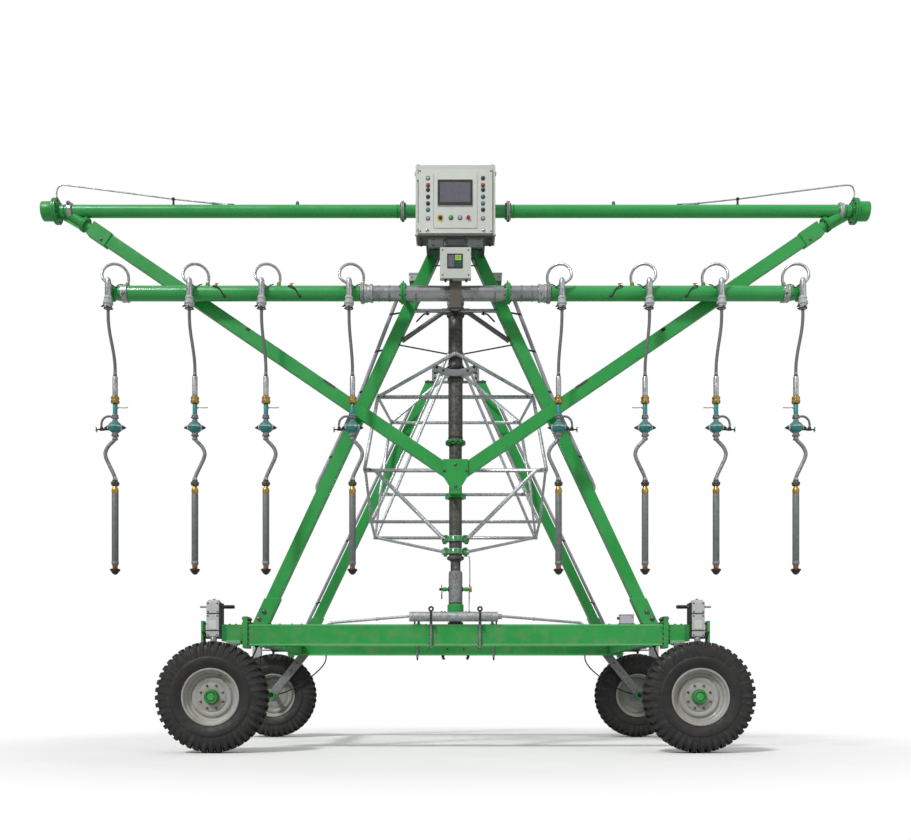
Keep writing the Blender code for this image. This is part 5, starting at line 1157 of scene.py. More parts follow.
def manifold():
    """The galvanised middle of the low boom: pipe, tee to the column, boss for the riser, hanger flanges."""
    centre = Vector((0.0, LOWER_Y, LOWER_Z))
    half = MANIFOLD_HALF
    shape = Shape().turned(centre, X_AXIS, ((-half, LOWER_RADIUS), (half, LOWER_RADIUS)), PIPE_SIDES)
    shape.turned(centre, Y_AXIS, ((0.0, 0.065), (INLET_Y - LOWER_Y - 0.01, 0.065)), 40)
    shape.turned(
        (0.0, RISER_Y, LOWER_Z), UP, ((0.0, 0.05), (0.1, 0.05), (0.112, 0.058), (0.1147, 0.058)), 32
    )
    shape.piece("manifold_pipe", "pipe_steel", replaces=["centre_manifold"])
    flange_joint(
        "manifold_inlet_flange", (0.0, INLET_Y, LOWER_Z), Y_AXIS, 0.1, 0.05, "zinc", 6, 0.01,
        "galvanised_steel"
    )
    for side, word in WORDS.items():
        at = centre + X_AXIS * side * HANGER_X
        flange_joint(f"manifold_hanger_{word}", at, X_AXIS, HANGER_RADIUS, 0.052, "green", 6, 0.012)
        hanger = Shape().block(
            about(at.x, 0.022), (LOWER_Y + 0.06, -1.6705), (LOWER_Z + 0.02, LOWER_Z + 0.07)
        )
        hanger.block(
            sorted((at.x - side * 0.1, at.x + side * 0.04)), (-1.679, -1.6705),
            (LOWER_Z + 0.015, LOWER_Z + 0.11)
        )
        hanger.block(about(at.x, 0.008), about(LOWER_Y, 0.02), (LOWER_Z + 0.105, LOWER_Z + 0.14))
        hanger.piece(f"manifold_hanger_plate_{word}", "green", bevel=0.003)
        bands = Shape()
        for reach in (0.44, 0.74, 0.86):
            profile = ((-0.012, 0.0845), (-0.01, 0.087), (0.01, 0.087), (0.012, 0.0845))
            bands.turned(centre + X_AXIS * side * reach, X_AXIS, profile, PIPE_SIDES)
        bands.piece(f"manifold_bands_{word}", "zinc_dull")


def build_booms():
    upper_boom()
    manifold()
    for side in SIDES:
        stay_wire(side)
        brace_head(side)
        lower_boom(side)


DROP_Y = -2.1
LEVER_DROPS = (1, 2, 3, 6, 7, 8)
PIPE_DROPS = {1: LEFT, 4: LEFT, 5: RIGHT, 7: RIGHT, 8: RIGHT}  # drops with a curled side pipe, and its side
BULGES = {1: LEFT, 2: RIGHT, 3: RIGHT, 4: RIGHT, 5: LEFT, 6: LEFT, 7: RIGHT, 8: RIGHT}
BULGE = 0.11
BEND_TOP, BEND_BOTTOM = 3.4907, 3.0327
# share of the bend's height, share of its bulge
BEND_ROUTE = (
    (0.06, 0.16), (0.14, 0.5), (0.24, 0.82), (0.36, 0.99), (0.48, 0.9), (0.6, 0.68), (0.72, 0.44),
    (0.84, 0.2), (0.94, 0.04)
)
NECK_RADIUS, NECK_TUBE = 0.13, 0.0155
NECK_RISE, NECK_SHIFT, INNER_NECK = 0.174, 0.054, 0.032


def lathe_piece(name, finish, foot, profile, sides=32, body="frame", slot=None, bevel=0.0):
    """A round piece on a plumb line; the profile gives heights above the ground, each with its radius."""
    shape = Shape().turned((foot[0], foot[1], 0.0), UP, profile, sides)
    return shape.piece(name, finish, body, slot, bevel)


def gooseneck(drop):
    """The thin loop off the boom, the silver elbow and the ribbed outlet that the hose hangs from."""
    outlet = outlet_of(drop)
    side = side_of(drop)
    loop_x = outlet.x - side * (NECK_SHIFT - (INNER_NECK if drop in (4, 5) else 0.0))
    loop_z = LOWER_Z + NECK_RISE
    sketch = [Vector((outlet.x - side * 0.012, DROP_Y + 0.01, 5.19))]
    for step in range(9):
        share = step / 8
        angle = math.radians(-30 + 225 * share)
        across = loop_x + side * NECK_RADIUS * math.cos(angle)
        depth = DROP_Y + 0.01 + share * (LOWER_Y - DROP_Y - 0.01)
        sketch.append(Vector((across, depth, loop_z + NECK_RADIUS * math.sin(angle))))
    foot_x = sketch[-1].x + side * 0.012
    boom_top = LOWER_Z + LOWER_RADIUS
    sketch.append(Vector((foot_x, LOWER_Y, boom_top + 0.03)))
    path = smooth_path(sketch, 5)
    Shape().tube(path, NECK_TUBE, 16).piece(f"gooseneck_{drop}", "steel")
    socket = (
        (boom_top - 0.012, 0.026), (boom_top + 0.012, 0.026), (boom_top + 0.014, 0.019),
        (boom_top + 0.036, 0.019), (boom_top + 0.04, 0.015)
    )
    at = (foot_x, LOWER_Y)
    lathe_piece(f"gooseneck_socket_{drop}", "green", at, socket, 28)
    nut = ((boom_top + 0.016, 0.023), (boom_top + 0.033, 0.023))
    lathe_piece(f"gooseneck_nut_{drop}", "brass", at, nut, 6, bevel=0.0015)
    elbow = (
        (5.066, 0.034), (5.075, 0.036), (5.2, 0.035), (5.225, 0.034), (5.245, 0.031), (5.262, 0.025),
        (5.272, 0.016), (5.2755, 0.004)
    )
    lathe_piece(f"elbow_{drop}", "steel", outlet, elbow, 36)
    ribbed = [
        (4.927, 0.03), (4.929, 0.043), (4.944, 0.045), (4.947, 0.039), (4.953, 0.039), (4.956, 0.045),
        (4.972, 0.045), (4.976, 0.051), (4.98, 0.055), (5.006, 0.055), (5.012, 0.05), (5.016, 0.041),
        (5.034, 0.041), (5.038, 0.046), (5.052, 0.046), (5.057, 0.042), (5.07, 0.036)
    ]
    lathe_piece(f"outlet_fitting_{drop}", "nylon", outlet, ribbed, 40)
    collar = ((4.9275, 0.02), (4.9275, 0.047), (4.937, 0.047), (4.939, 0.043), (4.939, 0.02))
    lathe_piece(f"outlet_collar_{drop}", "black", outlet, collar, 40)
    tip = outlet + Vector((-0.048, -0.012, 0.033))
    jets = Shape().turned(tip, (-0.82, -0.2, -0.5), ((-0.01, 0.011), (0.012, 0.011), (0.03, 0.005)), 16)
    nose = ((-0.01, 0.008), (0.006, 0.008), (0.009, 0.005))
    for angle in (0.8, 2.8, 4.8):
        a, b = math.cos(angle), math.sin(angle)
        jets.turned(outlet + Vector((a * 0.05, b * 0.05, 0.012)), (a, b, 0.0), nose, 12)
    jets.piece(f"outlet_jets_{drop}", "black")
    arm = Shape().block(
        about(outlet.x, 0.03), (DROP_Y + 0.028, LOWER_Y - LOWER_RADIUS + 0.02),
        (LOWER_Z - 0.018, LOWER_Z + 0.038)
    )
    arm.piece(f"outlet_arm_{drop}", "green", bevel=0.004)
    band = ((-0.02, 0.0845), (-0.018, 0.088), (0.018, 0.088), (0.02, 0.0845))
    strap = Shape().turned((outlet.x, LOWER_Y, LOWER_Z), X_AXIS, band, 48)
    strap.piece(f"outlet_strap_{drop}", "green_dark")
    link = ((0.02, 0.03, 0.29), (0.06, 0.07, 0.265), (0.075, 0.1, 0.3), (0.11, 0.13, 0.325))
    path = smooth_path([outlet + Vector((-side * x, y, z)) for x, y, z in link], 4)
    Shape().tube(path, 0.006, 10).piece(f"outlet_link_{drop}", "black")


def lathe(shape, foot, profile, sides=32):
    """Add a round body on a plumb line to a shape."""
    return shape.turned((foot[0], foot[1], 0.0), UP, profile, sides)


def sprayer_upper(drop):
    """Connector, teal tube and the bulb with its spray cones, between the hose and the curved pipe."""
    body = f"drop_{drop}"
    at = sprayer_axis(drop)
    ferrule = ((4.178, 0.021), (4.18, 0.0235), (4.1885, 0.0235), (4.1894, 0.019))
    lathe_piece(f"hose_ferrule_{drop}", "dark", at, ferrule, body=body)
    tube = ((3.963, 0.026), (3.966, 0.0295), (4.168, 0.0295), (4.172, 0.0285), (4.178, 0.0235))
    lathe_piece(f"connector_{drop}", "steel", at, tube, 40, body, slot="fittings")
    teal = ((3.748, 0.022), (3.752, 0.0255), (3.868, 0.0255), (3.874, 0.022))
    sprayer = lathe_piece(f"teal_tube_{drop}", "teal", at, teal, body=body)
    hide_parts(f"sprayer_drop_{drop}")
    bulb = [
        (3.552, 0.03), (3.563, 0.048), (3.575, 0.062), (3.592, 0.072), (3.61, 0.076), (3.6125, 0.0785),
        (3.6225, 0.0785), (3.625, 0.076), (3.645, 0.068), (3.665, 0.05), (3.68, 0.03)
    ]
    lathe_piece(f"bulb_{drop}", "teal", at, bulb, 40, body)
    cones, collars = Shape(), Shape()
    cone = ((-0.008, 0.028), (0.01, 0.026), (0.03, 0.017), (0.048, 0.007), (0.052, 0.005))
    collar = ((-0.004, 0.033), (0.012, 0.031), (0.018, 0.024))
    for side in SIDES:
        cones.turned((at[0] + side * 0.07, DROP_Y, 3.612), (side, 0, -0.08), cone, 20)
        collars.turned((at[0] + side * 0.066, DROP_Y, 3.612), (side, 0, -0.08), collar, 24)
    cones.piece(f"spray_cones_{drop}", "black", body)
    collars.piece(f"cone_collars_{drop}", "nylon", body)
    screws = Shape()
    for height, turn in ((3.5225, 0.7), (3.72, 2.4)):
        out = Vector((math.cos(turn), -abs(math.sin(turn)), 0.0))
        seat = Vector((at[0], DROP_Y, height)) + out * 0.034
        screws.turned(seat, out, ((-0.006, 0.007), (0.012, 0.007), (0.014, 0.005)), 12)
    screws.piece(f"clamp_screws_{drop}", "bolt", body)


def sprayer_fittings(drop):
    """The brass nuts, grey fittings and bright bands along the sprayer."""
    body = f"drop_{drop}"
    at = sprayer_axis(drop)
    upper = [
        (3.676, 0.025), (3.682, 0.03), (3.694, 0.03), (3.698, 0.024), (3.708, 0.024), (3.712, 0.039),
        (3.728, 0.04), (3.733, 0.03), (3.738, 0.036), (3.748, 0.036), (3.752, 0.027)
    ]
    lower = [
        (3.47, 0.024), (3.476, 0.031), (3.494, 0.031), (3.498, 0.026), (3.508, 0.0255), (3.516, 0.04),
        (3.53, 0.042), (3.536, 0.034), (3.55, 0.033), (3.556, 0.036)
    ]
    ring = ((2.1, 0.0365), (2.102, 0.0395), (2.128, 0.0395), (2.13, 0.0365))
    grey = Shape()
    for profile in (upper, lower, ring):
        lathe(grey, at, profile, 36)
    grey.piece(f"grey_fittings_{drop}", "zinc_dull", body, slot="fittings")
    clip = ((4.205, 0.0175), (4.206, 0.0205), (4.217, 0.0205), (4.218, 0.0175))
    band = ((3.6085, 0.0762), (3.6095, 0.0805), (3.6255, 0.0805), (3.6265, 0.0762))
    crimp = ((3.026, 0.02), (3.03, 0.0255), (3.052, 0.0255), (3.056, 0.0215))
    bright = Shape()
    for profile in (clip, band, crimp):
        lathe(bright, at, profile, 40)
    bright.piece(f"bright_bands_{drop}", "steel", body)
    union = [
        (3.874, 0.03), (3.878, 0.045), (3.9, 0.05), (3.905, 0.0495), (3.91, 0.043), (3.924, 0.042),
        (3.93, 0.047), (3.944, 0.047), (3.95, 0.042), (3.963, 0.031)
    ]
    nut = [
        (2.87, 0.03), (2.876, 0.036), (2.9, 0.0385), (2.92, 0.0385), (2.935, 0.034), (2.945, 0.026),
        (2.966, 0.024)
    ]
    brass = lathe(lathe(Shape(), at, union, 10), at, nut, 12)
    brass.piece(f"brass_nuts_{drop}", "brass", body, bevel=0.001)


def shut_off(drop):
    """The copper lever on the teal tube."""
    body = f"drop_{drop}"
    x, y = sprayer_axis(drop)
    side = -side_of(drop)
    boss = Shape().turned((x, y, 3.831), (side, 0, 0), ((0.018, 0.011), (0.032, 0.011), (0.036, 0.008)), 16)
    boss.bolt((x + side * 0.034, y, 3.831), (side, 0, 0), 0.008, washer=False)
    boss.piece(f"lever_boss_{drop}", "brass", body)
    sketch = [
        (0.028, 3.8315), (0.05, 3.8325), (0.07, 3.8305), (0.11, 3.83), (0.138, 3.8325), (0.146, 3.829)
    ]
    rings = []
    for reach, height in sketch:
        half = 0.009 if 0.06 < reach < 0.14 else 0.0065
        rings.append([Vector((x + side * reach, y + a * half, height + b * 0.0028)) for a, b in CORNERS])
    Shape().loft(rings).piece(f"shut_off_lever_{drop}", "copper", body, bevel=0.0012)


def side_pipe(drop, side):
    """The curled bypass from the upper fitting, with its small valve below."""
    body = f"drop_{drop}"
    x, y = sprayer_axis(drop)
    sketch = [(0.026, 3.722), (0.055, 3.732), (0.098, 3.726), (0.135, 3.692), (0.148, 3.645), (0.146, 3.6)]
    path = smooth_path([(x + side * reach, y - 0.012, height) for reach, height in sketch], 5)
    Shape().tube(path, 0.0125, 14).piece(f"side_pipe_{drop}", "tube", body)
    end = Vector((x + side * 0.146, y - 0.012, 3.6))
    valve = Shape().turned(
        end + UP * 0.012, -UP, ((0.0, 0.017), (0.012, 0.019), (0.03, 0.019), (0.034, 0.013)), 18
    )
    valve.turned(
        end - UP * 0.014, (side, 0, 0), ((-0.09, 0.009), (-0.03, 0.0095), (-0.028, 0.014), (0.02, 0.014)),
        14
    )
    valve.turned(
        end - UP * 0.014 + X_AXIS * side * 0.02, (side, 0, 0),
        ((0.0, 0.008), (0.03, 0.008), (0.034, 0.005)), 12
    )
    valve.piece(f"side_valve_{drop}", "dark", body, slot="fittings")
    knob = end + Vector((side * 0.052, 0.0, -0.014))
    wings = Shape()
    for turn in range(4):
        angle = turn * math.tau / 4 + 0.5
        out = Vector((0.25 * side, math.cos(angle), math.sin(angle)))
        wings.turned(knob, out, ((0.0, 0.005), (0.026, 0.0065), (0.031, 0.004)), 10)
    wings.piece(f"side_valve_grip_{drop}", "black", body)


def sprayer_lower(drop):
    """The curved pipe, the two union nuts, the long drop tube and its mushroom foot."""
    body = f"drop_{drop}"
    x, y = sprayer_axis(drop)
    bulge = BULGE * BULGES[drop]
    bend = [(x, y, BEND_TOP + 0.004)]
    for share, reach in BEND_ROUTE:
        bend.append((x + bulge * reach, y, BEND_TOP - share * (BEND_TOP - BEND_BOTTOM)))
    bend.append((x, y, BEND_BOTTOM - 0.012))
    Shape().tube(smooth_path(bend, 4), 0.021, 18).piece(f"curved_pipe_{drop}", "zinc_dull", body)
    nuts = [
        (2.962, 0.024), (2.968, 0.04), (2.985, 0.046), (3.0, 0.0475), (3.006, 0.044), (3.01, 0.032),
        (3.03, 0.031)
    ]
    lathe_piece(f"upper_nut_{drop}", "column", (x, y), nuts, 12, body, slot="fittings", bevel=0.001)
    tube = ((2.089, 0.034), (2.093, 0.037), (2.868, 0.037), (2.874, 0.034))
    lathe_piece(f"drop_tube_{drop}", "tube", (x, y), tube, 36, body)
    bit = ((2.047, 0.022), (2.05, 0.028), (2.08, 0.029), (2.0895, 0.031))
    lathe_piece(f"tube_bit_{drop}", "copper", (x, y), bit, 28, body)
    foot = [
        (1.98, 0.006), (1.982, 0.012), (1.99, 0.026), (2.004, 0.037), (2.018, 0.045), (2.028, 0.054),
        (2.036, 0.056), (2.042, 0.054), (2.047, 0.042), (2.051, 0.024)
    ]
    lathe_piece(f"foot_{drop}", "black", (x, y), foot, 36, body)


def build_drops():
    for drop in DROPS:
        gooseneck(drop)
        sprayer_upper(drop)
        sprayer_fittings(drop)
        sprayer_lower(drop)
        if drop in LEVER_DROPS:
            shut_off(drop)
        if drop in PIPE_DROPS:
            side_pipe(drop, PIPE_DROPS[drop])


COLUMN_Y = -1.56
COLUMN_PIPE = 0.0745
CLAMP_Z, LOW_CLAMP_Z = 2.455, 2.31
TOOTHED_Z = 3.541
VALVE_Z = 1.872
SPAN_Z, SPAN_CLEAR = 5.44, 0.079  # the span pipe at its rear end, and its radius with a gap


def column_pipes():
    """The column's pipes with their union, collar and bands, and the flanges of its head."""
    origin = (0.0, COLUMN_Y, 0.0)
    pipe = Shape().turned(
        origin, UP, ((1.4583, 0.09), (1.487, 0.09), (1.489, 0.0745), (1.606, 0.0745)), PIPE_SIDES
    )
    pipe.turned(origin, UP, ((2.075, 0.058), (2.205, 0.058)), PIPE_SIDES)
    pipe.turned(origin, UP, ((2.25, COLUMN_PIPE), (3.545, COLUMN_PIPE)), PIPE_SIDES)
    pipe.turned(
        origin, UP, ((3.596, 0.083), (5.224, 0.083), (5.238, 0.078), (5.249, 0.062), (5.2545, 0.03)),
        PIPE_SIDES
    )
    pipe.turned((0, COLUMN_Y, LOWER_Z), OUT, ((0.0, 0.0645), (0.1335, 0.0645)), PIPE_SIDES)
    pipe.turned((0, COLUMN_Y, LOWER_Z), Y_AXIS, ((0.0, 0.0745), (0.1995, 0.0745)), PIPE_SIDES)
    pipe.piece("column_pipe", "column", replaces=["centre_column"])
    sleeve = (
        (1.711, 0.075), (1.713, 0.0805), (1.86, 0.0805), (2.03, 0.0805), (2.032, 0.078), (2.04, 0.078),
        (2.042, 0.0805), (2.058, 0.0805), (2.06, 0.077), (2.066, 0.077), (2.068, 0.0795), (2.079, 0.072)
    )
    Shape().turned(origin, UP, sleeve, PIPE_SIDES).piece("column_sleeve", "zinc_dull", slot="dark_steel")
    nut = Shape().turned(origin, UP, ((2.203, 0.07), (2.213, 0.096), (2.24, 0.1), (2.252, 0.094)), 8)
    nut.turned(origin, UP, ((2.196, 0.066), (2.206, 0.066)), PIPE_SIDES)
    nut.turned(origin, UP, ((2.25, 0.088), (2.2535, 0.088)), PIPE_SIDES)
    nut.piece("column_union", "column", bevel=0.003)
    Shape().turned(
        origin, UP, ((1.606, 0.088), (1.61, 0.094), (1.69, 0.094), (1.7, 0.082)), PIPE_SIDES
    ).piece("column_collar", "green")
    seal = Shape().turned(origin, UP, ((1.7, 0.079), (1.712, 0.079)), PIPE_SIDES)
    for z in (3.62, 4.3, 5.02):
        band = ((z, 0.08), (z, 0.0864), (z + 0.012, 0.0864), (z + 0.012, 0.08))
        seal.turned(origin, UP, band, PIPE_SIDES)
    seal.piece("column_bands", "dark")
    for word, way, start, radius in (("inlet", -1, 0.1035, 0.1), ("outlet", 1, 0.1697, 0.11)):
        flange = ((start, radius - 0.002), (start + 0.002, radius), (start + 0.028, radius))
        shape = Shape().turned((0, COLUMN_Y, LOWER_Z), (0, way, 0), flange, 48)
        shape.piece(f"column_{word}_flange", "dark", bevel=0.001)
        bolts = Shape()
        for a, b in circle(8, 0.5):
            seat = Vector((a * (radius - 0.017), COLUMN_Y + way * (start - 0.001), LOWER_Z))
            bolts.bolt(seat + UP * b * (radius - 0.017), (0, -way, 0), 0.009, washer=False)
        bolts.piece(f"column_{word}_bolts", "bolt")


def toothed_flange():
    """The green flange pair half way up, with lugs and bolts all round."""
    origin = Vector((0.0, COLUMN_Y, TOOTHED_Z))
    shape = Shape()
    shape.turned(origin, UP, ((0.0, 0.094), (0.002, 0.1), (0.018, 0.1), (0.02, 0.094)), 48)
    shape.turned(origin, UP, ((0.028, 0.1), (0.03, 0.104), (0.055, 0.104), (0.0585, 0.096)), 48)
    for a, b in circle(10, 0.5):
        shape.turned(
            origin + UP * 0.029, (a, b, 0.0), ((0.088, 0.023), (0.112, 0.022), (0.119, 0.015)), 8, phase=0.5
        )
    shape.piece("toothed_flange", "green_dark", bevel=0.002)
    Shape().turned(origin, UP, ((0.019, 0.09), (0.029, 0.09)), 48).piece("toothed_flange_gasket", "dark")


def column_valve():
    """Drain cock on the sleeve: green stubs, a handle on each side, a nut at each end, and the vent tube."""
    green, dark, bright = Shape(), Shape(), Shape()
    at = Vector((0.0, COLUMN_Y, VALVE_Z))
    neck = ((0.078, 0.024), (0.09, 0.025), (0.092, 0.018), (0.104, 0.018), (0.106, 0.0245), (0.148, 0.0245))
    for side in SIDES:
        green.turned(at, (side, 0, 0), neck, 24)
        dark.turned(at, (side, 0, 0), ((0.079, 0.031), (0.084, 0.031)), 24)
        handle = [
            (side * 0.156, 0.052), (side * 0.166, 0.05), (side * 0.163, -0.02), (side * 0.168, -0.11),
            (side * 0.158, -0.116), (side * 0.152, -0.11), (side * 0.152, -0.02)
        ]
        points = [(a, VALVE_Z + b) for a, b in handle]
        dark.prism(points, about(COLUMN_Y, 0.01))
        dark.turned(at, (side, 0, 0), ((0.146, 0.014), (0.172, 0.014)), 18)
    dark.turned(at, (-1, 0, 0), ((0.172, 0.02), (0.182, 0.02), (0.1895, 0.012)), 6)
    bright.turned(at, X_AXIS, ((0.155, 0.034), (0.158, 0.038), (0.184, 0.038), (0.1895, 0.03)), 6)
    green.piece("valve_stubs", "green", bevel=0.001)
    dark.piece("valve_handles", "dark", bevel=0.002)
    bright.piece("valve_nut", "brass", slot="dark_steel", bevel=0.002)
    rod = smooth_path(
        [(0.155, COLUMN_Y, 2.26), (0.165, COLUMN_Y, 2.2), (0.167, COLUMN_Y, 2.0), (0.166, COLUMN_Y, 1.86)],
        6
    )
    rod += smooth_path(
        [(0.16, COLUMN_Y - 0.012, 1.84), (0.158, COLUMN_Y - 0.014, 1.7), (0.155, -1.6, 1.595)], 6
    )
    Shape().tube(rod, 0.0065, 12).piece("vent_tube", "steel", slot="dark_steel")
    Shape().turned((0.0, COLUMN_Y - 0.0575, 2.12), OUT, ((0.0, 0.012), (0.004, 0.011)), 18).piece(
        "neck_plug", "steel", slot="dark_steel"
    )


def clamp_set(z, ear_x, word):
    """A two-part clamp round the column with its bolted ears."""
    shape = Shape()
    inner, outer, half = 0.0755, 0.099, 0.028
    ring = (
        (-half, inner), (-half, outer - 0.003), (0.003 - half, outer), (half - 0.003, outer),
        (half, outer - 0.003), (half, inner)
    )
    shape.turned((0.0, COLUMN_Y, z), UP, ring, 48, closed=True)
    for side in SIDES:
        shape.block(span(side, 0.09, 0.128), (COLUMN_Y - 0.03, COLUMN_Y + 0.012), about(z, 0.045))
        shape.block(span(side, ear_x[0], ear_x[1]), (-1.5, -1.488), (z - 0.05, z + 0.055))
    shape.piece(f"clamp_{word}", "green", bevel=0.003)
    bolts = Shape()
    for side in SIDES:
        for lift in (-0.028, 0.028):
            bolts.bolt((side * 0.109, COLUMN_Y - 0.03, z + lift), OUT, 0.0105)
            bolts.bolt((side * 0.128, COLUMN_Y - 0.01, z + lift), (side, 0, 0), 0.009)
    bolts.piece(f"clamp_{word}_bolts", "bolt", bevel=0.0006)


def truss_plates():
    """Bolted gusset plates where the truss bars meet, with their bolts."""
    plates, bolts = Shape(), Shape()
    corners = ((0.936, -1.1, 4.236), (1.099, -1.1, 3.351), (1.04, 1.4, 3.537), (0.92, 1.4, 4.58))
    for x, y, z in corners:
        for side in SIDES:
            inner, outer, face = x - 0.09, x + 0.004, y - 0.0245
            outline = ((inner, z - 0.02), (inner, z + 0.02), (outer, z + 0.035), (outer, z - 0.035))
            plates.prism([(side * a, b) for a, b in outline], (face - 0.005, face + 0.001))
            for across in (inner + 0.02, outer - 0.02):
                bolts.bolt((side * across, face - 0.005, z), OUT, 0.0095)
    for side in SIDES:
        bolts.bolt((side * 0.145, -1.545, CLAMP_Z), OUT, 0.012)
    plates.piece("truss_plates", "zinc", bevel=0.001)
    bolts.piece("truss_bolts", "bolt")


def span_joints():
    """Bolts of the span pipe's flanges."""
    bolts = Shape()
    for y, z, radius, way in ((-1.36, LOWER_Z, 0.093, 1), (2.2086, SPAN_Z, 0.113, -1)):
        for a, b in circle(8, 0.5):
            bolts.bolt((a * radius, y + way * 0.03, z + b * radius), (0, way, 0), 0.009, washer=False)
    bolts.piece("span_flange_bolts", "bolt")


def build_column():
    column_pipes()
    toothed_flange()
    column_valve()
    clamp_set(CLAMP_Z, (0.105, 0.15), "upper")
    clamp_set(LOW_CLAMP_Z, (0.1, 0.14), "lower")
    truss_plates()
    span_joints()


DOOR_FACE, PANEL_FACE, SCREEN_FACE = -2.1703, -2.1783, -2.1883
LAMP_X, LATCH_X, DOOR_SCREW_X = 0.303, 0.31, 0.39
KNOB_Z = 5.901
LAMP_ROWS = (6.34, 6.262, 6.212, 6.135, 6.061, 5.992, 5.897)
LAMPS_LEFT = ("nylon", "red", "black", "black", "black", "teal", "grey_cable")
LAMPS_RIGHT = ("black", "red", "black", "blue", "teal", "black", "grey_cable")


def pilot_lamp(name, x, z, face, lens, radius=0.025):
    """A panel lamp: square legend plate, dark ring and domed lens."""
    Shape().block(
        (x - radius * 0.95, x + radius * 0.95), (face - 0.0015, face + 0.001), about(z, 0.026)
    ).piece(f"{name}_plate", "nylon", "door", slot="cabinet_paint", bevel=0.0006)
    ring = ((0.0, radius * 0.9), (0.004, radius * 0.9), (0.006, radius * 0.8), (0.006, radius * 0.66))
    Shape().turned((x, face, z), OUT, ring, 28).piece(f"{name}_ring", "dark", "door")
    dome = ((0.004, radius * 0.68), (0.009, radius * 0.66), (0.012, radius * 0.5), (0.0135, radius * 0.22))
    Shape().turned((x, face, z), OUT, dome, 24).piece(f"{name}_lens", lens, "door", slot="black_plastic")


def door_front():
    """Screen, lamps, latches and screws on the cabinet's door."""
    bezel = Shape()
    outer_x, outer_z = (-0.197, 0.187), (6.033, 6.317)
    inner_x, inner_z = (-0.172, 0.162), (6.07, 6.29)
    face = (SCREEN_FACE - 0.003, SCREEN_FACE + 0.002)
    bezel.block(outer_x, face, (inner_z[1], outer_z[1]))
    bezel.block(outer_x, face, (outer_z[0], inner_z[0]))
    bezel.block((outer_x[0], inner_x[0]), face, (inner_z[0] - 0.001, inner_z[1] + 0.001))
    bezel.block((inner_x[1], outer_x[1]), face, (inner_z[0] - 0.001, inner_z[1] + 0.001))
    bezel.piece("screen_bezel", "black", "door", bevel=0.0015)
    Shape().block(inner_x, about(SCREEN_FACE, 0.001), inner_z).piece("screen_glass", "screen", "door")
    seam = Shape()
    for low, high in ((-0.243, -0.239), (0.235, 0.239)):
        seam.block((low, high), about(DOOR_FACE, 0.001), (5.79, 6.386))
    seam.block((-0.243, 0.239), about(DOOR_FACE, 0.001), (6.384, 6.388))
    seam.piece("panel_seam", "zinc_dull", "door", slot="dark_steel")
    for side, lenses in ((LEFT, LAMPS_LEFT), (RIGHT, LAMPS_RIGHT)):
        for row, (z, lens) in enumerate(zip(LAMP_ROWS, lenses)):
            pilot_lamp(f"lamp_{WORDS[side]}_{row + 1}", side * LAMP_X, z, DOOR_FACE, lens)
    pilot_lamp("lamp_run", -0.05, KNOB_Z, PANEL_FACE, "lamp_green", 0.028)
    pilot_lamp("lamp_auto", 0.05, KNOB_Z, PANEL_FACE, "grey_cable", 0.028)
    marks = Shape()
    for x in about(0.0, LATCH_X):
        marks.turned(
            (x, DOOR_FACE, 5.765), OUT, ((0.0, 0.019), (0.004, 0.019), (0.007, 0.014), (0.008, 0.006)), 24
        )
    marks.piece("door_latches", "steel", "door", slot="dark_steel")
    screws = Shape()
    for x in about(0.0, LATCH_X):
        screws.block(about(x, 0.013), (DOOR_FACE - 0.0095, DOOR_FACE - 0.006), (5.762, 5.768))
    for x in about(0.0, DOOR_SCREW_X):
        for z in (5.755, 6.42):
            screws.bolt((x, DOOR_FACE, z), OUT, 0.008, washer=False)
    screws.piece("door_screws", "dark", "door")
    knuckles = Shape()
    for low, high in ((5.778, 5.854), (6.323, 6.399)):
        knuckles.turned((-0.421, -2.1603, low), UP, ((0.0, 0.0085), (high - low, 0.0085)), 20)
    knuckles.piece("door_knuckles", "steel", "door", slot="dark_steel", bevel=0.0005)


def door_knobs():
    """The rotary main switch on its own body, with its plate and mark, and the ring round the stop button.
    """
    Shape().block((-0.2, -0.134), (PANEL_FACE - 0.0015, PANEL_FACE + 0.001), about(KNOB_Z, 0.033)).piece(
        "switch_plate", "yellow", "door", bevel=0.001
    )
    centre = (-0.167, PANEL_FACE - 0.002, KNOB_Z)
    knob = Shape().turned(centre, OUT, ((0.0, 0.02), (0.006, 0.0215), (0.012, 0.0195), (0.013, 0.012)), 32)
    grip_y = (-2.2075, PANEL_FACE - 0.012)
    knob.block((-0.174, -0.16), grip_y, about(KNOB_Z, 0.019))
    knob.piece("switch_knob", "black", "switch", bevel=0.002, replaces=["main_switch"])
    Shape().block((-0.1685, -0.1655), (-2.2083, -2.2065), (5.904, 5.918)).piece(
        "switch_mark", "nylon", "switch", slot="black_plastic"
    )
    Shape().turned(
        (0.141, PANEL_FACE, KNOB_Z), OUT, ((0.0, 0.024), (0.003, 0.024), (0.005, 0.02)), 32
    ).piece("stop_ring", "nylon", "door", slot="cabinet_paint")


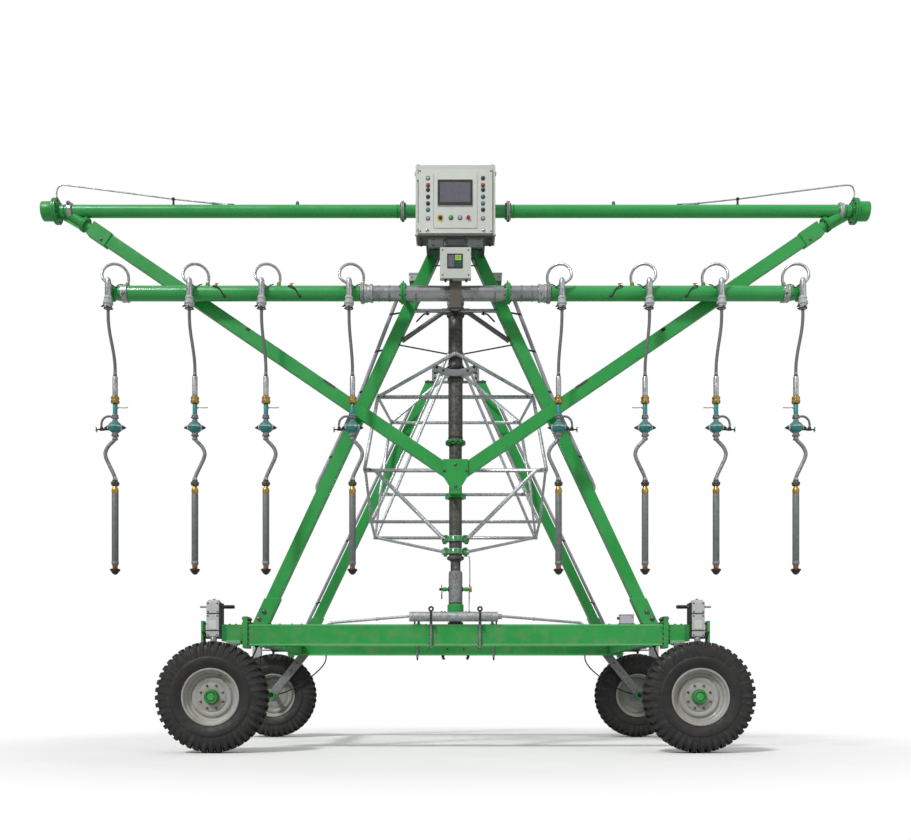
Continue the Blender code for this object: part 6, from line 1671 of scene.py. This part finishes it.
def cabinet_case_trim():
    """Folds, lugs, bolts and feet round the case."""
    trim = Shape()
    for side in SIDES:
        for z in (5.76, 6.427):
            trim.bolt((side * 0.44, -2.06, z), (side, 0, 0), 0.01)
        trim.block(span(side, 0.39, 0.428), (-2.135, -2.1), (6.4945, 6.504))
        trim.bolt((side * 0.41, -2.117, 6.503), UP, 0.0135)
    for x in (-0.02, 0.022):
        trim.bolt((x, -2.1, 6.4953), UP, 0.008)
    trim.piece("case_bolts", "dark", bevel=0.0005)
    gasket = Shape()
    frame_x, frame_z, edge = (-0.414, 0.414), (5.7295, 6.448), 0.014
    for x, z in (
        (frame_x, (frame_z[0], frame_z[0] + edge)), (frame_x, (frame_z[1] - edge, frame_z[1])),
        ((frame_x[0], frame_x[0] + edge), frame_z), ((frame_x[1] - edge, frame_x[1]), frame_z)
    ):
        gasket.block(x, (-2.1502, -2.1495), z)
    gasket.piece("case_gasket", "black")
    louvres = Shape()
    for side in SIDES:
        for count in range(7):
            z = 5.95 + count * 0.03
            louvres.block(span(side, 0.4395, 0.4445), (-2.07, -1.95), (z, z + 0.012))
    louvres.piece("case_louvres", "zinc_dull", slot="cabinet_paint", bevel=0.001)
    Shape().block((-0.436, 0.436), (-2.149, -2.12), (6.462, 6.47)).piece(
        "case_drip_edge", "panel", bevel=0.002
    )
    band = Shape().block((-0.425, 0.425), (-2.14, -1.88), (5.718, 5.7252))
    for side in SIDES:
        band.block(span(side, 0.372, 0.402), (-2.12, -1.9), (5.708, 5.72))
    band.piece("case_sill", "post", bevel=0.002)
    feet = Shape()
    for side in SIDES:
        for y in (-2.1, -1.93):
            foot = ((0.0, 0.01), (0.003, 0.013), (0.012, 0.013), (0.015, 0.009))
            feet.turned((side * 0.387, y, 5.709), -UP, foot, 20)
    feet.piece("case_feet", "black")


def bracket_trim():
    """Bolts of the bracket, the painted shade over its middle and the posts beside the meter box."""
    bolts = Shape()
    for side in SIDES:
        bolts.bolt((side * 0.115, -2.124, 5.625), OUT, 0.0095)
        bolts.bolt((side * 0.25, -2.124, 5.69), OUT, 0.0095)
        bolts.bolt((side * 0.25, -2.124, 5.625), OUT, 0.0095)
    bolts.piece("bracket_bolts", "bolt", bevel=0.0005)
    # A black sheet and a smaller dark slate sheet over the bracket's middle: painted shadow and painted
    # shade of its recess.
    Shape().block((-0.105, 0.12), (-2.1252, -2.123), (5.612, 5.705)).piece(
        "bracket_painted_recess_shadow", "black", slot="dark_steel", bevel=0.001
    )
    Shape().block((-0.085, 0.1), (-2.1265, -2.1245), (5.622, 5.688)).piece(
        "bracket_painted_recess_shade", "slate_dark", bevel=0.001
    )
    for side, word in WORDS.items():
        posts = Shape()
        posts.rod((side * 0.228, -2.09, 5.4), (side * 0.228, -2.09, 5.6), 0.008)
        posts.rod((side * 0.19, -2.1, 5.43), (side * 0.19, -2.1, 5.6), 0.004)
        posts.block(span(side, 0.165, 0.234), (-2.098, -2.084), (5.484, 5.496))
        posts.block(span(side, 0.165, 0.234), (-2.098, -2.084), (5.404, 5.416))
        posts.piece(f"meter_posts_{word}", "dark", bevel=0.001)


def meter_front():
    """The meter's window with its two displays, cover seam and screws."""
    window_x, window_z = (-0.092, 0.075), (5.352, 5.508)
    rails = Shape()
    y = (-2.1765, -2.169)
    rails.block(window_x, y, (window_z[1] - 0.012, window_z[1]))
    rails.block(window_x, y, (window_z[0], window_z[0] + 0.012))
    rails.block((window_x[0], window_x[0] + 0.012), y, window_z)
    rails.block((window_x[1] - 0.012, window_x[1]), y, window_z)
    rails.block((-0.014, -0.006), y, window_z)
    rails.piece("meter_frame", "black", bevel=0.0015)
    panes = (
        ("meter_glass", "screen", (-0.082, -0.012), (5.362, 5.498)),
        ("meter_display", "display", (-0.008, 0.065), (5.436, 5.498)),
        ("meter_keys", "teal_dark", (-0.008, 0.065), (5.362, 5.434))
    )
    for name, finish, x, z in panes:
        Shape().block(x, (-2.173, -2.169), z).piece(name, finish, slot="black_plastic", bevel=0.0005)
    bar = Shape().block((-0.008, 0.065), (-2.1745, -2.172), (5.428, 5.436))
    bar.block((0.01, 0.05), (-2.1742, -2.172), (5.47, 5.474))
    bar.block((0.01, 0.04), (-2.1742, -2.172), (5.455, 5.458))
    bar.piece("meter_bars", "dark", slot="black_plastic")
    screws = Shape()
    for x in about(0.0, 0.142):
        for z in (5.275, 5.55):
            screws.bolt((x, -2.1703, z), OUT, 0.0075, washer=False)
    screws.piece("meter_screws", "dark")
    seam = Shape()
    for z in (5.243, 5.573):
        seam.block((-0.1715, 0.1715), (-2.151, -2.147), (z, z + 0.003))
    for side in SIDES:
        seam.block(span(side, 0.1705, 0.1718), (-2.151, -2.147), (5.243, 5.576))
    seam.piece("meter_seam", "dark")
    glands = Shape()
    for x in (-0.11, -0.05, 0.12):
        gland = ((0.0, 0.015), (0.012, 0.015), (0.014, 0.012), (0.026, 0.012), (0.028, 0.009))
        glands.turned((x, -2.13, 5.24), -UP, gland, 12)
    glands.piece("meter_glands", "black", bevel=0.0008)


def build_cabinet():
    door_front()
    door_knobs()
    cabinet_case_trim()
    bracket_trim()
    meter_front()


SPREADER_Y, SPREADER_Z, SPREADER_RADIUS, SPREADER_HALF = -1.72, 1.5443, 0.0565, 0.53
CLAMP_X = 0.28
BEAM_TOP = 1.4583
BEAM_FOOT_Z = BEAM_TOP + 0.0002  # where what stands on the beam begins
BEAM_Y = 1.6
STUB_JOINT_X, STUB_NUT_X = 2.385, 2.44


def spreader():
    """The plated tube on the front beam: brackets, eye bolts, straps over the beam and stays."""
    centre, half = (0, SPREADER_Y, SPREADER_Z), SPREADER_HALF
    skin = (
        (-half, 0.047), (0.002 - half, SPREADER_RADIUS), (half - 0.045, SPREADER_RADIUS),
        (half - 0.043, 0.045)
    )
    nozzle = ((half - 0.046, 0.03), (half - 0.004, 0.03), (half - 0.002, 0.036), (half - 0.0002, 0.03))
    tube = Shape().turned(centre, X_AXIS, skin, 48).turned(centre, X_AXIS, nozzle, 24)
    tube.piece("spreader", "zinc", replaces=["spreader_tube"])
    cap = ((0.001, 0.0562), (0.018, 0.0575), (0.02, 0.0575), (0.0205, 0.05))
    end = Shape().turned((-half, SPREADER_Y, SPREADER_Z), X_AXIS, cap, 48)
    end.piece("spreader_cap", "nylon", slot="galvanised_steel")
    feet, dark = Shape(), Shape()
    for side in SIDES:
        feet.block(span(side, 0.41, 0.438), (-1.705, -1.645), (1.464, 1.51))
        feet.block(span(side, 0.4, 0.45), (-1.71, -1.64), (BEAM_FOOT_Z, 1.465))
        dark.block(span(side, 0.46, 0.478), (-1.7, -1.65), (BEAM_FOOT_Z, 1.496))
        dark.bolt((side * 0.34, -1.63, BEAM_TOP), UP, 0.009)
        dark.bolt((side * 0.16, SPREADER_Y, SPREADER_Z + SPREADER_RADIUS), UP, 0.009)
        dark.bolt((side * 0.12, SPREADER_Y, SPREADER_Z + SPREADER_RADIUS), UP, 0.008)
    feet.piece("spreader_feet", "green_dark", bevel=0.002)
    dark.piece("spreader_brackets", "dark", bevel=0.0015)
    for side, word in WORDS.items():
        x = side * CLAMP_X
        band = Shape()
        profile = ((-0.011, 0.0567), (-0.011, 0.0605), (0.011, 0.0605), (0.011, 0.0567))
        band.turned((x, SPREADER_Y, SPREADER_Z), X_AXIS, profile, 40, closed=True)
        eye = []
        for step in range(17):
            angle = step * math.tau / 16
            eye.append((x + 0.023 * math.sin(angle), SPREADER_Y, 1.6325 - 0.023 * math.cos(angle)))
        band.tube(eye, 0.0105, 12)
        band.rod((x, SPREADER_Y, 1.59), (x, SPREADER_Y, 1.614), 0.008, 14)
        band.block(about(x, 0.008), (-1.79, -1.776), (1.46, 1.59))
        band.piece(f"spreader_eye_{word}", "dark", bevel=0.001)
        strap = smooth_path(
            [
                (x, -1.772, 1.5), (x, -1.742, 1.47), (x, -1.722, 1.43), (x, -1.718, 1.3), (x, -1.722, 1.2),
                (x, -1.73, 1.176)
            ], 5
        )
        Shape().tube(strap, 0.015, 18).piece(f"spreader_rod_{word}", "zinc_dull")
        sleeve = Shape()
        for low, high in ((1.412, 1.43), (1.222, 1.238)):
            sleeve.turned((x, -1.718, low), UP, ((0.0, 0.016), (high - low, 0.016)), 6)
            sleeve.block(about(x, 0.03), (-1.7105, -1.7005), (low - 0.008, high + 0.008))
        hook = []
        for step in range(13):
            angle = math.pi * (0.9 + 1.2 * step / 12)
            hook.append((x + 0.026 * math.sin(angle), -1.732, 1.178 + 0.026 * math.cos(angle)))
        sleeve.tube(hook, 0.011, 10)
        sleeve.piece(f"spreader_shackle_{word}", "green_dark", bevel=0.001)
        Shape().turned((x, -1.735, 1.462), UP, ((0.0, 0.018), (0.016, 0.018)), 6).piece(
            f"spreader_nut_{word}", "green_pale", bevel=0.001
        )
        stay = Shape()
        start, end = Vector((side * 0.5, SPREADER_Y, 1.55)), Vector((side * 1.45, -1.66, 1.476))
        stay.tube([start, start.lerp(end, 0.06), start.lerp(end, 0.97), end], 0.0155, 16)
        stay.turned(
            start.lerp(end, 0.41), (end - start).normalized(),
            ((0.0, 0.016), (0.004, 0.021), (0.02, 0.021), (0.024, 0.016)), 20
        )
        stay.block(span(side, 1.42, 1.48), (-1.685, -1.63), (BEAM_FOOT_Z, 1.465))
        stay.piece(f"spreader_stay_{word}", "zinc", bevel=0.001)
        fork = Shape().block(span(side, 0.49, 0.515), (-1.735, -1.705), (1.536, 1.564))
        fork.bolt((side * 0.505, -1.735, 1.55), OUT, 0.009)
        fork.bolt((side * 1.465, -1.645, 1.465), UP, 0.009)
        fork.piece(f"spreader_fork_{word}", "dark", bevel=0.001)


def beam_pins():
    """Pins and nubs at the rear beam's front face."""
    pins, tips = Shape(), Shape()
    for side in SIDES:
        x = side * 0.556
        pins.turned((x, 1.487, 1.15), UP, ((0.0, 0.008), (0.02, 0.015), (0.25, 0.0165), (0.27, 0.0165)), 20)
        tips.turned((x, 1.487, 1.17), -UP, ((0.0, 0.0155), (0.015, 0.012), (0.034, 0.007)), 18)
        pins.block(about(x, 0.02), (1.4865, 1.4997), (1.27, 1.3))
        nub = smooth_path(
            [(side * 0.18, 1.55, 1.216), (side * 0.185, 1.545, 1.19), (side * 0.165, 1.54, 1.15)], 4
        )
        tips.tube(nub, [0.02] * (len(nub) - 1) + [0.013], 14)
        tips.bolt((side * 0.12, 1.4997, 1.3), OUT, 0.01)
    pins.piece("beam_pins", "zinc_dull", bevel=0.001)
    tips.piece("beam_nubs", "dark")


def build_spreader():
    spreader()
    beam_pins()


def leg_line(foot, head, z):
    """X of a leg's middle line at a height, for the right-hand leg."""
    share = (z - foot[1]) / (head[1] - foot[1])
    return foot[0] + (head[0] - foot[0]) * share


LEG_TOP = 5.77
FRONT_LEG = ((2.248, BEAM_TOP), (0.226, LEG_TOP))
REAR_LEG = ((2.16, BEAM_TOP), (0.37, 5.21))
FRONT_LEG_FACE = -1.67
FAN_Z = 4.15


def conduit(name, leg, y, low, high, offset, radius, straps, fan=0.0):
    """A grey conduit along the outer side of both legs of a frame, held by straps."""
    for side, word in WORDS.items():
        points = []
        for step in range(9):
            z = low + (high - low) * step / 8
            spread = offset + max(0.0, z - FAN_Z) * fan
            points.append((side * (leg_line(*leg, z) + spread), y, z))
        tail = Vector(points[0]) + Vector((-side * 0.045, 0.0, -0.06))
        Shape().tube(smooth_path([tail] + points, 3), radius, 18).piece(f"{name}_{word}", "grey_cable")
        clips = Shape()
        for z in straps:
            x = leg_line(*leg, z)
            reach = offset + max(0.0, z - FAN_Z) * fan
            start = (side * (x + reach + radius * 0.9), z - 0.012)
            end = (side * (x + 0.07), z + 0.012)
            clips.bar(start, end, 0.016, (y - radius - 0.003, y - radius * 0.4))
            clips.bolt((side * (x + reach), y - radius - 0.002, z), OUT, 0.006, washer=False)
        clips.piece(f"{name}_straps_{word}", "dark", bevel=0.0008)


def beam_trim():
    """Rolled lips, whose lighter green is a painted highlight, flange bolts and small bolts of the front and
    rear base beams.
    """
    lips = Shape()
    for place in SIDES:
        for face in (place * 1.7, place * 1.5):
            way = 1.0 if face > place * BEAM_Y else -1.0
            for low, high in ((1.2145, 1.2325), (1.4395, 1.4575)):
                lips.block((-2.384, 2.384), sorted((face, face + way * 0.004)), (low, high))
    lips.piece("beam_lips", "green_painted_highlight", bevel=0.001)
    bolts, nuts = Shape(), Shape()
    for place in SIDES:
        for side in SIDES:
            for edge in SIDES:
                y = place * BEAM_Y + edge * 0.1095
                for z in (1.235, 1.29, 1.35, 1.41, 1.465, 1.525):
                    bolts.bolt((side * STUB_JOINT_X, y, z), (-side, 0, 0), 0.0115, washer=False)
                    nuts.bolt((side * STUB_NUT_X, y, z), (side, 0, 0), 0.0115, washer=False)
            for y in (-0.06, 0.0, 0.06):
                bolts.bolt(
                    (side * STUB_JOINT_X, place * BEAM_Y + y, 1.51), (-side, 0, 0), 0.012, washer=False
                )
                nuts.bolt((side * STUB_NUT_X, place * BEAM_Y + y, 1.51), (side, 0, 0), 0.012, washer=False)
            for x in (2.53, 2.6):
                bolts.bolt((side * x, place * BEAM_Y - 0.05, 1.456), UP, 0.012)
            for x in (1.77, 1.88, 2.02):
                bolts.bolt((side * x, place * 1.66, 1.458), UP, 0.011)
    for side in SIDES:
        for z in (1.249, 1.324):
            nuts.bolt((side * 2.215, 1.4995, z), OUT, 0.014)
    bolts.piece("beam_bolts", "dark", bevel=0.0006)
    nuts.piece("beam_nuts", "green_dark", bevel=0.0006)
    # Thin dark green shells round the outer ends of the stubs: painted shade on the stubs' ends.
    ends = Shape()
    for place in SIDES:
        for side in SIDES:
            y = about(place * BEAM_Y, 0.0865)
            ring_x = span(side, 2.632, 2.6885)
            ends.block(ring_x, y, (1.4555, 1.458))
            ends.block(ring_x, y, (1.2655, 1.268))
            ends.block(ring_x, (y[0], y[0] + 0.002), (1.2675, 1.456))
            ends.block(ring_x, (y[1] - 0.002, y[1]), (1.2675, 1.456))
    ends.piece("stub_end_painted_shade", "green_dark", bevel=0.0006)


def leg_trim():
    """Shoe bolts, caps and ties of the legs."""
    plated, dark, green = Shape(), Shape(), Shape()
    for side in SIDES:
        for x, z in ((2.2, 1.603), (2.258, 1.523)):
            plated.bolt((side * x, FRONT_LEG_FACE - 0.014, z), OUT, 0.021)
            dark.bolt((side * (x - 0.16), 1.517, z), OUT, 0.017)
        x = leg_line(*FRONT_LEG, LEG_TOP)
        dark.block(span(side, x - 0.088, x + 0.082), (-1.672, -1.528), (LEG_TOP + 0.0005, 5.782))
        x = leg_line(*REAR_LEG, BEAM_TOP)
        for out in (-0.16, 0.16):
            green.bolt((side * (x + out), BEAM_Y, BEAM_TOP), UP, 0.015)
        x = leg_line(*FRONT_LEG, BEAM_TOP)
        green.block(span(side, x + 0.08, x + 0.135), (-1.66, -1.54), (BEAM_TOP, 1.472))
        green.bolt((side * (x + 0.112), -BEAM_Y, 1.472), UP, 0.015)
        dark.bolt((side * (x - 0.11), -BEAM_Y, BEAM_TOP), UP, 0.013)
    plated.piece("shoe_bolts", "bolt", bevel=0.001)
    green.piece("shoe_nuts", "green_dark", bevel=0.0008)
    tie = Shape().rod((-0.53, -1.6, 5.09), (0.53, -1.6, 5.09), 0.022, 24)
    for side in SIDES:
        lever = [
            (side * 0.3, -1.61, 5.05), (side * 0.36, -1.62, 5.045), (side * 0.4, -1.62, 5.01),
            (side * 0.452, -1.62, 4.955)
        ]
        dark.tube(smooth_path(lever, 4), 0.0095, 12)
        dark.block(span(side, 0.315, 0.335), (-1.62, -1.58), (5.045, 5.08))
    tie.piece("leg_tie", "pipe_steel", bevel=0.002)
    dark.piece("leg_fittings", "dark", bevel=0.001)


def column_yoke():
    """The rolled band across the column's front, with its dark ring and end bolts."""
    band = Shape()
    reach, steps = 0.24, 20
    rings = []
    for step in range(steps + 1):
        x = reach * (2 * step / steps - 1)
        share = abs(x) / reach
        low = 4.305 + 0.085 * share**1.8
        top = 4.385 + 0.06 * share**1.8
        rings.append([(x, -1.7, low), (x, -1.63, low), (x, -1.63, top), (x, -1.7, top)])
    band.loft(rings)
    band.piece("column_yoke", "pipe_steel", bevel=0.005)
    ring = ((-0.018, 0.09), (-0.014, 0.104), (0.014, 0.104), (0.018, 0.09))
    dark = Shape().turned((0.0, -1.56, 4.43), UP, ring, 40)
    for side in SIDES:
        dark.bolt((side * 0.215, -1.7, 4.41), OUT, 0.014)
        dark.bolt((side * 0.14, -1.7, 4.37), OUT, 0.011)
    dark.piece("column_yoke_fittings", "dark", bevel=0.0006)


def saddle():
    """The rolled cradle that carries the span pipe on the rear legs' heads, with its feet and tie."""
    cradle = Shape()
    rest, reach, steps = 5.3635, 0.305, 24
    rings = []
    for step in range(steps + 1):
        x = reach * (2 * step / steps - 1)
        top = rest + 0.024 + 0.075 * (abs(x) / reach) ** 1.6
        if abs(x) < SPAN_CLEAR:
            top = min(top, SPAN_Z - math.sqrt(SPAN_CLEAR**2 - x * x))
        low = rest - 0.075 + 0.1 * (abs(x) / reach) ** 1.6
        rings.append([(x, 1.5, low), (x, 1.7, low), (x, 1.7, top), (x, 1.5, top)])
    cradle.loft(rings)
    cradle.piece("saddle_cradle", "pipe_steel", bevel=0.006, replaces=["rear_saddle"])
    seat = Shape()
    for side in SIDES:
        seat.block(span(side, 0.28, 0.345), (1.52, 1.68), (5.213, 5.44))
        seat.block(span(side, 0.26, 0.45), (1.51, 1.69), (5.2105, 5.225))
    seat.block((-0.44, 0.44), (1.58, 1.62), (5.2115, 5.245))
    seat.piece("saddle_seat", "zinc_dull", bevel=0.003)
    bolts = Shape()
    for side in SIDES:
        for x, z in ((0.3, 5.26), (0.3, 5.34), (0.3, 5.41)):
            bolts.bolt((side * x, 1.52, z), OUT, 0.012)
        bolts.bolt((side * 0.22, 1.5, 5.39), OUT, 0.014)
        for y in (1.53, 1.67):
            bolts.bolt((side * 0.4, y, 5.225), UP, 0.014)
    bolts.piece("saddle_bolts", "dark", bevel=0.0005)


def knee_braces():
    """Round grey braces from the column's head to the front legs, with a thin tie under each."""
    for side, word in WORDS.items():
        brace = Shape().tube([(side * 0.12, -1.58, 5.096), (side * 0.62, -1.58, 4.747)], 0.027, 24)
        brace.block(span(side, 0.1, 0.16), (-1.6, -1.56), (5.055, 5.12))
        brace.piece(f"knee_brace_{word}", "strut_steel", bevel=0.002)
        Shape().tube([(side * 0.095, -1.57, 4.6), (side * 0.655, -1.57, 4.705)], 0.0085, 12).piece(
            f"knee_tie_{word}", "dark"
        )


def brace_trim():
    """Sleeve bolts, the cable clipped along each brace and the gusset's bolt heads."""
    dark, cable, plate = Shape(), Shape(), Shape()
    head = Vector((4.02, 0.0, 5.815))
    foot = Vector((0.14, 0.0, 3.227))
    run = (foot - head).normalized()
    lift = Vector((-run.z, 0.0, run.x))
    lift = lift if lift.z > 0 else -lift
    for side in SIDES:
        mirror = Vector((side, 1.0, 1.0))
        dark.bolt(Vector((head.x, -1.843, head.z)) * mirror, OUT, 0.015)
        points = []
        for reach in (1.96, 2.1, 2.6, 3.2):
            at = head + run * reach + lift * 0.072
            points.append(Vector((side * at.x, -1.79, at.z)))
        cable.tube(smooth_path(points, 6), 0.007, 10)
        at = head + run * 1.95 + lift * 0.074
        plate.block(
            (side * at.x - 0.028, side * at.x + 0.028), (-1.83, -1.75), (at.z - 0.02, at.z + 0.018),
            turn=side * math.atan2(-run.z, -run.x) * -1
        )
        at = head + run * 3.06 + lift * 0.074
        spot = Vector((side * at.x, -1.8, at.z))
        ends = [spot + run * mirror * reach for reach in (-0.08, 0.08)]
        plate.bar(*[(end.x, end.z) for end in ends], 0.026, (-1.835, -1.77))
        dark.bolt(spot + Vector((0, -0.035, 0)), OUT, 0.009)
    cable.piece("brace_cables", "cable")
    plate.piece("brace_clips", "column", bevel=0.002)
    for x, z in ((0.0, 3.258), (-0.125, 3.19), (0.127, 3.19), (0.0, 3.01)):
        dark.bolt((x, -1.8503, z), OUT, 0.014)
    dark.piece("brace_bolts", "bolt", bevel=0.0008)


def small_boxes():
    """Junction boxes beside the leg tops and the sensor box on the front beam."""
    for side, word in WORDS.items():
        box = Shape().block(span(side, 0.425, 0.54), (-1.52, -1.42), (5.47, 5.56))
        box.block(span(side, 0.42, 0.545), (-1.526, -1.414), (5.546, 5.566))
        box.piece(f"junction_box_{word}", "lilac", bevel=0.005)
        fit = Shape().block(span(side, 0.45, 0.535), (-1.5, -1.44), (5.4, 5.47))
        fit.turned(
            (side * 0.51, -1.47, 5.41), -UP, ((0.0, 0.026), (0.03, 0.026), (0.032, 0.018), (0.07, 0.018)),
            16
        )
        fit.block(span(side, 0.37, 0.46), (-1.53, -1.44), (5.44, 5.47))
        fit.piece(f"junction_fitting_{word}", "green_dark", bevel=0.003)
        knob = Shape().rod((side * 0.53, -1.47, 5.43), (side * 0.56, -1.47, 5.41), 0.011, 14)
        knob.bolt((side * 0.51, -1.5265, 5.515), OUT, 0.007, washer=False)
        knob.piece(f"junction_knob_{word}", "dark", bevel=0.001)
    box = Shape().block((1.895, 2.05), (-1.68, -1.58), (1.4655, 1.57))
    box.block((1.89, 2.055), (-1.685, -1.575), (1.562, 1.575))
    box.piece("sensor_box", "lilac", bevel=0.004)
    trim = Shape().block((1.885, 1.91), (-1.69, -1.57), (BEAM_TOP, 1.468))
    trim.block((2.035, 2.06), (-1.69, -1.57), (BEAM_TOP, 1.468))
    trim.turned(
        (1.89, -1.64, 1.53), (-1, 0, 0), ((0.0, 0.011), (0.006, 0.011), (0.008, 0.018), (0.026, 0.017)), 18
    )
    trim.bolt((1.9, -1.66, 1.575), UP, 0.006, washer=False)
    trim.bolt((2.03, -1.6855, 1.54), OUT, 0.007, washer=False)
    trim.piece("sensor_box_trim", "black", bevel=0.001)


def boom_lines():
    """Cables that curl over the lower boom beside four of the drops."""
    lines, valves = Shape(), Shape()
    for side in SIDES:
        for x in (-2.78, -1.94):
            sketch = (
                (0.055, -0.02, 0.06), (0.09, -0.085, 0.055), (0.15, -0.088, 0.02), (0.19, -0.075, -0.045)
            )
            start = Vector((side * x, LOWER_Y, LOWER_Z))
            points = [start + Vector((side * a, b, c)) for a, b, c in sketch]
            lines.tube(smooth_path(points, 5), 0.008, 10)
            lines.turned(
                points[-1], (side * 0.5, 0.0, -0.6), ((0.0, 0.012), (0.03, 0.014), (0.034, 0.008)), 12
            )
            base = start + Vector((side * 0.1, -0.02, LOWER_RADIUS - 0.004))
            valves.turned(base, UP, ((0.0, 0.014), (0.02, 0.014), (0.022, 0.009), (0.03, 0.009)), 14)
            valves.rod(base + Vector((-0.02, 0, 0.022)), base + Vector((0.03, 0, 0.026)), 0.0045, 10)
    lines.piece("boom_cables", "cable")
    valves.piece("boom_vents", "brass", bevel=0.0005)


def bracket():
    """The stand under the cabinet: shelf, front blocks, thin arms to the legs and the square post."""
    shape = Shape().block((-0.33, 0.33), (-2.12, -1.9), (5.69, 5.725))
    shape.block((-0.305, -0.135), (-2.124, -2.09), (5.596, 5.705))
    shape.block((0.135, 0.308), (-2.124, -2.09), (5.596, 5.7))
    shape.block((-0.14, 0.14), (-2.112, -2.09), (5.6, 5.7))
    for side in SIDES:
        shape.block(span(side, 0.305, 0.329), (-1.95, -1.6705), (5.668, 5.722))
        shape.block(span(side, 0.252, 0.3), (-1.828, -1.732), (5.68, 6.0858))
    shape.piece("bracket", "slate", bevel=0.006, replaces=["cabinet_bracket"])
    post = Shape().block((-0.065, 0.065), (-2.09, -2.0345), (4.946, 5.7))
    post.block((-0.075, 0.075), (-2.085, -2.0345), (5.02, 5.045))
    post.block((-0.07, 0.07), (-2.093, -2.0345), (5.2, 5.24))
    post.piece("bracket_post", "post", bevel=0.004)


def build_fittings():
    conduit("leg_conduit", FRONT_LEG, -1.6, 3.06, 5.3, 0.104, 0.022, (3.4, 4.15, 4.62, 5.05), 0.085)
    conduit("rear_conduit", REAR_LEG, 1.6, 1.62, 4.9, 0.118, 0.022, (1.98, 2.9, 3.9))
    beam_trim()
    leg_trim()
    knee_braces()
    column_yoke()
    saddle()
    brace_trim()
    small_boxes()
    boom_lines()
    bracket()


set_camera()
set_world()
set_lights()
make_floor()
finish_kept_nodes()
build_wheels()
build_drives()
build_booms()
build_drops()
build_column()
build_cabinet()
build_spreader()
build_fittings()
for drop in DROPS:
    hose(drop)
